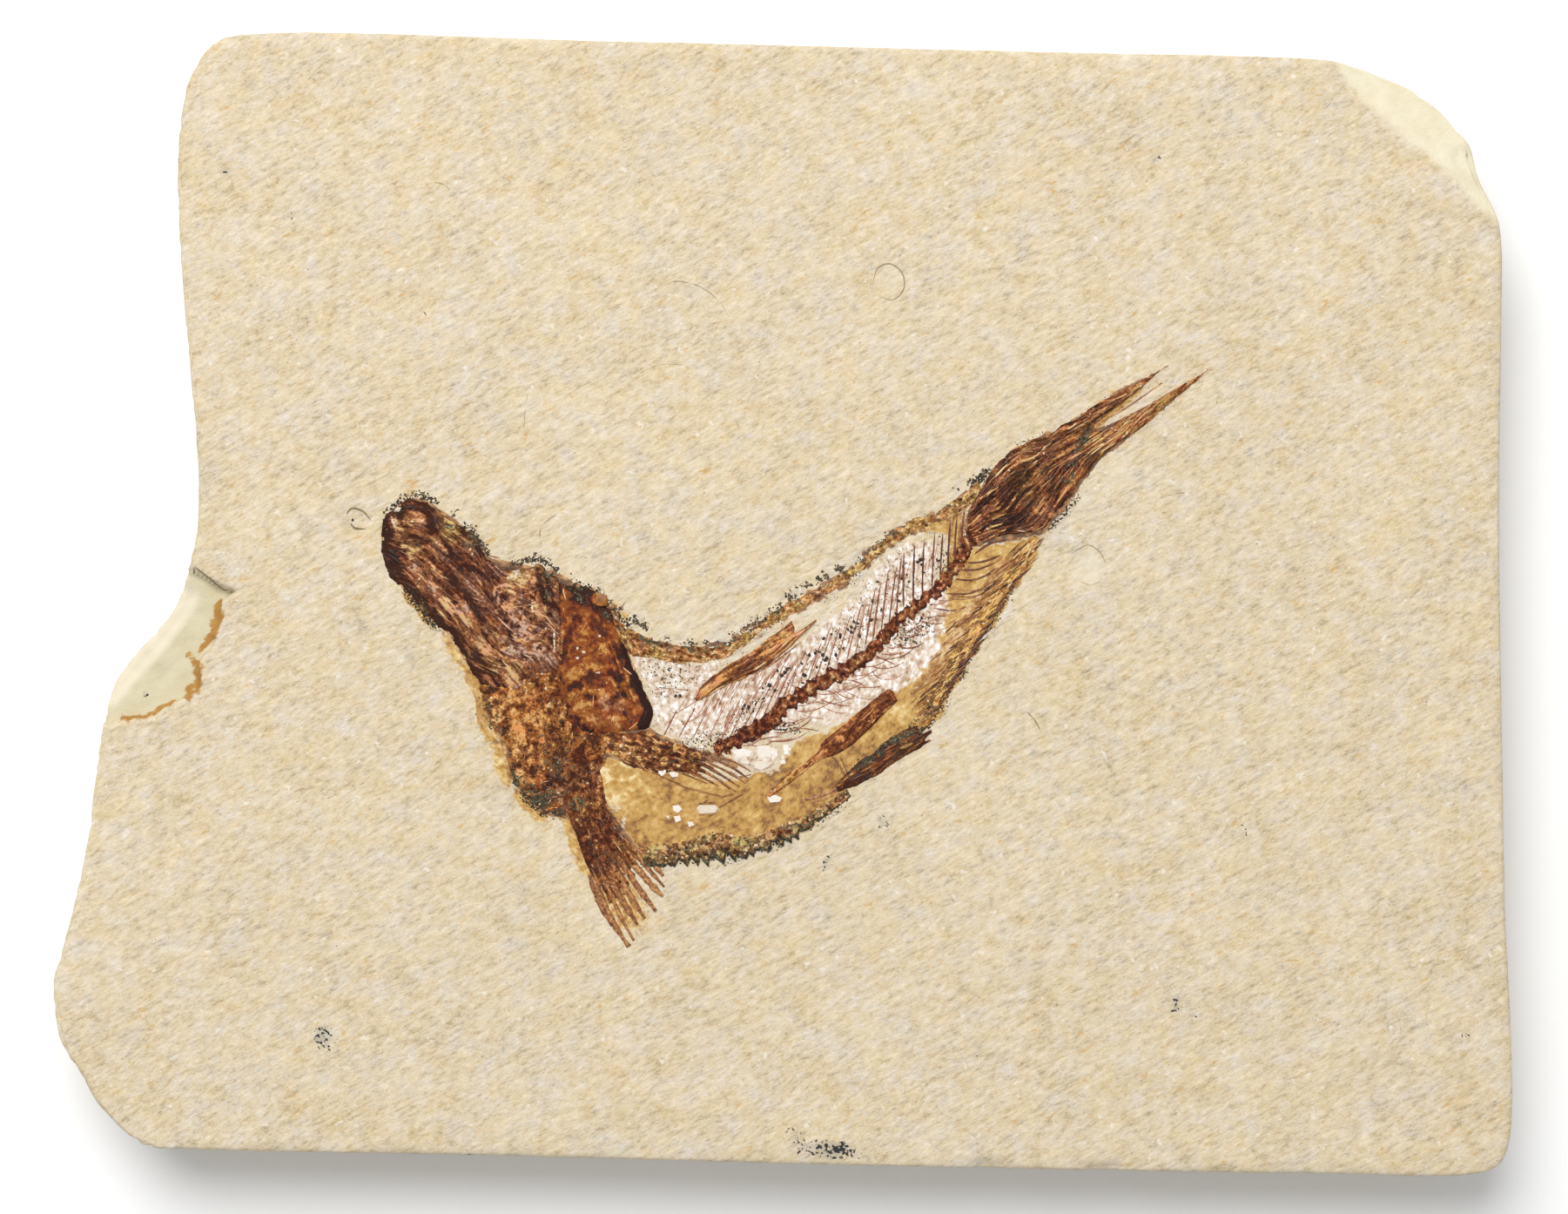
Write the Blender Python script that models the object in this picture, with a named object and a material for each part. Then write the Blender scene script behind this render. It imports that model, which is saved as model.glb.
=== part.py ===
# A fossil fish slab: a split piece of pale limestone with one small herring-like fish in its face.
#
# Every length below is in millimetres, and MM turns it into Blender's metres.
# The slab lies on its flat back: +X along its long side, +Y towards the fish's back, +Z up.
# Outlines are seen from above, measured from the middle of the slab, and a smooth curve joins
# their points. Each group of bones is a solid of its own that lies in one shallow hollow.

import bpy
import bmesh
import numpy as np
from mathutils import Vector, noise

MM = 0.001                    # metres in a millimetre

# Driving dimensions
SLAB_THICKNESS = 11.0         # back to split face
HOLLOW_DEPTH = 0.6            # the fish's hollow in the face
BONE_GAP = 0.3                # clearance under and around each bone
BONE_FLOOR = SLAB_THICKNESS - HOLLOW_DEPTH + BONE_GAP
SCAR_DEPTH = 1.1              # the flaked ledge at the left notch
CORNER_CHIP_WIDTH = 2.0       # the chipped slope at the top right corner
CORNER_CHIP_DROP = 1.7
LEDGE_STEP = 0.3              # how far one bed of stone stands out past the next
RING_POINTS = 168             # points around the slab's edge

SLAB_OUTLINE = [
    (-52.1, -44.8), (-46.4, -45.1), (-25.6, -45.5), (0.1, -46.2), (17.3, -46.6),
    (43.0, -47.0), (58.6, -46.7), (59.9, -45.2), (59.7, -21.9), (59.3, 6.7),
    (59.5, 28.9), (58.9, 32.5), (57.6, 36.0), (56.6, 38.4), (53.9, 40.5),
    (52.0, 42.6), (49.1, 43.8), (45.5, 44.7), (21.6, 45.4), (-14.2, 46.3),
    (-43.5, 46.9), (-46.4, 46.3), (-48.5, 43.6), (-49.5, 38.9), (-49.5, 29.6),
    (-48.0, 11.0), (-48.2, 5.3), (-50.2, -0.4), (-55.0, -6.4), (-56.0, -11.2),
    (-57.2, -19.7), (-59.9, -31.5), (-59.2, -36.3), (-56.3, -41.2), (-53.9, -43.7),
]

SCAR_OUTLINE = [
    (-48.9, 2.9), (-46.4, 1.6), (-45.1, 1.0), (-46.2, -0.1), (-46.2, -1.5), (-46.9, -2.9),
    (-46.7, -3.6), (-47.8, -4.7), (-47.9, -6.9), (-49.6, -7.8), (-51.4, -9.2), (-53.5, -9.4),
    (-55.8, -9.9), (-62.0, -11.0), (-62.0, 4.0),
]

HOLLOW_OUTLINE = [
    (-33.6, 5.8), (-33.1, 7.8), (-31.7, 9.0), (-30.2, 9.5), (-28.3, 9.1), (-26.2, 7.6),
    (-24.6, 6.5), (-23.6, 4.6), (-22.0, 3.9), (-18.9, 3.0), (-15.3, 1.9), (-13.2, 0.0),
    (-11.5, -1.6), (-8.5, -2.6), (-6.0, -2.6), (-3.6, -1.7), (-0.8, 0.4), (2.3, 1.9),
    (5.5, 4.0), (8.0, 6.0), (10.8, 7.8), (13.4, 9.1), (15.2, 10.6), (17.8, 13.0),
    (21.9, 14.9), (27.4, 18.3), (31.0, 20.0), (35.5, 19.6), (29.3, 13.4), (25.9, 10.2),
    (23.3, 6.9), (21.9, 4.3), (18.1, -1.3), (14.5, -8.0), (12.9, -11.6), (7.6, -15.3),
    (5.5, -17.0), (1.2, -20.3), (-4.9, -22.2), (-8.9, -22.5), (-9.4, -25.1), (-12.0, -28.9),
    (-13.8, -28.7), (-15.4, -25.0), (-17.4, -19.6), (-18.2, -17.6), (-20.2, -17.7),
    (-22.1, -16.4), (-23.4, -13.9), (-25.2, -8.9), (-25.5, -6.9), (-27.4, -3.6),
    (-29.9, -1.2), (-32.1, 1.2), (-33.4, 3.2),
]

# Shallow chips broken out of the face's edges: middle, half widths along X and Y, and depth
EDGE_CHIPS = [
    ((16.5, -46.5), (2.4, 1.1), 1.0),
    ((26.5, -46.9), (2.9, 1.2), 1.2),
    ((35.8, -47.1), (3.2, 1.1), 1.0),
    ((45.0, -47.2), (1.5, 0.8), 0.7),
    ((56.2, 36.6), (1.3, 0.9), 0.6),
    ((-34.8, 7.2), (1.1, 0.8), 0.25),
]

# Vertebrae and their spines
VERTEBRA_COUNT = 26
VERTEBRA_HALF_WIDTH = 0.52
VERTEBRA_WAIST = 0.36         # half width at a joint between two vertebrae
BACKBONE_LINE = [
    (-5.3, -11.7), (-3.8, -11.2), (-2.0, -10.3), (0.1, -8.4), (3.0, -6.5), (6.5, -4.5),
    (9.8, -1.1), (12.6, 1.1), (14.4, 3.5), (14.8, 4.6),
]


# ---- curves and sheets ----

# A smooth curve through the points (centripetal Catmull-Rom), as count evenly spaced places.
def smooth_curve(points, count, closed=False):
    pts = np.array(points, dtype=float)
    if closed:
        pts = np.vstack([pts[-1:], pts, pts[:2]])
    else:
        pts = np.vstack([2 * pts[0] - pts[1], pts, 2 * pts[-1] - pts[-2]])
    gaps = np.sqrt(np.linalg.norm(np.diff(pts, axis=0), axis=1))
    knots = np.concatenate([[0.0], np.cumsum(gaps)])
    slopes = np.diff(pts, axis=0) / gaps[:, None]
    before = gaps[:-1, None]
    after = gaps[1:, None]
    tangents = (slopes[:-1] * after + slopes[1:] * before) / (before + after)
    last = len(pts) - 2
    times = np.linspace(knots[1], knots[last], 40 * len(pts))
    span = np.clip(np.searchsorted(knots, times, side="right") - 1, 1, last - 1)
    t = ((times - knots[span]) / gaps[span])[:, None]
    step = gaps[span][:, None]
    dense = (
        (2 * t**3 - 3 * t**2 + 1) * pts[span]
        + (t**3 - 2 * t**2 + t) * step * tangents[span - 1]
        + (3 * t**2 - 2 * t**3) * pts[span + 1]
        + (t**3 - t**2) * step * tangents[span]
    )
    travel = np.concatenate([[0.0], np.cumsum(np.linalg.norm(np.diff(dense, axis=0), axis=1))])
    places = np.linspace(0.0, travel[-1], count, endpoint=not closed)
    return np.column_stack([np.interp(places, travel, dense[:, axis]) for axis in (0, 1)])


# A smooth bump that is 1 at the middle and 0 beyond the reach.
def bump(values, middle, reach):
    nearness = np.clip(1.0 - np.abs(values - middle) / reach, 0.0, 1.0)
    return nearness * nearness * (3.0 - 2.0 * nearness)


# A surface between two sides, a start and an end, blended so that it meets all four curves.
def patch_between(side_a, side_b, start, end, along, across):
    a = smooth_curve(side_a, along)[:, None, :]
    b = smooth_curve(side_b, along)[:, None, :]
    c = smooth_curve(start, across)[None, :, :]
    d = smooth_curve(end, across)[None, :, :]
    u = np.linspace(0.0, 1.0, along)[:, None, None]
    v = np.linspace(0.0, 1.0, across)[None, :, None]
    corners = (1 - u) * ((1 - v) * a[:1] + v * b[:1]) + u * ((1 - v) * a[-1:] + v * b[-1:])
    return (1 - v) * a + v * b + (1 - u) * c + u * d - corners


def make_material(name, colour, roughness):
    material = bpy.data.materials.new(name)
    material.use_nodes = True
    shader = material.node_tree.nodes["Principled BSDF"]
    shader.inputs["Base Color"].default_value = (*colour, 1.0)
    shader.inputs["Roughness"].default_value = roughness
    shader.inputs["Metallic"].default_value = 0.0
    return material


def add_object(name, mesh_data, material):
    mesh = bpy.data.meshes.new(name)
    bmesh.ops.recalc_face_normals(mesh_data, faces=mesh_data.faces[:])
    mesh_data.to_mesh(mesh)
    mesh_data.free()
    if material:
        mesh.materials.append(material)
    item = bpy.data.objects.new(name, mesh)
    bpy.context.scene.collection.objects.link(item)
    return item


# Closes a sheet of faces into a solid: its rim drops to the bones' flat underside.
def close_sheet(name, points, faces, material):
    sheet = bmesh.new()
    verts = [sheet.verts.new(Vector(point) * MM) for point in points]
    for face in faces:
        sheet.faces.new([verts[index] for index in face])
    rim = [edge for edge in sheet.edges if edge.is_boundary]
    wall = bmesh.ops.extrude_edge_only(sheet, edges=rim)["geom"]
    for vert in wall:
        if isinstance(vert, bmesh.types.BMVert):
            vert.co.z = BONE_FLOOR * MM
    foot = [edge for edge in wall if isinstance(edge, bmesh.types.BMEdge)]
    bmesh.ops.edgeloop_fill(sheet, edges=foot)
    return add_object(name, sheet, material)


# A bone plate: the patch's outline, raised to a crown in the middle, with ridges along its length.
def bone_plate(name, sides, material, grid, rim, crown, ridge, lumps=0.0):
    along, across = grid
    place = patch_between(*sides, along, across)
    v = np.linspace(0.0, 1.0, across)[None, :]
    u = np.linspace(0.0, 1.0, along)[:, None]
    dome = np.sqrt(np.sin(np.pi * v) * np.clip(np.sin(np.pi * (0.06 + 0.9 * u)), 0.0, 1.0))
    ridges = np.where(np.arange(across) % 2 == 0, -0.5, 0.5)[None, :] * ridge
    height = rim + (crown - rim) * dome + ridges * (dome > 0.05)
    points = []
    for i in range(along):
        for j in range(across):
            x, y = place[i, j]
            lump = lumps * noise.noise(Vector((x * 0.7, y * 0.7, 3.0))) * dome[i, j]
            points.append((x, y, SLAB_THICKNESS + height[i, j] + lump))
    faces = []
    for i in range(along - 1):
        for j in range(across - 1):
            corner = i * across + j
            faces.append((corner, corner + across, corner + across + 1, corner + 1))
    return close_sheet(name, points, faces, material)


# ---- the stone ----

# The slab's edge is a stack of rings: a chamfer at the back, five beds of stone whose edges
# step in and out along the bedding, and a worn rim at the face. Each ring is the outline moved
# inwards by an amount that changes along the edge, more on the broken sides than the sawn ones.
def slab_rings():
    outline = smooth_curve(SLAB_OUTLINE, RING_POINTS, closed=True)
    outline -= (outline.min(axis=0) + outline.max(axis=0)) / 2
    forward = np.roll(outline, -1, axis=0) - np.roll(outline, 1, axis=0)
    inward = np.column_stack([-forward[:, 1], forward[:, 0]])
    inward /= np.linalg.norm(inward, axis=1)[:, None]
    angle = np.linspace(0.0, 2 * np.pi, RING_POINTS, endpoint=False)
    broken = np.clip((-44.0 - outline[:, 0]) / 6.0, 0.25, 1.0)
    corner = bump(np.hypot(outline[:, 0] - 56.0, outline[:, 1] - 39.5), 0.0, 14.0)
    bed_tops = (2.3, 4.6, 6.5, 8.2, 10.2)
    rings = [(np.zeros(RING_POINTS), np.full(RING_POINTS, 0.9))]
    foot = 0.7
    for bed, top in enumerate(bed_tops):
        wave = np.sin(angle * (5 + bed) + 2.1 * bed) + np.sin(angle * (17 - bed) + bed)
        step = LEDGE_STEP * broken * (1.0 + 0.5 * wave)
        lift = np.full(RING_POINTS, foot)
        rings.append((lift, step))
        drop = CORNER_CHIP_DROP * corner if bed == len(bed_tops) - 1 else 0.0
        rings.append((np.full(RING_POINTS, top) - drop, step + 0.1))
        foot = top + 0.2
    face_step = 0.5 + 0.2 * np.sin(angle * 23) * broken + CORNER_CHIP_WIDTH * corner
    rings.append((np.full(RING_POINTS, SLAB_THICKNESS), face_step))
    return [(outline + inward * step[:, None], lift) for lift, step in rings]


def add_cutter(name, mesh_data, target, location=(0.0, 0.0, 0.0)):
    cutter = add_object(name, mesh_data, None)
    cutter.location = location
    cutter.hide_render = True
    cutter.display_type = "WIRE"
    cut = target.modifiers.new(name, "BOOLEAN")
    cut.operation = "DIFFERENCE"
    cut.solver = "EXACT"
    cut.object = cutter
    return cutter


# A flat-bottomed cutter with the outline's shape, from the floor up past the face.
def prism(outline, floor):
    shape = bmesh.new()
    verts = [shape.verts.new((x * MM, y * MM, floor * MM)) for x, y in outline]
    base = shape.faces.new(verts)
    raised = bmesh.ops.extrude_face_region(shape, geom=[base])["geom"]
    top = [vert for vert in raised if isinstance(vert, bmesh.types.BMVert)]
    height = SLAB_THICKNESS + 3.0 - floor
    bmesh.ops.translate(shape, verts=top, vec=(0.0, 0.0, height * MM))
    return shape


def chip_cutter(half_widths, depth):
    shape = bmesh.new()
    bmesh.ops.create_icosphere(shape, subdivisions=2, radius=1.0)
    size = (half_widths[0] * MM, half_widths[1] * MM, depth * MM)
    bmesh.ops.scale(shape, verts=shape.verts[:], vec=size)
    return shape


def build_slab(material):
    body = bmesh.new()
    loops = []
    for places, lift in slab_rings():
        loops.append([body.verts.new((x * MM, y * MM, z * MM)) for (x, y), z in zip(places, lift)])
    for lower, upper in zip(loops, loops[1:]):
        for i in range(RING_POINTS):
            after = (i + 1) % RING_POINTS
            body.faces.new((lower[i], lower[after], upper[after], upper[i]))
    body.faces.new(loops[0])
    body.faces.new(loops[-1])
    slab = add_object("limestone_slab", body, material)
    hollow = smooth_curve(HOLLOW_OUTLINE, 110, closed=True)
    add_cutter("hollow_cutter", prism(hollow, SLAB_THICKNESS - HOLLOW_DEPTH), slab)
    add_cutter("scar_cutter", prism(SCAR_OUTLINE, SLAB_THICKNESS - SCAR_DEPTH), slab)
    for index, (middle, half_widths, depth) in enumerate(EDGE_CHIPS):
        spot = (middle[0] * MM, middle[1] * MM, SLAB_THICKNESS * MM)
        add_cutter(f"chip_cutter_{index}", chip_cutter(half_widths, depth), slab, spot)
    return slab


# ---- the fish ----

def build_skull(material):
    sides = (
        [(-32.9, 5.9), (-32.7, 6.9), (-31.7, 8.2), (-30.3, 8.7), (-28.7, 8.4), (-27.1, 7.3),
         (-25.3, 6.0), (-24.4, 4.4), (-22.8, 3.3), (-21.0, 3.1), (-18.9, 2.1)],
        [(-32.9, 4.7), (-32.7, 3.1), (-31.0, 1.0), (-29.7, -0.4), (-27.4, -2.6), (-26.5, -4.0),
         (-25.5, -5.8), (-24.7, -6.9)],
        [(-32.9, 5.9), (-33.0, 5.3), (-32.9, 4.7)],
        [(-18.9, 2.1), (-18.8, -0.4), (-18.8, -4.0), (-21.3, -5.9), (-24.7, -6.9)],
    )
    return bone_plate("skull", sides, material, (16, 10), 0.1, 0.7, 0.12, 0.3)


def build_gill_cover(material):
    sides = (
        [(-18.4, 1.9), (-18.4, -1.9), (-18.3, -5.1), (-17.9, -7.6), (-17.4, -9.9)],
        [(-14.2, -0.4), (-13.1, -2.9), (-12.4, -5.1), (-11.5, -7.0), (-10.8, -8.7), (-11.0, -9.9)],
        [(-18.4, 1.9), (-16.9, 1.4), (-15.6, 1.1), (-14.2, -0.4)],
        [(-17.4, -9.9), (-14.2, -10.2), (-11.0, -9.9)],
    )
    return bone_plate("gill_cover", sides, material, (10, 7), 0.15, 0.5, 0.06, 0.25)


def build_throat_bones(material):
    sides = (
        [(-24.4, -7.4), (-24.5, -8.7), (-23.6, -10.3), (-22.9, -11.9), (-22.6, -14.0),
         (-21.3, -15.7), (-19.8, -17.0)],
        [(-18.8, -5.6), (-18.4, -7.9), (-17.8, -10.4), (-14.9, -10.8)],
        [(-24.4, -7.4), (-21.3, -6.4), (-18.8, -5.6)],
        [(-19.8, -17.0), (-17.4, -16.0), (-16.0, -14.6), (-14.9, -12.7), (-14.9, -10.8)],
    )
    return bone_plate("throat_bones", sides, material, (12, 9), 0.1, 0.5, 0.05, 0.5)


def build_lower_pectoral_fin(material):
    sides = (
        [(-17.4, -16.6), (-16.9, -19.0), (-16.0, -21.5), (-14.6, -24.7), (-13.1, -28.0)],
        [(-15.5, -15.3), (-14.2, -17.4), (-12.8, -19.0), (-11.5, -20.5), (-9.8, -22.3)],
        [(-17.4, -16.6), (-16.5, -16.0), (-15.5, -15.3)],
        [(-13.1, -28.0), (-12.5, -28.0), (-11.8, -26.4), (-11.1, -25.7), (-10.3, -25.0),
         (-9.8, -24.0), (-9.8, -22.3)],
    )
    return bone_plate("lower_pectoral_fin", sides, material, (8, 11), 0.05, 0.35, 0.14)


def build_rear_pectoral_fin(material):
    sides = (
        [(-14.2, -10.8), (-12.1, -10.8), (-9.9, -11.2), (-7.0, -12.1), (-5.3, -12.9), (-2.8, -14.2)],
        [(-14.4, -12.4), (-11.7, -13.4), (-9.2, -13.7), (-7.0, -14.4), (-4.5, -15.1), (-2.9, -15.3)],
        [(-14.2, -10.8), (-14.4, -12.4)],
        [(-2.8, -14.2), (-2.9, -15.3)],
    )
    return bone_plate("rear_pectoral_fin", sides, material, (13, 7), 0.08, 0.35, 0.12, 0.3)


def build_dorsal_fin(material):
    sides = (
        [(-7.0, -7.6), (-6.0, -6.5), (-4.2, -5.1), (-2.4, -3.9), (-0.6, -2.6), (0.7, -1.6)],
        [(-6.8, -7.9), (-4.9, -7.0), (-2.8, -5.9), (-1.0, -4.9), (0.5, -3.6), (2.6, -1.6)],
        [(-7.0, -7.6), (-6.8, -7.9)],
        [(0.7, -1.6), (0.3, -2.8), (1.0, -2.9), (2.6, -1.6)],
    )
    return bone_plate("dorsal_fin", sides, material, (10, 7), 0.08, 0.4, 0.08)


def build_pelvic_fin(material):
    sides = (
        [(-1.2, -15.5), (0.5, -14.0), (1.9, -12.9), (3.2, -11.7), (4.0, -10.8), (6.2, -9.0),
         (8.8, -7.2)],
        [(-0.9, -15.9), (0.7, -14.6), (2.3, -13.4), (3.7, -12.4), (5.5, -11.7), (6.5, -10.6),
         (9.2, -7.5)],
        [(-1.2, -15.5), (-0.9, -15.9)],
        [(8.8, -7.2), (9.2, -7.5)],
    )
    return bone_plate("pelvic_fin", sides, material, (14, 5), 0.08, 0.4, 0.06)


def build_anal_fin(material):
    sides = (
        [(4.5, -14.2), (6.2, -12.7), (8.0, -11.7), (10.1, -10.3), (11.3, -9.9)],
        [(4.8, -15.3), (6.2, -14.7), (7.6, -14.0), (9.4, -12.7), (10.8, -12.0), (12.1, -11.0)],
        [(4.5, -14.2), (4.8, -15.3)],
        [(11.3, -9.9), (11.1, -10.6), (12.1, -11.0)],
    )
    return bone_plate("anal_fin", sides, material, (9, 6), 0.08, 0.35, 0.1)


def build_fin_support_bones(material):
    sides = (
        [(10.8, -8.4), (12.1, -6.5), (13.3, -4.4), (14.1, -2.2), (15.1, -0.4), (16.6, 1.4),
         (18.3, 3.1), (19.4, 4.6)],
        [(12.3, -9.6), (13.7, -7.6), (15.3, -4.9), (17.4, -1.0), (19.1, 1.6), (21.0, 4.7)],
        [(10.8, -8.4), (11.4, -9.1), (12.3, -9.6)],
        [(19.4, 4.6), (21.0, 4.7)],
    )
    return bone_plate("fin_support_bones", sides, material, (16, 5), 0.06, 0.3, 0.08, 0.2)


def build_tail_fin(material):
    sides = (
        [(16.0, 7.8), (16.9, 10.4), (18.7, 12.4), (22.1, 13.9), (24.4, 15.4), (27.6, 17.4),
         (31.0, 19.1)],
        [(15.8, 5.9), (18.7, 5.9), (21.2, 6.0), (22.6, 7.4), (25.1, 10.7), (26.6, 12.4),
         (28.7, 13.9), (31.9, 16.7), (34.6, 18.9)],
        [(16.0, 7.8), (15.7, 6.9), (15.8, 5.9)],
        [(31.0, 19.1), (28.4, 17.1), (26.2, 15.7), (25.2, 14.4), (28.0, 15.3), (31.9, 17.4),
         (34.6, 18.9)],
    )
    return bone_plate("tail_fin", sides, material, (12, 13), 0.06, 0.45, 0.12, 0.2)


# A band along the belly whose lower edge is cut into pointed teeth, one to each scute.
def build_belly_scutes(material):
    tooth_count = 13
    tooth_length = 0.45
    upper = smooth_curve(
        [(-10.5, -20.2), (-8.5, -19.6), (-4.9, -18.9), (-2.8, -19.2), (0.1, -18.2), (2.3, -17.2),
         (4.5, -15.7)], 2 * tooth_count + 1)
    lower = smooth_curve(
        [(-9.9, -21.2), (-8.1, -21.5), (-4.8, -21.2), (-1.7, -20.4), (1.0, -19.3), (2.3, -18.1),
         (4.8, -16.5)], 2 * tooth_count + 1)
    lower[1::2] += (0.12, -tooth_length)
    points = []
    for top, foot in zip(upper, lower):
        middle = (top + foot) / 2
        points.append((*top, SLAB_THICKNESS + 0.05))
        points.append((*middle, SLAB_THICKNESS + 0.28))
        points.append((*foot, SLAB_THICKNESS + 0.08))
    faces = []
    for i in range(2 * tooth_count):
        start = 3 * i
        faces.append((start, start + 1, start + 4, start + 3))
        faces.append((start + 1, start + 2, start + 5, start + 4))
    return close_sheet("belly_scutes", points, faces, material)


def build_back_ridge(material):
    sides = (
        [(-12.6, -2.0), (-11.0, -2.8), (-8.5, -3.4), (-6.0, -3.4), (-3.5, -2.4), (-0.6, -0.4),
         (2.3, 1.0), (5.5, 3.1), (8.0, 5.1), (10.8, 6.9), (13.7, 8.2), (15.0, 9.4)],
        [(-12.3, -3.4), (-11.0, -3.9), (-8.5, -4.3), (-6.0, -4.1), (-3.5, -3.4), (-0.6, -1.4),
         (2.3, 0.1), (5.5, 2.1), (8.0, 4.1), (10.8, 6.0), (13.7, 7.3), (15.3, 8.6)],
        [(-12.6, -2.0), (-12.3, -3.4)],
        [(15.0, 9.4), (15.3, 8.6)],
    )
    return bone_plate("back_ridge", sides, material, (30, 4), 0.05, 0.2, 0.0, 0.3)


# Beads along the centre line, three stations to a vertebra, with a neural spine on the upper
# side of each and a rib or haemal spine on its lower side, all in one comb-shaped sheet.
def build_backbone(material):
    stations = 3 * VERTEBRA_COUNT + 1
    line = smooth_curve(BACKBONE_LINE, stations)
    heading = np.gradient(line, axis=0)
    heading /= np.linalg.norm(heading, axis=1)[:, None]
    upward = np.column_stack([-heading[:, 1], heading[:, 0]])
    is_joint = np.arange(stations) % 3 == 0
    half = np.where(is_joint, VERTEBRA_WAIST, VERTEBRA_HALF_WIDTH)
    half *= np.interp(np.arange(stations), [0, 40, stations - 1], [0.9, 1.1, 0.7])
    crest = np.where(is_joint, 0.2, 0.42)
    points = []
    for i in range(stations):
        above = line[i] + upward[i] * half[i]
        below = line[i] - upward[i] * half[i]
        points.append((*above, SLAB_THICKNESS + 0.08))
        points.append((*line[i], SLAB_THICKNESS + crest[i]))
        points.append((*below, SLAB_THICKNESS + 0.08))
    faces = []
    for i in range(stations - 1):
        start = 3 * i
        faces.append((start, start + 1, start + 4, start + 3))
        faces.append((start + 1, start + 2, start + 5, start + 4))
    for vertebra in range(1, VERTEBRA_COUNT - 1):
        base = 3 * vertebra + 1
        share = vertebra / VERTEBRA_COUNT
        lean = np.radians(np.interp(share, [0.0, 0.45, 1.0], [52.0, 80.0, 96.0]))
        length = np.interp(share, [0.0, 0.2, 0.5, 0.8, 1.0], [2.2, 3.0, 4.4, 3.4, 1.6])
        tip = line[base] + upward[base] * half[base]
        tip = tip + length * np.array([np.cos(lean), np.sin(lean)])
        points.append((*tip, SLAB_THICKNESS + 0.04))
        faces.append((3 * base, 3 * base + 3, len(points) - 1))
        lean = np.radians(np.interp(share, [0.0, 0.45, 0.75, 1.0], [-25.0, -18.0, 4.0, 14.0]))
        length = np.interp(share, [0.0, 0.2, 0.55, 0.8, 1.0], [1.2, 1.8, 2.2, 1.8, 1.5])
        tip = line[base + 1] - upward[base + 1] * half[base + 1]
        tip = tip + length * np.array([np.cos(lean), np.sin(lean)])
        points.append((*tip, SLAB_THICKNESS + 0.04))
        faces.append((3 * base + 2, 3 * base + 5, len(points) - 1))
    return close_sheet("backbone", points, faces, material)


def clear_scene():
    for item in list(bpy.data.objects):
        bpy.data.objects.remove(item, do_unlink=True)


def main():
    clear_scene()
    stone = make_material("limestone", (0.74, 0.62, 0.43), 0.85)
    head_bone = make_material("head_bone", (0.17, 0.07, 0.035), 0.4)
    gill_bone = make_material("gill_bone", (0.33, 0.11, 0.03), 0.38)
    mottled_bone = make_material("mottled_bone", (0.24, 0.12, 0.05), 0.45)
    ray_bone = make_material("ray_bone", (0.14, 0.06, 0.035), 0.42)
    spine_bone = make_material("spine_bone", (0.19, 0.055, 0.03), 0.42)
    golden_bone = make_material("golden_bone", (0.30, 0.17, 0.06), 0.5)
    dark_crust = make_material("dark_crust", (0.055, 0.05, 0.035), 0.6)
    build_slab(stone)
    build_skull(head_bone)
    build_gill_cover(gill_bone)
    build_throat_bones(mottled_bone)
    build_lower_pectoral_fin(ray_bone)
    build_rear_pectoral_fin(mottled_bone)
    build_dorsal_fin(ray_bone)
    build_pelvic_fin(ray_bone)
    build_anal_fin(dark_crust)
    build_fin_support_bones(golden_bone)
    build_backbone(spine_bone)
    build_tail_fin(ray_bone)
    build_belly_scutes(dark_crust)
    build_back_ridge(golden_bone)


main()
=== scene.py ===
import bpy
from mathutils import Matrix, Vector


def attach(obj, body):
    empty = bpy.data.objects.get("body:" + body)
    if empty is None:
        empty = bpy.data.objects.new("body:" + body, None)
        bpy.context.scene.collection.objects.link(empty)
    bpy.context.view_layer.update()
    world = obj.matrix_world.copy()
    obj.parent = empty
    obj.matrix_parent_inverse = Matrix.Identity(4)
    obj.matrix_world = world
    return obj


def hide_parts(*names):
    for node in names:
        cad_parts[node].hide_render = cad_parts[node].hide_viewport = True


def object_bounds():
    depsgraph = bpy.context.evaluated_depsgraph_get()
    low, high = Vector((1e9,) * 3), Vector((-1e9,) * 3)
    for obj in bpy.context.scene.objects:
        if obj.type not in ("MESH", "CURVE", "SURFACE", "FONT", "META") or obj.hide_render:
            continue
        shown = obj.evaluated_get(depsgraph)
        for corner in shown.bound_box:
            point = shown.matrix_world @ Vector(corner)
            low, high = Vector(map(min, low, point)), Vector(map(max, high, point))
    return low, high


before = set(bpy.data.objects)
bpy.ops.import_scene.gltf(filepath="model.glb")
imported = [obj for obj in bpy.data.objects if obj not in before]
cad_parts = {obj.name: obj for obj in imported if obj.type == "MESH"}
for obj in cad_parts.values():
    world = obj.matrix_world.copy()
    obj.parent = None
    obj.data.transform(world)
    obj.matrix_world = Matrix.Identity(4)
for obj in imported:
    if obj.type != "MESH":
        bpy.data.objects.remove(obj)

from types import SimpleNamespace

import bpy
import numpy as np

# A split slab of pale limestone with a small fossil fish in its face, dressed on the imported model.
# Shapes are worked out in millimetres, seen from above, and become metres when a mesh is made.

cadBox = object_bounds()
mm = 0.001
faceZ = 11.0        # height of the split face over the slab's back


# Scatters the bits of whole numbers, so that neighbours come out unlike each other.
def scramble(key):
    key = (key ^ (key >> 13)) * 1274126177
    return key ^ (key >> 16)


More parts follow.
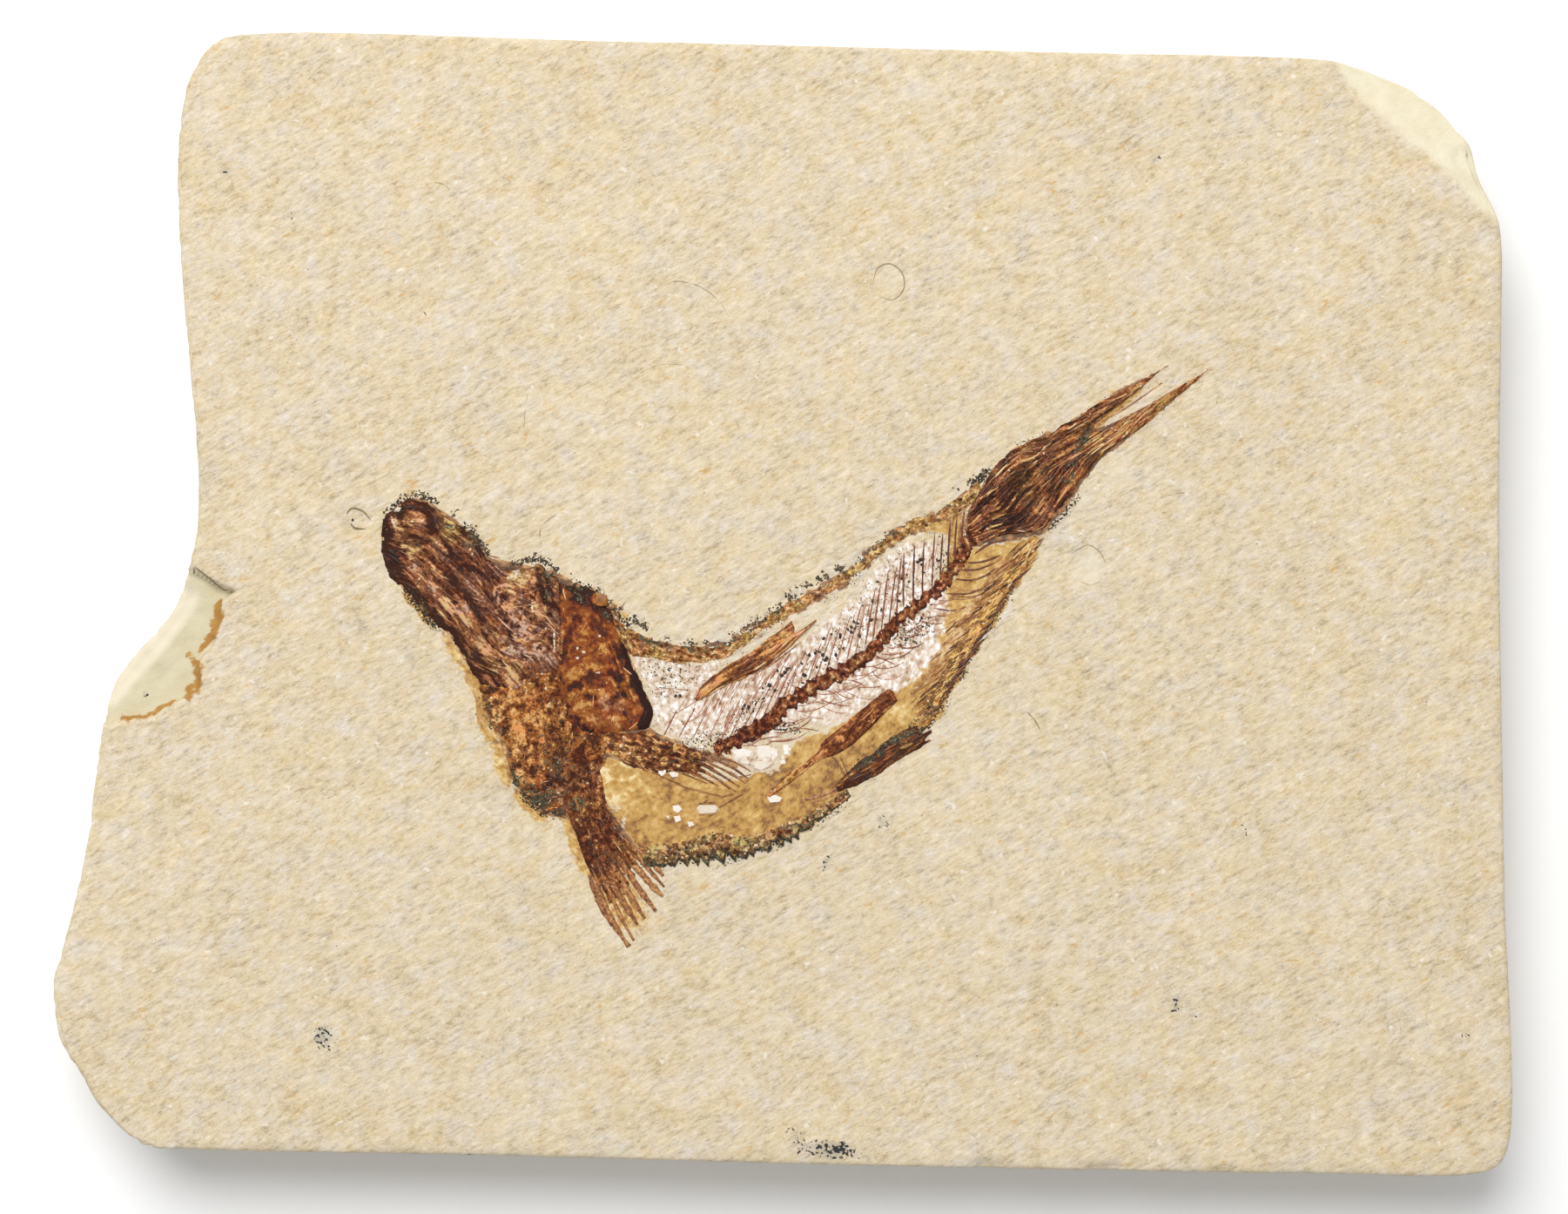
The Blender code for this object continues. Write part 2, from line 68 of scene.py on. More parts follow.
# Gradient noise: each whole-number corner gets a slope from a hash of its place, and a
# fifth-power smooth step blends the four slopes. The result runs from about -1 to 1.
def planeNoise(x, y, seed=0):
    cellX = np.floor(x).astype(np.int64)
    cellY = np.floor(y).astype(np.int64)
    partX = x - cellX
    partY = y - cellY

    def corner(stepX, stepY):
        key = scramble((cellX + stepX) * 374761393 + (cellY + stepY) * 668265263 + seed * 974634777)
        angle = (key & 0xFFFF) * (2 * np.pi / 65536)
        return np.cos(angle) * (partX - stepX) + np.sin(angle) * (partY - stepY)

    fadeX = partX**3 * (partX * (partX * 6 - 15) + 10)
    fadeY = partY**3 * (partY * (partY * 6 - 15) + 10)
    near = corner(0, 0) + fadeX * (corner(1, 0) - corner(0, 0))
    far = corner(0, 1) + fadeX * (corner(1, 1) - corner(0, 1))
    return 1.5 * (near + fadeY * (far - near))


# Layers of plane noise, each twice as fine and a set share as strong as the one before.
def layeredNoise(x, y, layers=4, seed=0, keep=0.5):
    total = np.zeros(np.broadcast(x, y).shape)
    strength = 1.0
    for layer in range(layers):
        total += strength * planeNoise(
            x * 2**layer + 17.3 * layer, y * 2**layer - 9.1 * layer, seed + layer)
        strength *= keep
    return total


# Random flakes: every place takes the value of its nearest jittered point, and how much nearer that
# point is than the second nearest, which falls to nothing along the cracks between flakes.
def flakes(x, y, seed=0):
    cellX, cellY = np.floor(x).astype(np.int64), np.floor(y).astype(np.int64)
    best, second, value = np.full(x.shape, 9.0), np.full(x.shape, 9.0), np.zeros(x.shape)
    for stepX in (-1, 0, 1):
        for stepY in (-1, 0, 1):
            key = scramble((cellX + stepX) * 73856093 + (cellY + stepY) * 19349663 + seed * 83492791)
            gap = np.hypot(
                x - cellX - stepX - (key & 255) / 255, y - cellY - stepY - (key >> 8 & 255) / 255)
            closer = gap < best
            second = np.where(closer, best, np.minimum(second, gap))
            value = np.where(closer, (key >> 16 & 255) / 255, value)
            best = np.where(closer, gap, best)
    return value, second - best


# Turns a noise value into an even share from 0 to 1 with a logistic curve.
def evenShare(value, spread=0.3):
    return 1.0 / (1.0 + np.exp(-1.7 * value / spread))


# A soft step: the value's share t of the way from low to high, held in 0 to 1, as t * t * (3 - 2 * t).
def smoothStep(low, high, value):
    t = np.clip((value - low) / (high - low), 0.0, 1.0)
    return t * t * (3.0 - 2.0 * t)


# The length run along a line of points, or along each line of a grid of points, from 0.
def travelled(points):
    steps = np.linalg.norm(np.diff(points, axis=0), axis=-1)
    return np.concatenate([np.zeros_like(steps[:1]), np.cumsum(steps, axis=0)])


# The places at given lengths along a line of points.
def placesAlong(line, travel, places):
    return np.column_stack([np.interp(places, travel, line[:, axis]) for axis in (0, 1)])


# Centripetal Catmull-Rom curve through the points, at count evenly spaced places.
def smoothCurve(points, count, closed=False):
    pts = np.array(points, dtype=float)
    if closed:
        pts = np.vstack([pts[-1:], pts, pts[:2]])
    else:
        pts = np.vstack([2 * pts[0] - pts[1], pts, 2 * pts[-1] - pts[-2]])
    gaps = np.sqrt(np.linalg.norm(np.diff(pts, axis=0), axis=1))
    knots = np.append(0.0, np.cumsum(gaps))
    slopes = np.diff(pts, axis=0) / gaps[:, None]
    before = gaps[:-1, None]
    after = gaps[1:, None]
    tangents = (slopes[:-1] * after + slopes[1:] * before) / (before + after)
    last = len(pts) - 2
    times = np.linspace(knots[1], knots[last], 60 * len(pts))
    span = np.clip(np.searchsorted(knots, times, side="right") - 1, 1, last - 1)
    t = ((times - knots[span]) / gaps[span])[:, None]
    step = gaps[span][:, None]
    dense = (
        (2 * t**3 - 3 * t**2 + 1) * pts[span]
        + (t**3 - 2 * t**2 + t) * step * tangents[span - 1]
        + (3 * t**2 - 2 * t**3) * pts[span + 1]
        + (t**3 - t**2) * step * tangents[span]
    )
    travel = travelled(dense)
    return placesAlong(dense, travel, np.linspace(0.0, travel[-1], count, endpoint=not closed))


# Four-sided patch: the blend of its two long sides, plus the blend of its start and end,
# less the blend of its four corners, so that it meets all four curves.
def blendSides(sideA, sideB, start, end, u, v):
    a, b, c, d = sideA[:, None], sideB[:, None], start[None], end[None]
    u, v = u[:, None, None], v[None, :, None]
    corners = (1 - u) * ((1 - v) * a[:1] + v * b[:1]) + u * ((1 - v) * a[-1:] + v * b[-1:])
    return (1 - v) * a + v * b + (1 - u) * c + u * d - corners


# The grid of places between four lines of points: each becomes a smooth curve, and blendSides fills in.
def patchBetween(sideA, sideB, start, end, u, v):
    return blendSides(curveAt(sideA, u), curveAt(sideB, u), curveAt(start, v), curveAt(end, v), u, v)


# The places at given shares of a curve's length.
def curveAt(points, shares):
    return placesAlong(smoothCurve(points, 600), np.linspace(0.0, 1.0, 600), shares)


# Lengths along and across a grid of places, and the distance of each place from the grid's rim.
def gridTravel(place):
    along, across = travelled(place), travelled(place.swapaxes(0, 1)).T
    rim = np.minimum(np.minimum(across, across[:, -1:] - across), np.minimum(along, along[-1:] - along))
    return along, across, rim


# Distance from every place to the nearest stretch of a line of points, and how far along that is.
def lineDistance(x, y, points):
    best = np.full(np.shape(x), 1e9)
    share = np.zeros(np.shape(x))
    pts = np.array(points, dtype=float)
    lengths = np.linalg.norm(np.diff(pts, axis=0), axis=1)
    before = travelled(pts)
    for a, b, length, run in zip(pts[:-1], pts[1:], lengths, before):
        alongX, alongY = b - a
        t = np.clip(((x - a[0]) * alongX + (y - a[1]) * alongY) / length**2, 0.0, 1.0)
        gap = np.hypot(x - a[0] - t * alongX, y - a[1] - t * alongY)
        closer = gap < best
        best = np.where(closer, gap, best)
        share = np.where(closer, (run + t * length) / before[-1], share)
    return best, share


# Signed distance to a closed outline: positive inside it, negative outside.
def insideDistance(x, y, outline):
    pts = np.array(outline, dtype=float)
    gap, _ = lineDistance(x, y, np.vstack([pts, pts[:1]]))
    inside = np.zeros(np.shape(x), dtype=bool)
    for a, b in zip(pts, np.roll(pts, -1, axis=0)):
        if a[1] != b[1]:
            crosses = (a[1] > y) != (b[1] > y)
            inside ^= crosses & (x < (b[0] - a[0]) * (y - a[1]) / (b[1] - a[1]) + a[0])
    return np.where(inside, gap, -gap)


# A soft-edged patch that is 1 in the middle of an ellipse, turned by some degrees, and 0 past its rim.
def softSpot(x, y, middle, halfWidths, turn=0.0, softness=0.5):
    angle = np.radians(turn)
    along = (x - middle[0]) * np.cos(angle) + (y - middle[1]) * np.sin(angle)
    across = (y - middle[1]) * np.cos(angle) - (x - middle[0]) * np.sin(angle)
    reach = np.hypot(along / halfWidths[0], across / halfWidths[1])
    return 1.0 - smoothStep(1.0 - softness, 1.0 + softness, reach)


# A soft-edged stroke along a line of points.
def softStroke(x, y, points, halfWidth, softness=0.5):
    gap, _ = lineDistance(x, y, points)
    return 1.0 - smoothStep(halfWidth * (1 - softness), halfWidth * (1 + softness), gap)


# The strongest of some soft spots at each place, each a (middle, half widths, turn, strength).
def spotsOver(x, y, spots, softness):
    return np.max([
        strength * softSpot(x, y, middle, halfWidths, turn, softness)
        for middle, halfWidths, turn, strength in spots], axis=0)


# The strongest of some soft strokes at each place, each a (line, half width, strength).
def strokesOver(x, y, strokes, uneven, softness):
    return np.max([
        strength * softStroke(x, y, line, halfWidth * uneven, softness)
        for line, halfWidth, strength in strokes], axis=0)


# Height of the split face's own gentle waves and grain over faceZ.
def faceWaves(x, y):
    broad = 0.10 * layeredNoise(x / 21.0, y / 21.0, 2, 11)
    lumps = 0.035 * layeredNoise(x / 3.1, y / 3.1, 2, 23)
    grain = 0.022 * layeredNoise(x / 0.9, y / 0.9, 2, 37)
    return broad + lumps + grain


# Puts points and faces in a mesh in one go. faces is a list of arrays, one row of corners a face.
def makePiece(name, points, faces, material, masks=None, flat=None, sharpAngle=None, closing=None):
    mesh = bpy.data.meshes.new(name)
    rows = [np.asarray(block, dtype=np.int32) for block in faces]
    if closing is not None:
        rows.append(np.asarray(closing, dtype=np.int32)[None, :])
    corners = np.concatenate([block.ravel() for block in rows])
    sizes = np.concatenate([np.full(len(block), block.shape[1], dtype=np.int32) for block in rows])
    mesh.vertices.add(len(points))
    mesh.vertices.foreach_set("co", (np.asarray(points, dtype=np.float32) * mm).ravel())
    mesh.loops.add(len(corners))
    mesh.loops.foreach_set("vertex_index", corners)
    mesh.polygons.add(len(sizes))
    starts = np.concatenate([[0], np.cumsum(sizes)[:-1]]).astype(np.int32)
    mesh.polygons.foreach_set("loop_start", starts)
    mesh.update(calc_edges=True)
    mesh.validate()
    mesh.shade_smooth()
    if sharpAngle:
        mesh.set_sharp_from_angle(angle=np.radians(sharpAngle))
    for maskName, values in (masks or {}).items():
        layer = mesh.attributes.new(maskName, "FLOAT", "POINT")
        layer.data.foreach_set("value", np.asarray(values, dtype=np.float32).ravel())
    if flat is not None:
        layer = mesh.uv_layers.new(name="alongAcross")
        layer.data.foreach_set("uv", np.asarray(flat, dtype=np.float32)[corners].ravel())
    mesh.materials.append(material)
    piece = bpy.data.objects.new(name, mesh)
    bpy.context.scene.collection.objects.link(piece)
    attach(piece, "root")
    return piece


# The corners of a grid's squares, turned so that they face up.
def gridFaces(rows, columns, turned):
    corner = (np.arange(rows - 1)[:, None] * columns + np.arange(columns - 1)[None, :]).ravel()
    quads = np.column_stack([corner, corner + columns, corner + columns + 1, corner + 1])
    return quads[:, ::-1] if turned else quads


# The indices of a grid's rim, in order round it.
def gridRim(rows, columns, turned):
    index = np.arange(rows * columns).reshape(rows, columns)
    rim = np.concatenate([index[:-1, 0], index[-1, :-1], index[:0:-1, -1], index[0, :0:-1]])
    return rim[::-1] if turned else rim


# A closed plate from a grid of top places: the rim drops to a flat floor, which one face closes.
def gridPlate(name, top, floorZ, material, masks=None):
    rows, columns = top.shape[:2]
    along, across, _ = gridTravel(top[..., :2])
    along = along[:, columns // 2, None] + np.zeros((1, columns))
    across = across - across.mean(axis=1, keepdims=True)
    points = top.reshape(-1, 3)
    edgeX, edgeY, _ = points[gridRim(rows, columns, False)].T
    turned = np.sum(edgeX * np.roll(edgeY, -1) - np.roll(edgeX, -1) * edgeY) < 0
    rim = gridRim(rows, columns, turned)
    foot = points[rim].copy()
    foot[:, 2] = floorZ
    footIndex = len(points) + np.arange(len(rim))
    after = np.roll(np.arange(len(rim)), -1)
    walls = np.column_stack([rim[after], rim, footIndex, footIndex[after]])
    flat = np.column_stack([along.ravel(), across.ravel()])
    masks = {
        key: np.concatenate([np.ravel(value), np.ravel(value)[rim]]) for key,
        value in (masks or {}).items()}
    return makePiece(
        name, np.vstack([points, foot]), [gridFaces(rows, columns, turned), walls], material, masks,
        flat=np.vstack([flat, flat[rim]]), closing=footIndex[::-1])


# A colour given as screen values from 0 to 255, as the linear values that shaders take.
def tint(red, green, blue):
    values = np.array([red, green, blue]) / 255.0
    linear = np.where(values <= 0.04045, values / 12.92, ((values + 0.055) / 1.055) ** 2.4)
    return (*linear.tolist(), 1.0)


# Small helper that adds nodes to a tree and joins them, with values given by socket name.
class ShaderBench:
    def __init__(self, tree):
        self.tree = tree

    def add(self, kind, setup=None, **inputs):
        node = self.tree.nodes.new(kind)
        for key, value in (setup or {}).items():
            setattr(node, key, value)
        for key, value in inputs.items():
            self.feed(node.inputs[key.replace("_", " ")], value)
        return node

    def feed(self, socket, value):
        if isinstance(value, bpy.types.NodeSocket):
            self.tree.links.new(value, socket)
        else:
            socket.default_value = value

    def math(self, operation, first, second=0.0, clamp=False):
        node = self.add("ShaderNodeMath", {"operation": operation, "use_clamp": clamp})
        self.feed(node.inputs[0], first)
        self.feed(node.inputs[1], second)
        return node.outputs[0]

    def mix(self, share, first, second, blend="MIX"):
        node = self.add("ShaderNodeMix", {"data_type": "RGBA", "blend_type": blend})
        self.feed(node.inputs[0], share)
        self.feed(node.inputs[6], first)
        self.feed(node.inputs[7], second)
        return node.outputs[2]

    def noise(self, place, scale, detail=3.0, rough=0.5, distort=0.0):
        node = self.add(
            "ShaderNodeTexNoise", Vector=place, Scale=scale, Detail=detail, Roughness=rough,
            Distortion=distort)
        return node.outputs["Fac"]

    # A value's range from low to high, stretched to 0 to 1 by a soft step.
    def between(self, value, low, high):
        node = self.add("ShaderNodeMapRange", {"interpolation_type": "SMOOTHSTEP"})
        for index, item in enumerate((value, low, high, 0.0, 1.0)):
            self.feed(node.inputs[index], item)
        return node.outputs[0]

    def ramp(self, value, stops):
        node = self.add("ShaderNodeValToRGB", Fac=value)
        band = node.color_ramp
        while len(band.elements) < len(stops):
            band.elements.new(0.5)
        for element, (place, colour) in zip(band.elements, stops):
            element.position = place
            element.color = colour
        return node.outputs["Color"]

    def mask(self, name):
        return self.add("ShaderNodeAttribute", {"attribute_name": name}).outputs["Fac"]

    # A value swayed up and down by a noise, which runs from 0 to 1.
    def sway(self, value, noise, amount, clamp=False):
        return self.math(
            "ADD", value, self.math("MULTIPLY", self.math("SUBTRACT", noise, 0.5), amount), clamp)

    # One colour laid over another, by a mask and a strength.
    def over(self, under, top, mask, strength):
        return self.mix(self.math("MULTIPLY", mask, strength), under, top)

    # Joins a finish to its shader: colour, roughness, sheen and a normal bumped by a height.
    def finish(self, shader, colour, height, strength, distance, roughness, sheen=None):
        bump = self.add("ShaderNodeBump", Strength=strength, Distance=distance, Height=height)
        self.feed(shader.inputs["Base Color"], colour)
        self.feed(shader.inputs["Normal"], bump.outputs[0])
        self.feed(shader.inputs["Roughness"], roughness)
        if sheen is not None:
            shader.inputs["Specular IOR Level"].default_value = sheen


# Starts a node group with named inputs and outputs, each a (name, socket type, start value).
def startGroup(name, inputs, outputs):
    group = bpy.data.node_groups.new(name, "ShaderNodeTree")
    for label, kind, start in inputs:
        socket = group.interface.new_socket(label, in_out="INPUT", socket_type=kind)
        if start is not None:
            socket.default_value = start
    for label, kind in outputs:
        group.interface.new_socket(label, in_out="OUTPUT", socket_type=kind)
    bench = ShaderBench(group)
    return group, bench, group.nodes.new("NodeGroupInput").outputs, group.nodes.new("NodeGroupOutput").inputs


# A new material, with its shader and its pattern places, which are Object coordinates in mm.
def startMaterial(name):
    material = bpy.data.materials.new(name)
    material.use_nodes = True
    bench = ShaderBench(material.node_tree)
    shader = material.node_tree.nodes["Principled BSDF"]
    place = bench.add("ShaderNodeMapping", Scale=(1000.0, 1000.0, 1000.0))
    coords = bench.add("ShaderNodeTexCoord")
    bench.feed(place.inputs["Vector"], coords.outputs["Object"])
    return material, bench, shader, place.outputs["Vector"]


# Places a node group in a material, with values given by input name.
def useGroup(bench, group, **inputs):
    return bench.add("ShaderNodeGroup", {"node_tree": group}, **inputs).outputs


stoneLook = {
    "lilac": tint(231, 221, 207),
    "cream": tint(234, 219, 193),
    "straw": tint(232, 214, 179),
    "ochre": tint(218, 196, 148),
    "fleck": tint(204, 163, 98),
    "chalk": tint(240, 233, 220),
    "pinpoint": tint(92, 80, 60),
}


# Fine limestone: broad cream and straw mottles, a fine slanting grain, ochre and chalky flecks,
# rare dark pinpoints, and a grain height.
def makeStoneGroup():
    group, bench, given, made = startGroup(
        "limestoneGrain", [("Place", "NodeSocketVector", None)],
        [("Colour", "NodeSocketColor"), ("Grain", "NodeSocketFloat")])
    place = given["Place"]
    slanted = bench.add("ShaderNodeMapping", Vector=place, Scale=(2.8, 1.0, 1.0))
    slanted.vector_type = "TEXTURE"
    slanted.inputs["Rotation"].default_value = (0.0, 0.0, 0.5)
    slanted = slanted.outputs[0]
    yellow = bench.noise(place, 0.42, 4.0, 0.9)
    grain = bench.noise(slanted, 2.1, 3.0, 0.95)
    colour = bench.ramp(
        yellow,
        [
            (0.34, stoneLook["lilac"]), (0.48, stoneLook["cream"]), (0.62, stoneLook["straw"]),
            (0.78, stoneLook["ochre"])])
    broad = bench.noise(place, 0.22, 3.0, 0.8)
    light = bench.math("ADD", bench.math("MULTIPLY", broad, 0.22), bench.math("MULTIPLY", grain, 0.78))
    shade = bench.ramp(
        light, [(0.32, tint(186, 180, 168)), (0.46, tint(229, 225, 216)), (0.66, tint(255, 255, 255))])
    colour = bench.mix(1.0, colour, shade, "MULTIPLY")
    ochreFleck = bench.between(bench.noise(slanted, 2.4, 2.0, 0.6), 0.63, 0.72)
    ochreHere = bench.math("MULTIPLY", ochreFleck, bench.between(yellow, 0.40, 0.62))
    colour = bench.over(colour, stoneLook["fleck"], ochreHere, 0.75)
    chalkFleck = bench.between(bench.noise(place, 1.25, 3.0, 0.6), 0.64, 0.74)
    colour = bench.over(colour, stoneLook["chalk"], chalkFleck, 0.65)
    pinpoint = bench.between(bench.noise(place, 4.3, 1.0, 0.4), 0.775, 0.80)
    colour = bench.over(colour, stoneLook["pinpoint"], pinpoint, 0.7)
    bench.feed(made["Colour"], colour)
    bench.feed(made["Grain"], grain)
    return group


# Streaks that follow a piece's own length: noise squeezed across the grid's flat map.
def makeStreakGroup():
    group, bench, given, made = startGroup(
        "boneStreaks",
        [
            ("Flat", "NodeSocketVector", None), ("Place", "NodeSocketVector", None),
            ("Across", "NodeSocketFloat", 4.0), ("Along", "NodeSocketFloat", 0.7),
            ("Mottle", "NodeSocketFloat", 2.2)],
        [("Streak", "NodeSocketFloat"), ("Grain", "NodeSocketFloat")])
    spread = bench.add("ShaderNodeCombineXYZ", X=given["Along"], Y=given["Across"], Z=1.0)
    stretched = bench.add("ShaderNodeVectorMath", {"operation": "MULTIPLY"})
    bench.feed(stretched.inputs[0], given["Flat"])
    bench.feed(stretched.inputs[1], spread.outputs[0])
    streak = bench.noise(stretched.outputs[0], 1.0, 4.0, 0.6, 0.4)
    grain = bench.noise(given["Place"], given["Mottle"], 4.0, 0.62, 0.3)
    bench.feed(made["Streak"], streak)
    bench.feed(made["Grain"], grain)
    return group


stoneGroup = makeStoneGroup()
streakGroup = makeStreakGroup()
print("shader groups ready")


slabFinish = {
    "stain": tint(176, 126, 22),         # rust along the flake's rim
    "rustDeep": tint(168, 108, 14),
    "bevel": tint(232, 220, 196),        # paler stone along the flake's free edge
    "flake": tint(212, 203, 172),        # smooth khaki stone under the lost flake
    "flakeShade": tint(205, 194, 158),
    "fresh": tint(239, 230, 203),        # smooth creamy stone on the chipped corner
    "freshShade": tint(230, 219, 188),
    "soot": tint(52, 54, 56),            # manganese dots
    "sootHaze": tint(150, 146, 136),
    "bedding": tint(176, 146, 98),
    "roughness": 0.86,
}


# The slab's stone: the limestone group's colour, over which each mask lays its own tone in turn. Rust and
# soot are broken up by noise, and flat, wide noise draws the bedding on the sides.
def paleLimestone():
    look = slabFinish
    material, bench, shader, place = startMaterial("paleLimestone")
    stone = useGroup(bench, stoneGroup, Place=place)
    colour = stone["Colour"]
    smooth = bench.noise(place, 0.5, 4.0, 0.55)
    fresh = bench.mix(bench.between(smooth, 0.3, 0.7), look["fresh"], look["freshShade"])
    colour = bench.over(colour, fresh, bench.mask("fresh"), 0.85)
    flake = bench.mix(bench.between(smooth, 0.35, 0.75), look["flake"], look["flakeShade"])
    colour = bench.over(colour, flake, bench.mask("flake"), 0.9)
    patchy = bench.noise(place, 1.6, 4.0, 0.65)
    colour = bench.over(colour, look["bevel"], bench.mask("bevel"), 0.8)
    rust = bench.between(bench.sway(bench.mask("rust"), patchy, 1.6), 0.30, 0.75)
    rustTone = bench.mix(bench.between(patchy, 0.4, 0.62), look["stain"], look["rustDeep"])
    colour = bench.over(colour, rustTone, rust, 0.85)
    dots = bench.noise(place, 3.4, 2.0, 0.5)
    soot = bench.mask("soot")
    haze = bench.between(bench.math("ADD", soot, bench.math("SUBTRACT", patchy, 0.5)), 0.25, 1.0)
    colour = bench.over(colour, look["sootHaze"], haze, 0.6)
    dotMask = bench.between(bench.math("ADD", bench.math("MULTIPLY", soot, 0.34), dots), 0.74, 0.80)
    colour = bench.over(colour, look["soot"], dotMask, bench.between(soot, 0.05, 0.3))
    layers = bench.add("ShaderNodeMapping", Vector=place, Scale=(0.16, 0.16, 2.6))
    bedding = bench.noise(layers.outputs[0], 1.0, 5.0, 0.65, 0.5)
    side = bench.mask("side")
    bedMask = bench.math("MULTIPLY", bench.between(bedding, 0.50, 0.66), side)
    colour = bench.over(colour, look["bedding"], bedMask, 0.55)
    steps = bench.math("MULTIPLY", bench.math("MULTIPLY", bedding, side), 2.0)
    bench.finish(
        shader, colour, bench.math("ADD", stone["Grain"], steps), 0.4, 0.0002, look["roughness"], 0.25)
    return material


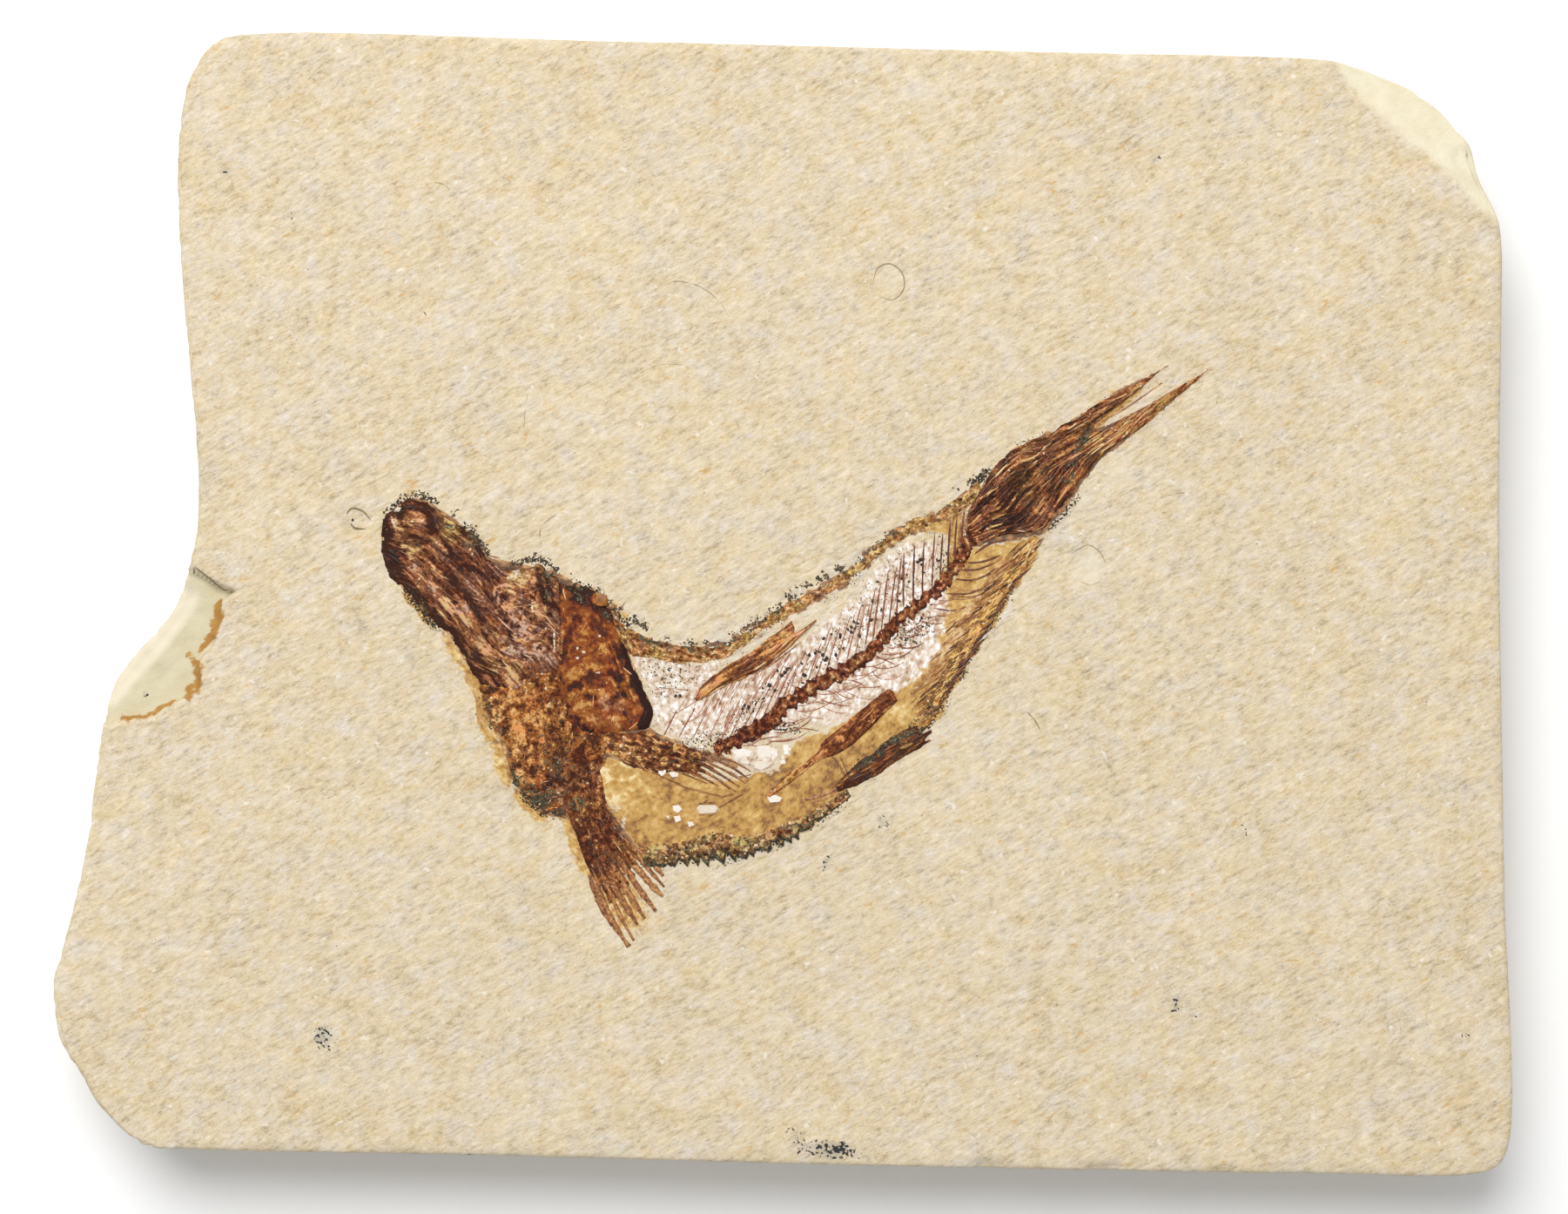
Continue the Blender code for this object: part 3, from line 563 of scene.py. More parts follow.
slabShape = {
    "outline": [(-52.1, -44.8), (-46.4, -45.1), (-25.6, -45.5), (0.1, -46.2), (17.3, -46.6), (43.0, -47.0),
        (58.6, -46.7), (59.9, -45.2), (59.7, -21.9), (59.3, 6.7), (59.5, 28.9), (59.4, 30.5), (59.0, 32.3),
        (58.0, 34.5), (57.6, 35.6), (57.5, 36.8), (57.1, 37.9), (56.2, 38.9), (54.7, 40.0), (53.5, 41.0),
        (52.6, 42.2), (50.5, 43.2), (47.6, 44.2), (45.2, 44.7), (21.6, 45.4), (-14.2, 46.3), (-43.5, 46.9),
        (-46.4, 46.3), (-48.5, 43.6), (-49.5, 38.9), (-49.5, 29.6), (-48.0, 11.0), (-48.2, 5.3),
        (-50.2, -0.4), (-55.0, -6.4), (-56.0, -11.2), (-57.1, -19.7), (-58.0, -24.0), (-59.1, -28.3),
        (-59.9, -31.5), (-59.2, -36.3), (-57.5, -39.0), (-56.3, -41.2), (-53.9, -43.7)],
    "corners": [(-53.9, -43.9), (59.6, -46.2), (53.9, 40.5), (-48.0, 45.0)],
    "scar": [(-48.4, 2.8), (-47.2, 2.1), (-46.2, 1.5), (-45.4, 1.2), (-44.9, 1.1), (-45.5, 0.7),
        (-46.1, 0.3), (-46.2, -0.4), (-46.2, -1.3), (-46.4, -2.0), (-46.9, -2.4), (-46.7, -3.1),
        (-46.9, -3.6), (-47.4, -4.0), (-47.8, -4.5), (-48.1, -5.1), (-47.9, -6.0), (-47.9, -6.9),
        (-48.7, -7.4), (-49.6, -7.8), (-50.2, -8.4), (-51.2, -9.1), (-52.2, -9.4), (-53.5, -9.5),
        (-54.7, -9.6), (-55.8, -9.9), (-60.0, -11.2), (-60.0, 3.9)],
    "scarDepth": 1.1,
    "chipLine": [(43.0, 46.8), (44.9, 44.9), (45.9, 43.1), (47.3, 41.3), (49.7, 39.3), (51.3, 37.9),
        (53.0, 36.6), (54.5, 35.4), (56.2, 33.3), (57.6, 32.0), (58.9, 31.2), (59.3, 30.5), (60.5, 28.2)],
    "chipDrop": 1.6,
    "edgeChips": [((16.4, -46.6), (2.2, 0.9), 0.7), ((26.7, -46.8), (2.6, 0.9), 0.8),
        ((35.7, -47.0), (2.9, 0.8), 0.7), ((45.2, -47.2), (1.4, 0.7), 0.5), ((56.2, 36.8), (1.2, 0.8), 0.4),
        ((-42.8, 47.1), (1.8, 0.6), 0.4), ((-49.5, 26.0), (0.6, 1.6), 0.5), ((7.3, -46.6), (1.0, 0.5), 0.4),
        ((-18.5, 46.5), (1.4, 0.4), 0.3)],
    "pits": [((-34.9, 7.1), (0.9, 0.75), 0.22), ((-35.4, 6.4), (0.45, 0.35), 0.25),
        ((25.2, 3.3), (1.5, 1.3), 0.1), ((8.8, 26.6), (1.2, 1.3), 0.08)],
    "rust": [([(-46.4, -0.1), (-46.4, -1.3), (-46.7, -2.0)], 0.46, 1.0),
        ([(-46.9, -1.4), (-46.8, -2.1)], 0.4, 0.9),
        ([(-46.7, -2.3), (-47.1, -2.7), (-47.4, -3.1)], 0.38, 0.95),
        ([(-47.2, -2.9), (-47.7, -3.4), (-48.1, -3.9)], 0.22, 0.9),
        ([(-49.0, -4.2), (-48.6, -4.6), (-48.2, -4.9)], 0.24, 1.0),
        ([(-48.2, -5.0), (-48.1, -5.9), (-48.1, -6.9)], 0.42, 0.9),
        ([(-48.5, -6.6), (-49.0, -7.1), (-48.8, -7.7)], 0.36, 0.85),
        ([(-50.0, -7.9), (-50.7, -8.3)], 0.22, 0.8),
        ([(-51.0, -8.4), (-52.0, -9.0), (-53.0, -9.3)], 0.2, 0.95),
        ([(-53.0, -9.3), (-53.7, -9.4), (-54.4, -9.3)], 0.18, 1.0),
        ([(-33.3, 35.9), (-32.4, 35.3), (-31.5, 34.5)], 0.8, 0.26),
        ([(-31.7, 34.2), (-31.3, 33.9)], 0.3, 0.5), ([(25.3, 23.7), (25.6, 23.3)], 0.3, 0.6),
        ([(-47.9, 0.9), (-47.7, 0.6)], 0.2, 0.4)],
    "pale": [((25.1, 2.9), (1.25, 1.35), 0, 0.75), ((27.6, 10.6), (0.9, 1.5), 0, 0.45),
        ((8.8, 26.6), (1.0, 1.2), 0, 0.4)],
    "bevel": [(-49.1, 0.7), (-49.7, -0.4), (-50.8, -1.9), (-52.4, -3.9), (-54.1, -5.7), (-55.5, -7.4)],
    "soot": [((-45.8, 35.7), (0.6, 0.5), 0, 0.7), ((-40.2, 32.0), (0.3, 0.3), 0, 1.0),
        ((-38.7, 10.8), (0.45, 0.35), 0, 0.7), ((-37.7, -35.5), (0.9, 1.1), 0, 0.75),
        ((-25.6, -45.1), (0.5, 0.3), 0, 0.8), ((4.0, -44.8), (2.1, 0.75), 0, 0.9),
        ((4.8, -44.7), (0.9, 0.6), 0, 1.0), ((1.7, -44.6), (1.0, 0.7), 0, 0.62),
        ((1.0, -43.6), (0.9, 0.6), 0, 0.55), ((6.1, -45.2), (0.6, 0.3), 0, 0.6),
        ((8.3, -17.9), (0.7, 0.5), 0, 0.75), ((3.7, -21.2), (0.5, 0.6), 0, 0.8),
        ((32.3, -32.8), (0.5, 0.8), 0, 0.85), ((33.9, -33.9), (0.45, 0.35), 0, 0.8),
        ((30.5, 36.4), (0.3, 0.45), 0, 0.9), ((56.1, -35.3), (0.4, 0.4), 0, 0.6),
        ((58.4, -41.2), (0.4, 0.4), 0, 0.6), ((22.3, -45.8), (0.7, 0.3), 0, 0.6),
        ((15.8, -37.0), (0.4, 0.3), 0, 0.6), ((17.4, -41.2), (0.4, 0.3), 0, 0.6),
        ((30.1, -18.7), (0.4, 0.3), 0, 0.55), ((38.0, -18.7), (0.7, 0.5), 0, 0.6),
        ((40.9, -17.9), (0.4, 0.3), 0, 0.55), ((-52.3, -17.2), (0.35, 0.3), 0, 0.6),
        ((-21.1, -39.3), (0.2, 0.2), 0, 1.0), ((-48.7, -2.7), (0.5, 0.35), 0, 0.3),
        ((-49.5, -3.4), (0.6, 0.35), 0, 0.3), ((-52.5, -7.4), (0.25, 0.2), 0, 1.0),
        ((-35.4, 6.9), (0.5, 0.3), 0, 0.5), ((50.0, -24.7), (0.3, 0.3), 0, 0.6),
        ((-1.3, -44.9), (0.3, 0.12), 0, 0.5)],
    "brokenStep": 0.3,
    "grid": (224, 178),
    "reach": (120.0, 94.0),
}


# Evenly spread knots from 0 to 1, closer together where a range has a density over 1.
def closerKnots(count, low, high, density):
    fine = np.linspace(0.0, 1.0, 4000)
    weight = 1.0 + (density - 1.0) * smoothStep(low - 0.03, low, fine) * (
        1 - smoothStep(high, high + 0.03, fine))
    travel = np.concatenate([[0.0], np.cumsum((weight[1:] + weight[:-1]) / 2)])
    return np.interp(np.linspace(0.0, travel[-1], count), travel, fine)


# How far the face sits below faceZ at each place: the lost flake, the chipped corner, chips and pits.
def slabFaceDrop(x, y):
    scar = insideDistance(x, y, slabShape["scar"])
    drop = slabShape["scarDepth"] * smoothStep(-0.12, 0.2, scar)
    drop += 0.4 * softStroke(x, y, slabShape["bevel"], 0.7, 0.7) * smoothStep(0.0, 0.4, scar)
    drop += 0.18 * smoothStep(0.0, 3.0, scar) * (1.0 + layeredNoise(x / 2.2, y / 2.2, 2, 91))
    gap, _ = lineDistance(x, y, slabShape["chipLine"])
    beyond = gap * (
        insideDistance(x, y, slabShape["chipLine"] + [(75.0, 30.0), (75.0, 60.0), (40.0, 60.0)]) > 0)
    chip = slabShape["chipDrop"] * (1.0 - np.exp(-(beyond / 2.0) ** 1.2))
    drop += chip * (1.0 + 0.10 * layeredNoise(x / 1.7, y / 1.7, 2, 71))
    for middle, halfWidths, depth in slabShape["edgeChips"]:
        wobble = 0.16 * layeredNoise(x / 0.8, y / 0.8, 2, 55)
        reach = np.hypot((x - middle[0]) / halfWidths[0], (y - middle[1]) / halfWidths[1]) + wobble
        drop += depth * np.sqrt(np.clip(1.0 - reach**2, 0.0, 1.0))
    for middle, halfWidths, depth in slabShape["pits"]:
        drop += depth * softSpot(x, y, middle, halfWidths, 0.0, 0.6)
    return drop, scar, beyond


# The face is a four-sided patch inside the outline; rings of the same points then round its worn
# rim, go down the bedded sides, round the foot, and close over the flat back.
def makeSlab():
    shape = slabShape
    outline = smoothCurve(shape["outline"], 6000, closed=True)
    low, high = np.array(cadBox)[:, :2] / mm + np.array([[0.03], [-0.03]])
    narrow, wide = outline.min(axis=0), outline.max(axis=0)
    outline = low + (outline - narrow) * (high - low) / (wide - narrow)
    marks = [int(np.argmin(np.hypot(*(outline - corner).T))) for corner in shape["corners"]]
    order = np.arange(len(outline))
    sides = []
    for index, mark in enumerate(marks):
        stop = marks[(index + 1) % 4]
        stop = stop + len(outline) if stop <= mark else stop
        sides.append(outline[order.take(np.arange(mark, stop + 1), mode="wrap")])
    bottom, right, top, left = sides[0], sides[1], sides[2][::-1], sides[3][::-1]
    columns, rows = shape["grid"]
    longSide, shortSide = shape["reach"]
    u = closerKnots(columns, 0.0, 0.11, 2.6)
    v = closerKnots(rows, 0.36, 0.53, 2.3)

    def along(side, shares):
        travel = travelled(side)
        return placesAlong(side, travel, shares * travel[-1])

    face = blendSides(along(bottom, u), along(top, u), along(left, v), along(right, v), u, v)
    rim = gridRim(columns, rows, False)
    edge = face.reshape(-1, 2)[rim]
    ahead = np.roll(edge, -1, axis=0) - np.roll(edge, 1, axis=0)
    inward = np.column_stack([-ahead[:, 1], ahead[:, 0]])
    inward /= np.linalg.norm(inward, axis=1)[:, None]
    travel = travelled(edge)
    broken = np.clip((-44.0 - edge[:, 0]) / 6.0, 0.0, 1.0)
    nibble = (0.05 + 0.16 * broken) * np.abs(layeredNoise(travel / 1.3, travel * 0.0, 4, 5))
    wear = 0.42 + 0.20 * layeredNoise(travel / 5.0, travel * 0.0 + 3.0, 3, 8)

    # the rim's points step in by the worn edge; the face's inner points follow with a fading share
    su, sv = u[:, None, None] * longSide, v[None, :, None] * shortSide
    share = np.minimum(np.minimum(su, longSide - su), np.minimum(sv, shortSide - sv))[..., 0]
    pull = np.exp(-share / 0.9)
    inset = np.zeros((columns * rows, 2))
    inset[rim] = inward * (nibble + wear)[:, None]
    field = inset.reshape(columns, rows, 2)
    spreadIn = np.zeros_like(field)
    weight = np.zeros((columns, rows, 1))
    for part, size in (
        (field[:1], su), (field[-1:], longSide - su), (field[:, :1], sv), (field[:, -1:], shortSide - sv)):
        near = np.exp(-size / 0.6) + np.zeros_like(weight)
        spreadIn += part * near
        weight += near
    face = face + spreadIn / np.maximum(weight, 1.0)
    x, y = face[..., 0], face[..., 1]
    drop, scar, beyond = slabFaceDrop(x, y)
    calm = 1.0 - 0.6 * smoothStep(0.0, 0.5, scar) - 0.5 * smoothStep(0.0, 0.8, beyond)
    faceHeight = faceZ - 0.04 + faceWaves(x, y) * calm - drop - 0.10 * pull

    rings = []
    start = face.reshape(-1, 2)[rim]
    startZ = faceHeight.reshape(-1)[rim]
    full = edge + inward * nibble[:, None]
    for turn in (0.25, 0.5, 0.75):
        bend = turn * np.pi / 2
        rings.append((start + (full - start) * np.sin(bend), startZ - 0.55 * (1 - np.cos(bend))))
    depths = np.linspace(0.0, 1.0, 13)
    for depth in depths:
        z = (startZ - 0.6) * (1 - depth) + 0.75 * depth
        bed = layeredNoise(travel / 14.0, z / 0.75, 3, 61) + 0.6 * planeNoise(travel / 2.4, z / 0.5, 67)
        step = np.clip(0.10 + 0.5 * bed, 0.0, 1.0) * (0.10 + shape["brokenStep"] * (0.25 + broken))
        rough = 0.05 * np.abs(layeredNoise(travel / 0.9, z / 0.9, 2, 77))
        rings.append((edge + inward * np.maximum(nibble, step + rough)[:, None], z))
    for inset, z in ((0.08, 0.42), (0.3, 0.16), (0.8, 0.02)):
        rings.append(
            (
                edge + inward * (inset + 0.12 * np.abs(planeNoise(travel / 2.0, travel * 0, 81)))[:, None],
                np.full(len(edge), z)))
    back = rings[-1][0]
    for size in (0.975, 0.94, 0.88, 0.79, 0.67, 0.52, 0.36, 0.2):
        place = back * size
        z = 0.10 + 0.09 * layeredNoise(place[:, 0] / 26, place[:, 1] / 26, 2, 83)
        rings.append((place, np.clip(z, 0.01, 0.3) * smoothStep(1.0, 0.93, size)))

    ringCount = len(rim)
    points = [np.column_stack([face.reshape(-1, 2), faceHeight.reshape(-1)])]
    points += [np.column_stack([place, z]) for place, z in rings]
    loops = [rim] + [
        columns * rows + index * ringCount + np.arange(ringCount) for index in range(len(rings))]
    blocks = [gridFaces(columns, rows, False)]
    for upper, lower in zip(loops, loops[1:]):
        blocks.append(np.column_stack([np.roll(upper, -1), upper, lower, np.roll(lower, -1)]))
    points = np.vstack(points)
    px, py, pz = points.T
    _, scarAll, beyondAll = slabFaceDrop(px, py)
    uneven = 1 + 0.6 * layeredNoise(px / 0.7, py / 0.7, 3, 93)
    freeEdge = softStroke(px, py, shape["bevel"], 0.95, 0.4) * smoothStep(0.0, 0.4, scarAll)
    cornerEdge = beyondAll + 0.2 * layeredNoise(px / 0.8, py / 0.8, 3, 95)
    onFace = smoothStep(8.6, 9.4, pz)
    sideMask = np.zeros(len(px))
    sideMask[columns * rows + 2 * ringCount:] = 1.0
    masks = {
        "flake": smoothStep(-0.05, 0.15, scarAll) * onFace,
        "bevel": np.maximum(freeEdge, spotsOver(px, py, shape["pale"], 0.35)),
        "fresh": smoothStep(0.0, 0.55, cornerEdge) * smoothStep(8.0, 8.8, pz),
        "rust": strokesOver(px, py, shape["rust"], uneven, 0.8) * onFace,
        "soot": spotsOver(px, py, shape["soot"], 0.8) * onFace,
        "side": sideMask,
    }
    slab = makePiece(
        "limestoneSlab", points, blocks, paleLimestone(), masks, sharpAngle=70, closing=loops[-1][::-1])
    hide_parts("limestone_slab")
    print("slab", len(points), "points")
    return slab


makeSlab()


bodyShape = {
    "backLine": [(-14.2, -1.3), (-12.6, -2.6), (-11.0, -3.4), (-8.5, -3.9), (-6.0, -3.9), (-3.5, -2.9),
        (-0.6, -1.1), (2.3, 0.5), (5.5, 2.4), (8.0, 4.7), (10.8, 6.4), (13.7, 7.4), (16.3, 9.7)],
    "spineLine": [(-14.2, -11.2), (-9.9, -11.7), (-7.0, -12.0), (-5.3, -11.7), (-3.8, -11.2), (-2.0, -10.3),
        (0.1, -8.4), (3.0, -6.5), (6.5, -4.5), (9.8, -1.1), (12.6, 1.1), (14.4, 3.5), (15.4, 5.9)],
    "filmAbove": [(-12.2, -4.1), (-11.0, -4.0), (-7.8, -4.4), (-6.0, -4.6), (-4.5, -4.9), (-2.6, -4.4),
        (0.5, -3.4), (2.6, -2.1), (4.7, -0.6), (6.4, 0.9), (8.0, 3.9), (9.7, 4.9), (11.3, 5.4), (12.6, 5.1),
        (12.8, 3.6), (12.3, 1.9), (11.4, 0.3), (9.8, -1.3), (6.5, -4.5), (3.0, -6.5), (0.1, -8.4),
        (-2.0, -10.3), (-3.8, -11.3), (-6.0, -11.2), (-7.8, -10.9), (-9.5, -10.6), (-10.5, -9.9),
        (-10.8, -7.6)],
    "filmBelow": [(-2.0, -10.8), (0.1, -8.7), (3.0, -6.7), (6.5, -4.7), (9.8, -1.4), (11.5, 0.0),
        (13.0, 0.9), (13.7, -0.4), (13.3, -2.0), (12.6, -3.6), (11.5, -5.3), (10.4, -6.6), (8.5, -7.6),
        (6.5, -8.4), (5.5, -9.2), (3.7, -9.9), (1.9, -9.4), (0.5, -10.3), (-0.6, -11.0)],
    "filmFlake": [(-4.3, -12.0), (-3.5, -11.9), (-1.9, -11.9), (-0.4, -11.9), (-0.4, -12.3), (0.5, -12.6),
        (0.3, -13.1), (-0.4, -12.6), (-0.8, -13.3), (-1.6, -13.7), (-2.3, -13.5), (-2.9, -13.0),
        (-3.6, -13.0), (-4.2, -12.6)],
    "filmSpots": [((0.5, -12.1), (0.2, 0.35), 0, 1.15), ((-10.3, -8.7), (0.5, 0.5), 0, 1.15),
        ((-8.5, -8.4), (0.6, 0.4), 0, 1.15), ((12.6, 0.3), (0.5, 0.45), 0, 1.15),
        ((12.3, -0.8), (0.5, 0.3), 0, 1.15)],
    "belly": [(-17.4, -16.5), (-16.7, -13.9), (-14.2, -12.0), (-11.7, -12.7), (-9.2, -13.0), (-7.0, -13.9),
        (-4.5, -14.6), (-2.8, -14.0), (-1.3, -13.6), (-0.3, -13.2), (0.5, -12.0), (1.9, -10.8),
        (3.7, -10.3), (6.2, -8.7), (7.5, -7.4), (9.1, -6.4), (10.1, -4.7), (11.0, -2.9), (11.8, -1.0),
        (13.0, 0.4), (14.0, 2.1), (15.0, 4.6), (16.6, 5.4), (18.7, 5.7), (21.4, 6.3), (21.0, 4.4),
        (18.7, 0.3), (15.8, -4.0), (13.3, -8.4), (12.3, -10.1), (10.1, -11.2), (7.6, -12.7), (6.2, -14.2),
        (4.8, -16.2), (3.7, -17.3), (0.1, -18.9), (-2.8, -19.9), (-4.9, -19.5), (-8.5, -20.3),
        (-11.7, -21.2), (-13.6, -19.0), (-15.6, -17.2)],
    "rearGold": [(9.7, 5.9), (11.5, 6.9), (13.8, 7.9), (16.3, 9.9), (16.1, 6.7), (15.4, 5.0), (14.4, 3.1),
        (13.1, 1.4), (13.6, 3.9), (13.7, 5.6), (12.3, 6.2)],
    "folds": [[(-15.6, -14.4), (-14.8, -13.6), (-13.8, -13.5)],
        [(-14.9, -14.9), (-13.9, -14.3), (-13.1, -14.5), (-12.1, -14.2)],
        [(-14.1, -13.3), (-13.3, -13.0), (-12.5, -13.4)], [(-14.9, -15.7), (-14.1, -16.1), (-13.2, -15.6)],
        [(-15.9, -15.4), (-15.5, -16.3), (-14.5, -17.3), (-13.8, -18.5)],
        [(-12.6, -15.1), (-11.8, -15.6), (-10.8, -15.4)]],
    "deepGold": [((-9.2, -16.2), (5.0, 2.6), -5, 0.4), ((-11.2, -18.2), (2.2, 1.2), 0, 0.8),
        ((-9.9, -14.9), (2.2, 1.2), 15, 0.6), ((-4.9, -17.2), (2.4, 1.0), 10, 0.5),
        ((-1.3, -15.1), (3.5, 2.0), 15, 0.7), ((0.5, -17.2), (3.0, 1.2), 20, 0.6),
        ((4.4, -14.2), (4.6, 1.4), 32, 0.8), ((7.3, -12.6), (3.5, 1.4), 35, 0.5),
        ((14.7, -4.9), (4.4, 1.0), 57, 0.9), ((18.1, 1.0), (4.0, 1.1), 57, 0.8),
        ((-14.2, -15.1), (1.6, 1.8), 0, 0.3)],
    "stain": [([(-11.3, -11.2), (-9.2, -11.6), (-7.0, -12.2), (-5.2, -12.6)], 0.5, 0.8),
        ([(-10.8, -13.7), (-7.8, -15.1), (-4.9, -15.8), (-4.0, -15.6)], 0.1, 0.7),
        ([(-4.3, -13.7), (-3.5, -14.2), (-2.6, -14.0)], 0.09, 0.8),
        ([(-5.2, -16.7), (-4.0, -16.0), (-3.3, -15.6)], 0.1, 0.8),
        ([(-5.6, -11.9), (-4.8, -12.7), (-3.8, -13.3)], 0.16, 0.8),
        ([(-14.2, -11.3), (-12.1, -11.6), (-9.9, -12.0)], 0.7, 0.7),
        ([(-1.3, -15.7), (0.5, -14.0), (3.7, -11.9)], 0.24, 0.5),
        ([(4.0, -12.3), (4.8, -13.4), (5.2, -14.2)], 0.1, 0.8),
        ([(10.8, -7.2), (13.0, -4.7), (14.4, -1.9), (16.6, 1.0), (19.1, 3.9)], 0.55, 0.55),
        ([(13.7, 6.7), (14.4, 3.9), (13.3, 2.1)], 0.5, 0.35),
        ([(15.6, 9.6), (15.0, 7.4), (14.7, 5.1)], 0.35, 0.75),
        ([(14.4, 8.7), (14.0, 6.7), (13.8, 5.3)], 0.14, 0.6),
        ([(-6.8, -17.2), (-6.2, -17.4), (-5.5, -17.2)], 0.07, 0.9),
        ([(-6.8, -16.4), (-6.2, -16.2), (-5.4, -16.4)], 0.07, 0.7),
        ([(10.8, -1.3), (11.0, -0.9), (12.0, -1.0)], 0.08, 0.6),
        ([(0.1, -18.5), (1.9, -17.9), (3.5, -17.2)], 0.3, 0.7),
        ([(-7.4, -19.2), (-4.9, -18.5), (-3.5, -18.7)], 0.16, 0.4)],
    "soot": [((-9.2, -6.0), (3.0, 1.8), 0, 0.33), ((-5.6, -11.2), (3.4, 0.8), 10, 0.45),
        ((-3.1, -8.9), (3.2, 0.9), 45, 0.35), ((2.3, -4.7), (4.8, 1.5), 40, 0.24),
        ((6.5, -1.3), (4.0, 2.0), 50, 0.24), ((10.1, 2.4), (2.4, 2.4), 45, 0.28),
        ((10.4, -2.4), (1.7, 1.2), 40, 0.5), ((11.7, -1.7), (0.8, 1.2), 0, 0.45),
        ((13.1, 3.5), (0.9, 1.4), 0, 0.4), ((-9.9, -3.3), (3.0, 0.6), 0, 0.3),
        ((0.5, -10.1), (1.2, 0.6), 0, 0.6), ((12.6, -8.2), (1.0, 1.6), -30, 0.6),
        ((0.1, -19.0), (6.0, 0.5), 25, 0.5), ((-2.8, -1.9), (2.5, 0.7), 35, 0.35)],
}

bodyPalettes = {
    "film": [(120, 88, 66), (164, 132, 104), (194, 166, 140), (214, 193, 171), (229, 214, 198),
        (244, 235, 226), (255, 252, 250)],
    "belly": [(124, 78, 22), (154, 104, 38), (178, 130, 54), (194, 149, 74), (208, 168, 96),
        (220, 188, 122), (234, 212, 164)],
    "stain": [(70, 38, 19), (96, 56, 28), (120, 74, 38), (142, 94, 52), (166, 118, 70), (190, 148, 98),
        (212, 178, 132)],
}


# Limestone under the body's stains: each mask, with its edge broken up by speckle, lays a ramp of the tone
# over the stone, and soot adds dots.
def bodyFinish():
    material, bench, shader, place = startMaterial("stainedLimestone")
    stone = useGroup(bench, stoneGroup, Place=place)
    fine = bench.noise(place, 3.4, 3.0, 0.7)
    speckle = bench.noise(place, 2.0, 4.0, 0.7, 0.4)
    tone = bench.sway(bench.mask("tone"), fine, 0.9, True)
    colour = stone["Colour"]
    for mask, strength in (("belly", 0.92), ("film", 0.94), ("stain", 0.9)):
        here = bench.between(bench.sway(bench.mask(mask), speckle, 0.9), 0.30, 0.62)
        colour = bench.over(colour, bench.ramp(tone, toneStops(bodyPalettes[mask])), here, strength)
    soot = bench.mask("soot")
    dots = bench.noise(place, 5.2, 2.0, 0.5)
    dotMask = bench.between(bench.math("ADD", bench.math("MULTIPLY", soot, 0.4), dots), 0.70, 0.76)
    colour = bench.over(colour, tint(48, 40, 28), dotMask, bench.between(soot, 0.04, 0.2))
    bench.finish(shader, colour, stone["Grain"], 0.35, 0.00012, 0.72, 0.35)
    return material


# A skin lies a hair over the face and dips under it at its rim, where its colour is plain stone
# again, so that the two run into each other. paint fills its masks and its lift.
def makeSkin(name, sides, rows, columns, paint):
    u, v = np.linspace(0, 1, rows), np.linspace(0, 1, columns)
    place = patchBetween(*sides, u, v)
    x, y = place[..., 0], place[..., 1]
    rim = smoothStep(0.05, 0.8, gridTravel(place)[2])
    masks = {key: np.zeros_like(x) for key in ("film", "belly", "stain", "soot")}
    lift = np.zeros_like(x)
    grain = layeredNoise(x / 0.5, y / 0.5, 4, 301, 0.7)
    patch = layeredNoise(x / 1.6, y / 1.6, 4, 311, 0.65)
    masks["tone"] = paint(x, y, grain, patch, masks, lift)
    stained = np.maximum(
        np.maximum(masks["film"], masks["belly"]), np.maximum(masks["stain"], masks["soot"]))
    masks = {key: np.clip(value * (1.0 if key == "tone" else rim), 0, 1.2) for key, value in masks.items()}
    cover = rim * smoothStep(0.02, 0.3, stained)
    z = faceZ - 0.04 + faceWaves(x, y) - 0.12 + 0.15 * cover + lift * rim
    skin = gridPlate(name, np.dstack([x, y, z]), faceZ - 0.4, skinStone, masks)
    print(name, rows * columns, "points")


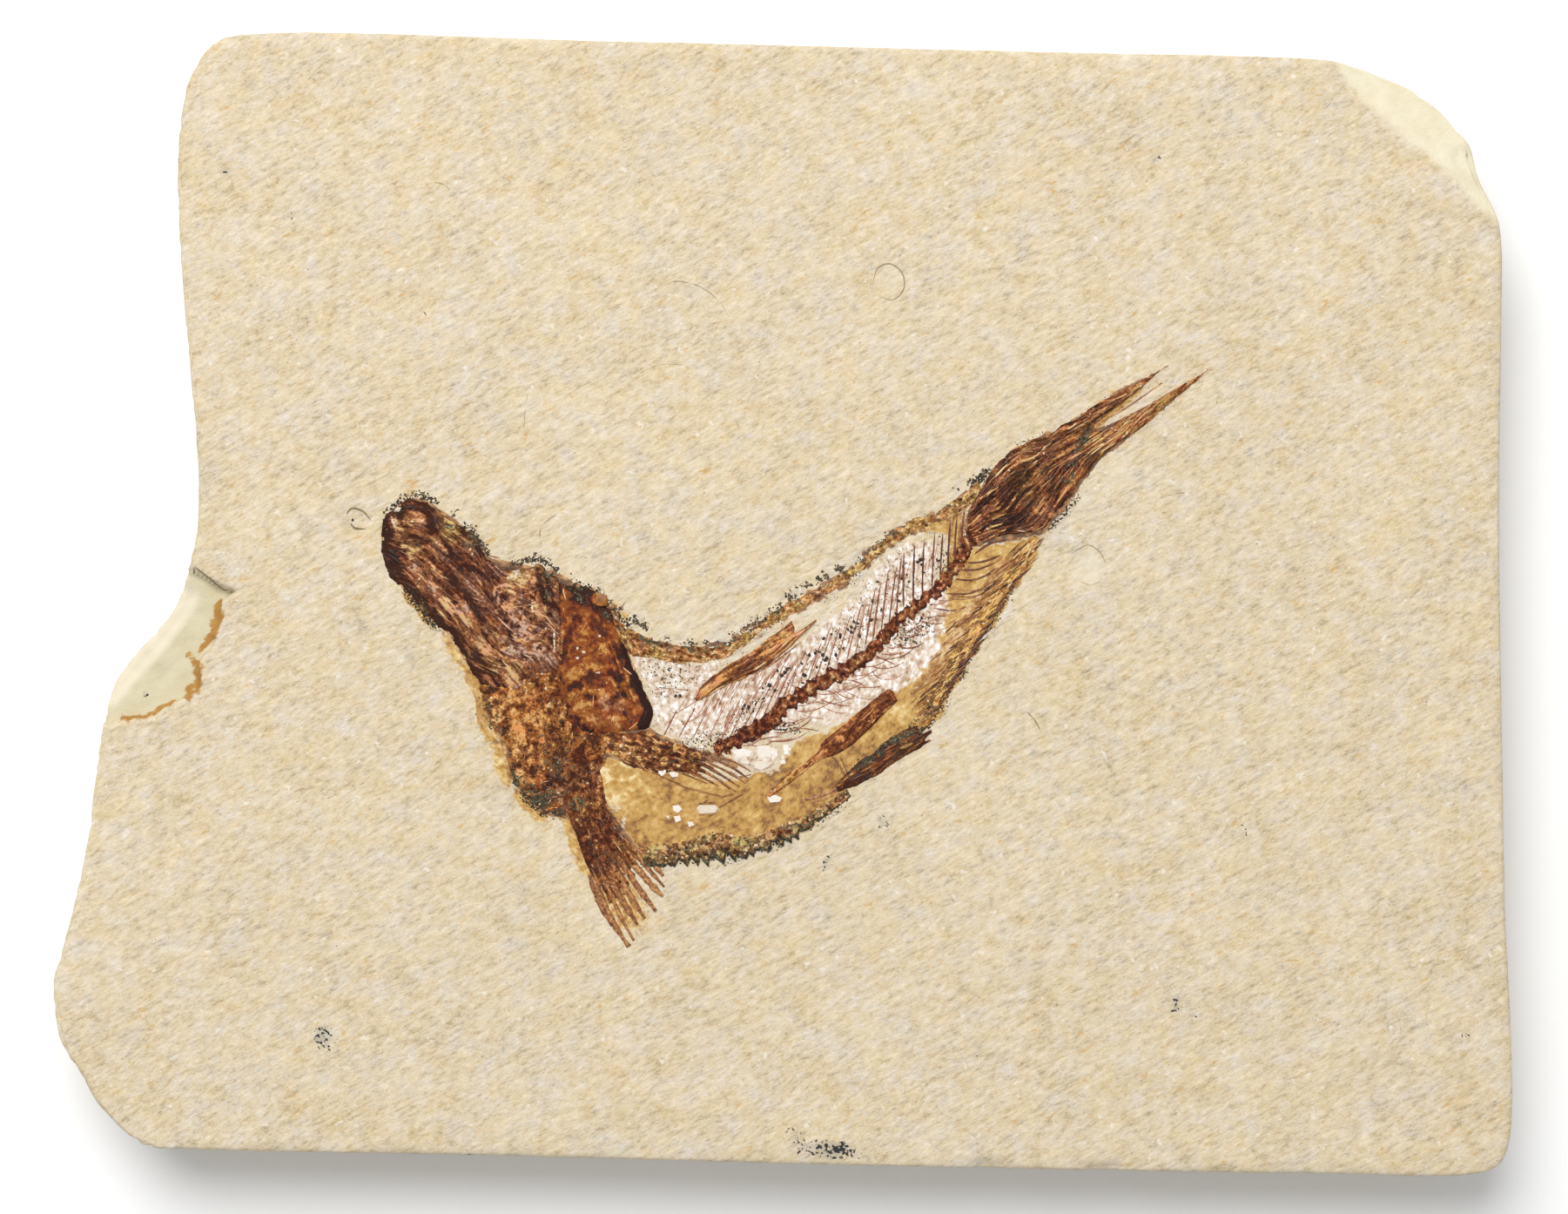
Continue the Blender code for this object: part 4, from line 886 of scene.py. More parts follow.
# The trunk: soft steps of the distance inside each outline, roughened by noise, give the film and the
# belly; strokes, the back's line and streaks along the body give the stain and the soot.
def paintBody(x, y, grain, patch, masks, lift):
    shape = bodyShape
    edge = 0.30 * patch
    gap, _ = lineDistance(x, y, smoothCurve(shape["spineLine"], 60))
    backGap, _ = lineDistance(x, y, smoothCurve(shape["backLine"], 60))
    film = smoothStep(
        -0.35, 0.5, insideDistance(x, y, smoothCurve(shape["filmAbove"], 80, True)) + 1.3 * edge)
    film *= 0.60 + 0.40 * smoothStep(5.0, 2.2, gap)
    lower = smoothStep(
        -0.7, 0.9, insideDistance(x, y, smoothCurve(shape["filmBelow"], 70, True)) + 1.9 * edge)
    flake = smoothStep(-0.05, 0.08, insideDistance(x, y, shape["filmFlake"]) + 0.25 * edge)
    film = np.maximum(np.maximum(film, lower), 0.62 * flake)
    film = np.maximum(film, spotsOver(x, y, shape["filmSpots"], 0.35))
    belly = smoothStep(-0.3, 0.5, insideDistance(x, y, smoothCurve(shape["belly"], 120, True)) + 1.2 * edge)
    belly = np.maximum(belly, smoothStep(-0.4, 0.4, insideDistance(x, y, shape["rearGold"]) + edge))
    gold = spotsOver(x, y, shape["deepGold"], 0.8)
    belly = belly * (0.78 + 0.5 * gold + 0.15 * patch)
    under = smoothStep(1.0, 0.45, backGap) * smoothStep(-0.1, 0.1, y + 100)
    flow = (x * 0.82 + y * 0.57, y * 0.82 - x * 0.57)
    silk = layeredNoise(flow[0] / 2.2, flow[1] / 0.45, 4, 341, 0.6)
    tone = evenShare(0.34 * patch + 0.16 * silk + 0.26 * grain, 0.40) - 0.28 * gold - 0.03
    tone += (0.665 + 0.06 * flake + 0.66 * grain - tone) * 0.66 * np.clip(film, 0, 1)
    folds = strokesOver(x, y, [(line, 0.11, 1.0) for line in shape["folds"]], 1 + 0.5 * patch, 0.7)
    tone += 0.24 * softSpot(x, y, (14.3, -2.4), (7.4, 1.3), 57, 0.7) * (1 - 0.8 * film)
    tone += 0.30 * softSpot(
        x, y, (-14.2, -14.7), (2.3, 2.3), -30, 0.8) + 0.32 * folds * (1 - np.clip(film, 0, 1))
    lift += 0.05 * folds
    stain = 0.85 * under * evenShare(layeredNoise(x / 1.1, y / 0.7, 3, 321), 0.35)
    stain = np.maximum(stain, strokesOver(x, y, shape["stain"], 1.0 + 0.5 * patch, 0.7))
    streaks = layeredNoise((0.78 * x + 0.62 * y) / 2.0, (0.78 * y - 0.62 * x) / 0.24, 3, 331, 0.7)
    rearZone = softSpot(x, y, (15.4, -2.4), (8.4, 1.8), 57, 0.6) * np.clip(3 * belly, 0, 1)
    stain = np.maximum(stain, rearZone * evenShare(streaks - 0.16, 0.3) * 0.8)
    lowZone = softSpot(x, y, (4.4, -15.1), (6.0, 1.0), 32, 0.7)
    stain = np.maximum(stain, 0.5 * lowZone * evenShare(streaks - 0.2, 0.3))
    soot = 0.30 * smoothStep(0.9, 0.3, backGap)
    soot = np.maximum(
        soot,
        0.5 * softStroke(
            x, y, [(19.6, 2.6), (17.6, -0.9), (15.7, -4.1), (13.8, -7.0), (12.0, -10.2)], 0.18, 0.8))
    soot = np.maximum(soot, spotsOver(x, y, shape["soot"], 0.7))
    lift += 0.05 * flake + 0.02 * np.clip(film, 0, 1) * grain
    masks.update(film=film, belly=belly, stain=stain, soot=soot)
    return np.clip(tone, 0, 1)


headShape = {
    "outline": [(-33.0, 5.3), (-32.8, 6.9), (-31.7, 8.2), (-30.3, 8.9), (-28.7, 8.4), (-27.1, 7.3),
        (-25.1, 5.6), (-23.8, 3.9), (-21.0, 3.3), (-18.8, 3.0), (-16.9, 1.9), (-15.3, 1.4), (-13.9, -0.3),
        (-12.9, -2.6), (-12.1, -5.1), (-10.9, -7.6), (-10.6, -9.0), (-10.9, -10.0), (-9.3, -10.9),
        (-7.9, -11.6), (-7.2, -12.3), (-7.5, -13.4), (-9.2, -13.7), (-11.3, -13.7), (-14.2, -12.7),
        (-15.3, -14.4), (-14.2, -16.5), (-12.9, -18.3), (-11.5, -20.3), (-12.2, -21.3), (-13.8, -21.9),
        (-15.1, -22.0), (-16.2, -20.8), (-17.4, -17.9), (-19.8, -17.3), (-21.3, -15.8), (-22.6, -14.2),
        (-23.0, -11.9), (-24.0, -9.9), (-24.8, -8.0), (-24.7, -7.0), (-25.6, -5.6), (-27.4, -2.6),
        (-29.2, -1.0), (-31.0, 1.0), (-32.3, 2.4), (-32.9, 4.7)],
    "ochre": [((-25.4, -9.2), (1.6, 3.6), 5, 1.8), ((-23.3, -13.3), (1.0, 2.4), 12, 0.8),
        ((-16.2, -21.9), (1.0, 5.5), 20, 0.9), ((-29.9, -0.4), (1.5, 2.0), 40, 0.7),
        ((-27.1, -4.0), (1.0, 2.5), 30, 0.6), ((-20.9, -16.5), (2.0, 0.9), -40, 0.8),
        ((-11.7, -25.5), (1.5, 2.6), -30, 0.8), ((-13.3, -0.6), (1.3, 0.7), -30, 0.7),
        ((-14.2, -17.9), (1.2, 1.6), -40, 0.6), ((-3.5, -14.9), (1.5, 1.2), 20, 0.6),
        ((-21.3, 2.8), (2.4, 0.5), 0, 0.5), ((-30.6, 9.2), (1.6, 0.5), 0, 0.4)],
    "soot": [([(-32.4, 7.6), (-31.2, 8.7), (-29.5, 9.0), (-28.4, 8.4)], 0.35, 0.6),
        ([(-26.0, 6.7), (-25.1, 5.6), (-24.2, 4.3)], 0.35, 0.7),
        ([(-22.1, 3.3), (-19.9, 3.7), (-18.5, 2.8)], 0.3, 0.7),
        ([(-16.9, 1.6), (-15.3, 1.0), (-13.8, -0.4), (-12.6, -2.0)], 0.4, 0.65),
        ([(-30.9, 0.9), (-29.6, -0.7), (-28.4, -2.0)], 0.35, 0.7),
        ([(-24.2, -7.4), (-24.1, -8.9), (-23.6, -9.9)], 0.2, 0.5),
        ([(-21.3, -15.6), (-19.8, -16.9), (-18.1, -17.2)], 0.4, 0.7),
        ([(-11.7, -1.0), (-10.8, -1.6)], 0.5, 0.6)],
    "square": [(-15.5, 1.0), (-14.4, 0.8), (-14.3, -0.3), (-15.1, -0.2)],
}


# the stained bed that shows between the head's bones, with its dark and ochre fringes
def paintHead(x, y, grain, patch, masks, lift):
    inside = insideDistance(x, y, headShape["outline"])
    bed = smoothStep(0.0, 0.26, inside + 0.14 * patch + 0.10 * grain)
    around = smoothStep(-1.3, -0.3, inside + 0.4 * patch + 0.3 * grain)
    fringe = around * (1 - bed)
    ochreSide = spotsOver(x, y, headShape["ochre"], 0.8)
    masks["belly"] += around * ochreSide * 1.1
    masks["belly"] = np.maximum(masks["belly"], 0.6 * softSpot(x, y, (-13.1, -24.5), (2.0, 3.4), 27, 0.6))
    masks["stain"] += np.maximum(bed * 1.1, fringe * ochreSide * 0.55 * evenShare(grain, 0.4))
    masks["soot"] += np.maximum(0.05 * fringe, strokesOver(x, y, headShape["soot"], 1 + 0.4 * patch, 0.9))
    lift += 0.05 * bed
    square = smoothStep(-0.04, 0.10, insideDistance(x, y, headShape["square"]))
    masks["belly"] = np.maximum(masks["belly"], square)
    masks["stain"] *= 1 - square
    masks["soot"] *= 1 - square
    tone = evenShare(0.4 * patch + 0.8 * grain, 0.42)
    return np.clip(tone - 0.5 * smoothStep(0.15, 0.7, inside) - 0.35 * square, -0.3, 1)


tailBed = {
    "outline": [(14.8, 6.4), (15.3, 7.8), (16.0, 9.2), (16.9, 10.7), (18.7, 12.7), (20.5, 13.7),
        (22.1, 14.2), (24.4, 15.6), (27.6, 17.7), (31.6, 19.6), (28.7, 17.1), (25.7, 14.6), (28.7, 15.4),
        (31.9, 17.4), (35.3, 19.4), (31.9, 16.4), (28.7, 13.7), (26.6, 12.1), (25.1, 10.4), (22.8, 7.2),
        (21.3, 5.6), (18.7, 5.1), (15.7, 4.6)],
    "web": [(23.3, 13.2), (25.1, 15.2), (28.0, 17.1), (30.5, 18.3), (28.7, 16.6), (26.0, 14.4),
        (24.4, 12.8)],
    "soot": [([(15.0, 9.2), (15.8, 10.1), (16.8, 11.0)], 0.4, 0.85),
        ([(23.6, 13.2), (24.6, 14.0)], 0.7, 0.9), ([(24.3, 8.7), (23.1, 7.3), (22.0, 6.3)], 0.26, 0.6),
        ([(18.7, 13.0), (21.6, 14.0)], 0.2, 0.3)],
}


# The tail's bed: a soft step of the distance inside its outline gives the stain, a fringe fades out
# beyond it, and the web between the rays is ochre.
def paintTailBed(x, y, grain, patch, masks, lift):
    inside = insideDistance(x, y, tailBed["outline"])
    bed = smoothStep(0.0, 0.22, inside + 0.12 * patch + 0.10 * grain)
    fringe = smoothStep(-0.8, 0.0, inside + 0.4 * patch + 0.2 * grain) * (1 - bed)
    web = smoothStep(-0.3, 0.5, insideDistance(x, y, tailBed["web"]))
    masks["belly"] += np.maximum(0.30 * fringe, 0.9 * web)
    masks["stain"] += np.maximum(bed * 1.1, 0.35 * fringe * evenShare(grain, 0.4))
    masks["soot"] += np.maximum(0.15 * fringe, strokesOver(x, y, tailBed["soot"], 1 + 0.4 * patch, 0.9))
    lift += 0.05 * bed
    return np.clip(evenShare(0.4 * patch + 0.8 * grain, 0.42) - 0.25 * bed, 0, 1)


boneLook = {
    "amber": [(0.12, tint(58, 24, 14)), (0.34, tint(104, 46, 20)), (0.52, tint(142, 72, 27)),
        (0.68, tint(166, 98, 36)), (0.88, tint(204, 154, 84))],
    "crust": [(0.35, tint(38, 32, 22)), (0.56, tint(86, 78, 56)), (0.72, tint(146, 138, 112))],
    # whitish bone, and also painted glints and highlights
    "pale": [(0.3, tint(205, 180, 150)), (0.7, tint(240, 228, 212))],
    "warmth": [(0.0, tint(240, 240, 190)), (0.26, tint(250, 242, 214)), (0.48, tint(250, 238, 222)),
        (0.7, tint(252, 218, 184)), (0.88, tint(248, 208, 204)), (1.0, tint(228, 216, 232))],
    "toneStops": (0.03, 0.13, 0.3, 0.5, 0.7, 0.87, 0.975),
}

bonePalettes = {
    "skull": [(62, 36, 22), (88, 54, 36), (110, 72, 48), (131, 91, 63), (153, 115, 82), (181, 146, 108),
        (218, 190, 152)],
    "gill": [(46, 24, 16), (102, 50, 26), (120, 63, 29), (133, 74, 33), (146, 87, 42), (164, 107, 56),
        (200, 153, 104)],
    "throat": [(78, 43, 21), (103, 60, 33), (125, 79, 42), (146, 97, 52), (167, 117, 66), (192, 144, 86),
        (224, 182, 125)],
    "rays": [(68, 37, 19), (88, 50, 30), (102, 62, 38), (120, 78, 48), (146, 101, 62), (178, 132, 84),
        (218, 177, 121)],
    "tail": [(52, 29, 18), (76, 44, 26), (95, 58, 36), (115, 74, 46), (137, 92, 57), (165, 118, 76),
        (206, 163, 114)],
    "golden": [(84, 44, 16), (118, 70, 26), (146, 94, 38), (168, 115, 50), (190, 139, 68), (212, 167, 96),
        (232, 196, 132)],
    "crusty": [(40, 31, 19), (66, 52, 33), (92, 76, 49), (116, 97, 65), (140, 120, 83), (170, 149, 107),
        (205, 186, 144)],
    "ridge": [(92, 58, 26), (122, 85, 46), (146, 107, 62), (166, 128, 81), (186, 148, 99), (209, 178, 131),
        (232, 208, 164)],
    "spine": [(68, 34, 22), (92, 50, 31), (113, 65, 41), (132, 82, 53), (154, 104, 71), (182, 136, 98),
        (218, 184, 146)],
}


# Spreads a palette's colours over the range of tones.
def toneStops(palette):
    return [(stop, tint(*colour)) for stop, colour in zip(boneLook["toneStops"], palette)]


# A bone's colour follows its painted tone, swayed by streaks and grain, and its warmth; amber, pale and
# crusty places are laid over it by their masks.
# The pale mask holds pale bone and also painted glints and highlights.
def boneFinish(
    name, palette, across=4.0, along=0.7, mottle=2.4, streakShare=0.7, grainShare=0.9, gloss=0.5):
    material, bench, shader, place = startMaterial(name)
    flat = bench.add("ShaderNodeUVMap", {"uv_map": "alongAcross"}).outputs["UV"]
    fibre = useGroup(bench, streakGroup, Flat=flat, Place=place, Across=across, Along=along, Mottle=mottle)
    streak, grain = fibre["Streak"], fibre["Grain"]
    tone = bench.sway(bench.mask("tone"), streak, streakShare * 2)
    tone = bench.sway(tone, grain, grainShare * 2, True)
    colour = bench.ramp(tone, toneStops(bonePalettes[palette]))
    colour = bench.mix(1.0, colour, bench.ramp(bench.mask("warmth"), boneLook["warmth"]), "MULTIPLY")
    colour = bench.mix(
        bench.mask("amber"), colour, bench.ramp(bench.sway(grain, tone, 0.5), boneLook["amber"]))
    speckle = bench.noise(place, 4.6, 3.0, 0.6)
    # pale bone, and painted glints and highlights, from the pale mask
    paleAndGlintHere = bench.between(
        bench.math("ADD", bench.mask("pale"), bench.math("SUBTRACT", speckle, 0.5)), 0.45, 0.7)
    colour = bench.mix(paleAndGlintHere, colour, bench.ramp(grain, boneLook["pale"]))
    crustHere = bench.between(bench.sway(bench.mask("crust"), speckle, 1.6), 0.42, 0.58)
    colour = bench.mix(crustHere, colour, bench.ramp(speckle, boneLook["crust"]))
    rough = bench.math(
        "ADD", bench.math("MULTIPLY", crustHere, 0.3), bench.math("MULTIPLY_ADD", grain, 0.3))
    rough = bench.math("ADD", rough, gloss - 0.12)
    height = bench.math("ADD", bench.math("MULTIPLY", streak, 1.0), bench.math("MULTIPLY", grain, 1.2))
    bench.finish(shader, colour, height, 0.6, 0.0001, rough, 0.35)
    return material


surfaces = {}       # each plate's finished grid, for the fibres and crumbs that lie on it
highestBone = 0.92  # over the face, so that every bone stays in the model's box


# A bone plate is a four-sided patch. Its height over the face rises from the rim as
# crown * (1 - exp(-distance / softness)), with the distance made ragged by noise, so that the
# plate's edge breaks through the stone along an uneven line. Streak ridges run along it.
def bonePlate(shape, material):
    rows, columns = shape["grid"]
    u, v = np.linspace(0.0, 1.0, rows), np.linspace(0.0, 1.0, columns)
    place = patchBetween(*shape["sides"], u, v)
    x, y = place[..., 0], place[..., 1]
    along, across, rim = gridTravel(place)
    ragged = layeredNoise(x / 1.3, y / 1.3, 5, shape["seed"], 0.65)
    rimHere = rim - shape["ragged"] * (0.5 + 0.6 * ragged)
    bend = 0.35 * layeredNoise(along / 4.0, across / 2.5, 2, shape["seed"] + 3)
    flow = across - across[:, -1:] / 2 + bend
    streak = layeredNoise(
        along * shape["streakAlong"], flow * shape["streakAcross"], 4, shape["seed"] + 5, 0.6)
    blotch = layeredNoise(x / shape["blotch"], y / shape["blotch"], 4, shape["seed"] + 9, 0.6)
    part = SimpleNamespace(
        x=x, y=y, u=u[:, None] + 0 * x, v=v[None, :] + 0 * x, along=along, across=across, rim=rimHere,
        tone=evenShare(shape["streakPart"] * streak + (1 - shape["streakPart"]) * blotch, 0.42),
        lift=np.where(
            rimHere > 0, shape["crown"] * (1 - np.exp(-rimHere / shape["softEdge"])), 1.3 * rimHere),
        relief=shape["ridge"] * streak + shape["lump"] * blotch, amber=np.zeros_like(x),
        crust=np.zeros_like(x), pale=np.zeros_like(x),
        warmth=0.5 + 0.55 * layeredNoise(x / 1.9, y / 1.9, 4, shape["seed"] + 15, 0.6))
    if "flake" in shape:
        long, wide, strength = shape["flake"]
        shade, crack = flakes(along / long + 0.5 * bend, flow / wide + 0.4 * blotch, shape["seed"])
        crack = 1 - smoothStep(0.02, 0.16, crack)
        part.tone += strength * (shade - 0.5) - 0.5 * strength * crack
        part.relief += 0.10 * strength * (shade - 0.5) - 0.10 * strength * crack
        part.warmth += 0.8 * strength * (1 - shade - 0.5)
    shape["paint"](part)
    z = faceZ + 0.5 * faceWaves(x, y) + part.lift + part.relief * smoothStep(-0.05, 0.3, part.rim)
    z = np.minimum(z, faceZ + highestBone)
    masks = {key: np.clip(getattr(part, key), 0.0, 1.0) for key in ("amber", "crust", "pale", "warmth")}
    dark = shape["rimDark"] * (1 - smoothStep(0.0, 0.35, rimHere))
    masks["tone"] = np.clip(part.tone - dark + shape.get("toneShift", 0.0), -0.6, 1.5)
    piece = gridPlate(shape["name"], np.dstack([x, y, z]), faceZ - 0.28, material, masks)
    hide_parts(shape["node"])
    surfaces[shape["name"]] = np.dstack([x, y, z, masks["tone"], masks["amber"], masks["warmth"]])
    print(shape["name"], rows * columns, "points")


# Adds soft spots, each a (middle, half widths, turn, amount), to one of a part's masks.
def dab(part, key, spots, softness=0.75):
    for middle, halfWidths, turn, amount in spots:
        added = amount * softSpot(part.x, part.y, middle, halfWidths, turn, softness)
        setattr(part, key, getattr(part, key) + added)


# Raises a part's crust to at least the given values.
def crustOver(part, values):
    part.crust = np.maximum(part.crust, values)


# Adds soft uneven strokes, each a (line, half width, amount), to the tone, and raises the pale ones.
def streakOver(part, lines, seed=77):
    uneven = 1 + 0.6 * layeredNoise(part.x / 0.5, part.y / 0.5, 2, seed)
    for line, halfWidth, amount in lines:
        stroke = softStroke(part.x, part.y, line, halfWidth * uneven, 0.6)
        part.tone = part.tone + amount * stroke
        part.relief = part.relief + 0.06 * amount * stroke


# the skull: long streaks from the snout, a mottled pale cheek, dark rims and sooty tufts
def paintSkull(part):
    x, y = part.x, part.y
    cheek = softSpot(x, y, (-20.9, -1.3), (2.9, 3.9), 15, 0.6)
    mottle = layeredNoise(x / 0.5, y / 0.5, 4, 141, 0.7)
    shade, crack = flakes(x / 0.8 + 0.3 * mottle, y / 0.8, 145)
    part.tone += cheek * (0.7 * evenShare(mottle, 0.4) + 0.7 * shade - 0.46 - 0.7 * (part.tone - 0.5))
    part.tone -= 0.3 * cheek * (1 - smoothStep(0.02, 0.14, crack))
    part.relief += cheek * (0.05 * mottle + 0.05 * shade)
    part.warmth += cheek * (0.7 * evenShare(layeredNoise(x / 0.8, y / 0.8, 3, 143), 0.35) - 0.1) + 0.12
    part.tone += (0.46 - part.tone) * 0.3 * softSpot(x, y, (-26.7, 2.1), (5.4, 2.6), -45, 0.6)
    rimHere = 1 - smoothStep(0.15, 0.95, part.rim)
    lower = np.maximum(smoothStep(0.6, 0.95, part.v), softSpot(x, y, (-32.6, 5.9), (1.4, 2.6), 80, 0.6))
    part.tone -= 0.55 * rimHere * lower
    streakOver(part, skullLines)
    dab(
        part, "tone",
        [
            ((-32.6, 5.1), (0.5, 2.0), 8, -0.35), ((-30.5, 8.2), (0.7, 0.45), 20, -0.45),
            ((-28.8, 6.9), (0.7, 1.1), 30, -0.5), ((-29.6, 6.9), (0.45, 0.4), 0, 0.55),
            ((-26.8, 5.6), (1.5, 0.8), -30, 0.10), ((-28.0, 7.4), (0.9, 0.8), -45, 0.18),
            ((-26.9, 2.4), (2.4, 2.0), -45, -0.14), ((-25.6, 0.6), (2.4, 0.45), -40, -0.22),
            ((-21.6, 1.9), (1.4, 0.9), 0, 0.34), ((-22.9, 0.7), (0.65, 0.5), 0, -0.2),
            ((-26.6, -3.9), (0.8, 2.6), 25, -0.35), ((-22.1, -6.2), (1.6, 1.0), 10, 0.12)])
    dab(
        part, "warmth",
        [
            ((-32.6, 5.1), (0.7, 2.2), 8, 0.35), ((-28.8, 6.9), (0.8, 1.2), 30, 0.35),
            ((-26.8, 5.6), (1.8, 1.1), -30, -0.75), ((-26.9, 2.8), (2.8, 1.8), -45, 0.22),
            ((-25.6, 0.6), (2.8, 0.7), -40, 0.5), ((-25.3, 3.1), (2.6, 1.3), -40, 0.3),
            ((-22.9, 0.7), (0.7, 0.5), 0, 0.2), ((-21.6, 1.9), (1.5, 0.9), 0, -0.15),
            ((-21.3, -2.9), (2.2, 2.2), 0, 0.22), ((-28.0, 7.4), (1.0, 0.8), -45, -0.2)])
    part.amber += 0.6 * softSpot(x, y, (-20.7, 1.0), (0.5, 0.55), 10, 0.6)
    part.amber += 0.40 * softSpot(x, y, (-26.7, 2.4), (4.2, 1.8), -45, 0.7) * evenShare(
        layeredNoise(x / 0.9, y / 0.9, 3, 19), 0.4)
    for spot, size in (
        ((-30.6, 9.0), (0.5, 0.3)), ((-29.2, 8.7), (0.4, 0.3)), ((-26.8, 7.4), (0.4, 0.5)),
        ((-25.4, 5.9), (0.4, 0.7)), ((-27.1, 6.4), (1.3, 0.25)), ((-25.6, 4.9), (0.7, 0.3)),
        ((-21.1, 3.4), (0.9, 0.3)), ((-19.3, 2.4), (0.5, 0.5)), ((-19.2, 0.9), (0.3, 0.9)),
        ((-29.6, -0.6), (0.5, 1.0))):
        crustOver(part, 0.62 * softSpot(x, y, spot, size, 0, 0.9))
    # pale whitish bone spots and cream lines; the white spot on the snout's upper edge and the thin white
    # line along the gill cover's left edge are painted highlights
    dab(
        part, "pale",
        [
            ((-31.6, 7.8), (0.4, 0.25), 20, 0.75), ((-31.9, 6.7), (0.14, 0.9), 20, 0.7),
            ((-29.6, 6.9), (0.4, 0.35), 0, 0.5), ((-21.8, 2.6), (0.5, 0.6), 0, 0.6),
            ((-20.5, -0.1), (0.12, 0.5), 0, 0.8), ((-18.7, -2.9), (0.10, 1.6), 0, 0.75),
            ((-19.3, -2.0), (0.3, 0.7), 20, 0.5), ((-22.1, -0.9), (0.6, 0.4), 0, 0.4),
            ((-22.6, 2.1), (0.5, 0.3), 20, 0.5)],
        0.8)


skullLines = [([(-30.1, 8.5), (-29.4, 7.9), (-28.9, 7.0), (-28.6, 6.2)], 0.3, -0.65),
    ([(-31.2, 7.9), (-31.4, 6.9), (-30.5, 5.7), (-29.2, 5.0)], 0.22, -0.5),
    ([(-32.5, 6.7), (-32.4, 4.7), (-31.5, 3.0)], 0.35, -0.35),
    ([(-32.2, 3.9), (-30.6, 1.6), (-28.5, -0.9), (-26.4, -3.6)], 0.3, -0.4),
    ([(-30.8, 7.9), (-30.2, 7.3), (-29.4, 7.4)], 0.4, 0.25),
    ([(-28.5, 6.4), (-26.9, 3.9), (-24.2, 2.3)], 0.22, -0.4),
    ([(-30.6, 4.7), (-28.5, 3.0), (-26.4, 0.3), (-23.5, -3.3)], 0.16, 0.3),
    ([(-31.7, 6.0), (-30.1, 3.1), (-27.8, 0.3)], 0.18, 0.35),
    ([(-28.1, 0.4), (-27.2, -0.6), (-26.4, -2.0)], 0.12, 0.7),
    ([(-27.6, 0.6), (-26.8, -0.4), (-25.9, -1.7)], 0.1, 0.6),
    ([(-28.5, 0.1), (-27.6, -1.3), (-26.8, -2.7)], 0.12, 0.5),
    ([(-25.9, -2.4), (-25.1, -3.3), (-24.2, -4.1)], 0.16, 0.6),
    ([(-25.6, 0.3), (-24.2, -1.9), (-22.8, -4.9)], 0.2, -0.35),
    ([(-27.1, 2.4), (-25.3, -0.4), (-24.2, -2.9)], 0.18, -0.3),
    ([(-25.6, 3.1), (-23.5, 2.3), (-22.1, 1.6)], 0.3, -0.3), ([(-24.2, -6.2), (-22.1, -7.6)], 0.3, -0.3),
    ([(-23.3, 0.0), (-23.3, 0.9), (-22.6, 1.2), (-21.9, 0.9)], 0.12, 0.55),
    ([(-22.8, 1.0), (-22.9, -0.1), (-22.6, -1.3)], 0.2, -0.5),
    ([(-20.1, 2.8), (-19.6, 1.0), (-19.1, -0.7)], 0.2, -0.65),
    ([(-19.5, 2.8), (-19.0, 1.0), (-18.6, -0.4)], 0.16, -0.6),
    ([(-24.2, 4.2), (-23.1, 3.4), (-21.9, 3.0)], 0.25, -0.4),
    ([(-26.4, 6.7), (-25.3, 5.4), (-24.2, 3.9)], 0.3, -0.3),
    ([(-28.6, 8.4), (-27.6, 7.6), (-26.9, 6.7)], 0.3, 0.25),
    ([(-24.2, -3.6), (-22.1, -4.0), (-19.9, -3.9)], 0.2, 0.2),
    ([(-25.3, -4.0), (-23.8, -5.8), (-22.8, -7.2)], 0.2, -0.35),
    ([(-23.5, -3.6), (-22.1, -5.8), (-21.3, -6.9)], 0.14, 0.4),
    ([(-21.3, -1.9), (-20.5, -2.9), (-20.1, -4.1)], 0.12, 0.35),
    ([(-22.4, -2.2), (-21.9, -3.4), (-21.0, -4.4)], 0.16, -0.3),
    ([(-27.6, 0.4), (-27.4, -0.1), (-27.0, -0.6)], 0.14, 0.8),
    ([(-26.7, -0.1), (-26.2, -0.9), (-25.7, -1.8)], 0.11, 0.8),
    ([(-28.9, 2.2), (-28.6, 1.6), (-28.5, 0.9)], 0.16, 0.5),
    ([(-26.4, 3.5), (-25.3, 3.3), (-24.5, 2.7)], 0.12, 0.5),
    ([(-23.6, 0.7), (-23.5, 1.4), (-22.8, 1.6), (-22.1, 1.4)], 0.1, 0.7),
    ([(-22.8, 0.1), (-22.8, -0.7)], 0.1, 0.6), ([(-20.0, 1.6), (-19.5, 0.4), (-18.5, -0.4)], 0.18, -0.6),
    ([(-26.4, 2.3), (-25.1, 1.0), (-23.3, -0.9)], 0.14, 0.28), ([(-25.1, 1.9), (-23.8, 0.3)], 0.1, -0.45),
    ([(-24.2, -0.4), (-22.4, -1.6), (-21.3, -2.0)], 0.12, -0.35),
    ([(-30.5, 3.9), (-29.4, 3.9), (-28.5, 3.0)], 0.16, 0.35),
    ([(-31.2, 4.9), (-30.2, 4.4), (-29.4, 4.7)], 0.14, 0.3)]


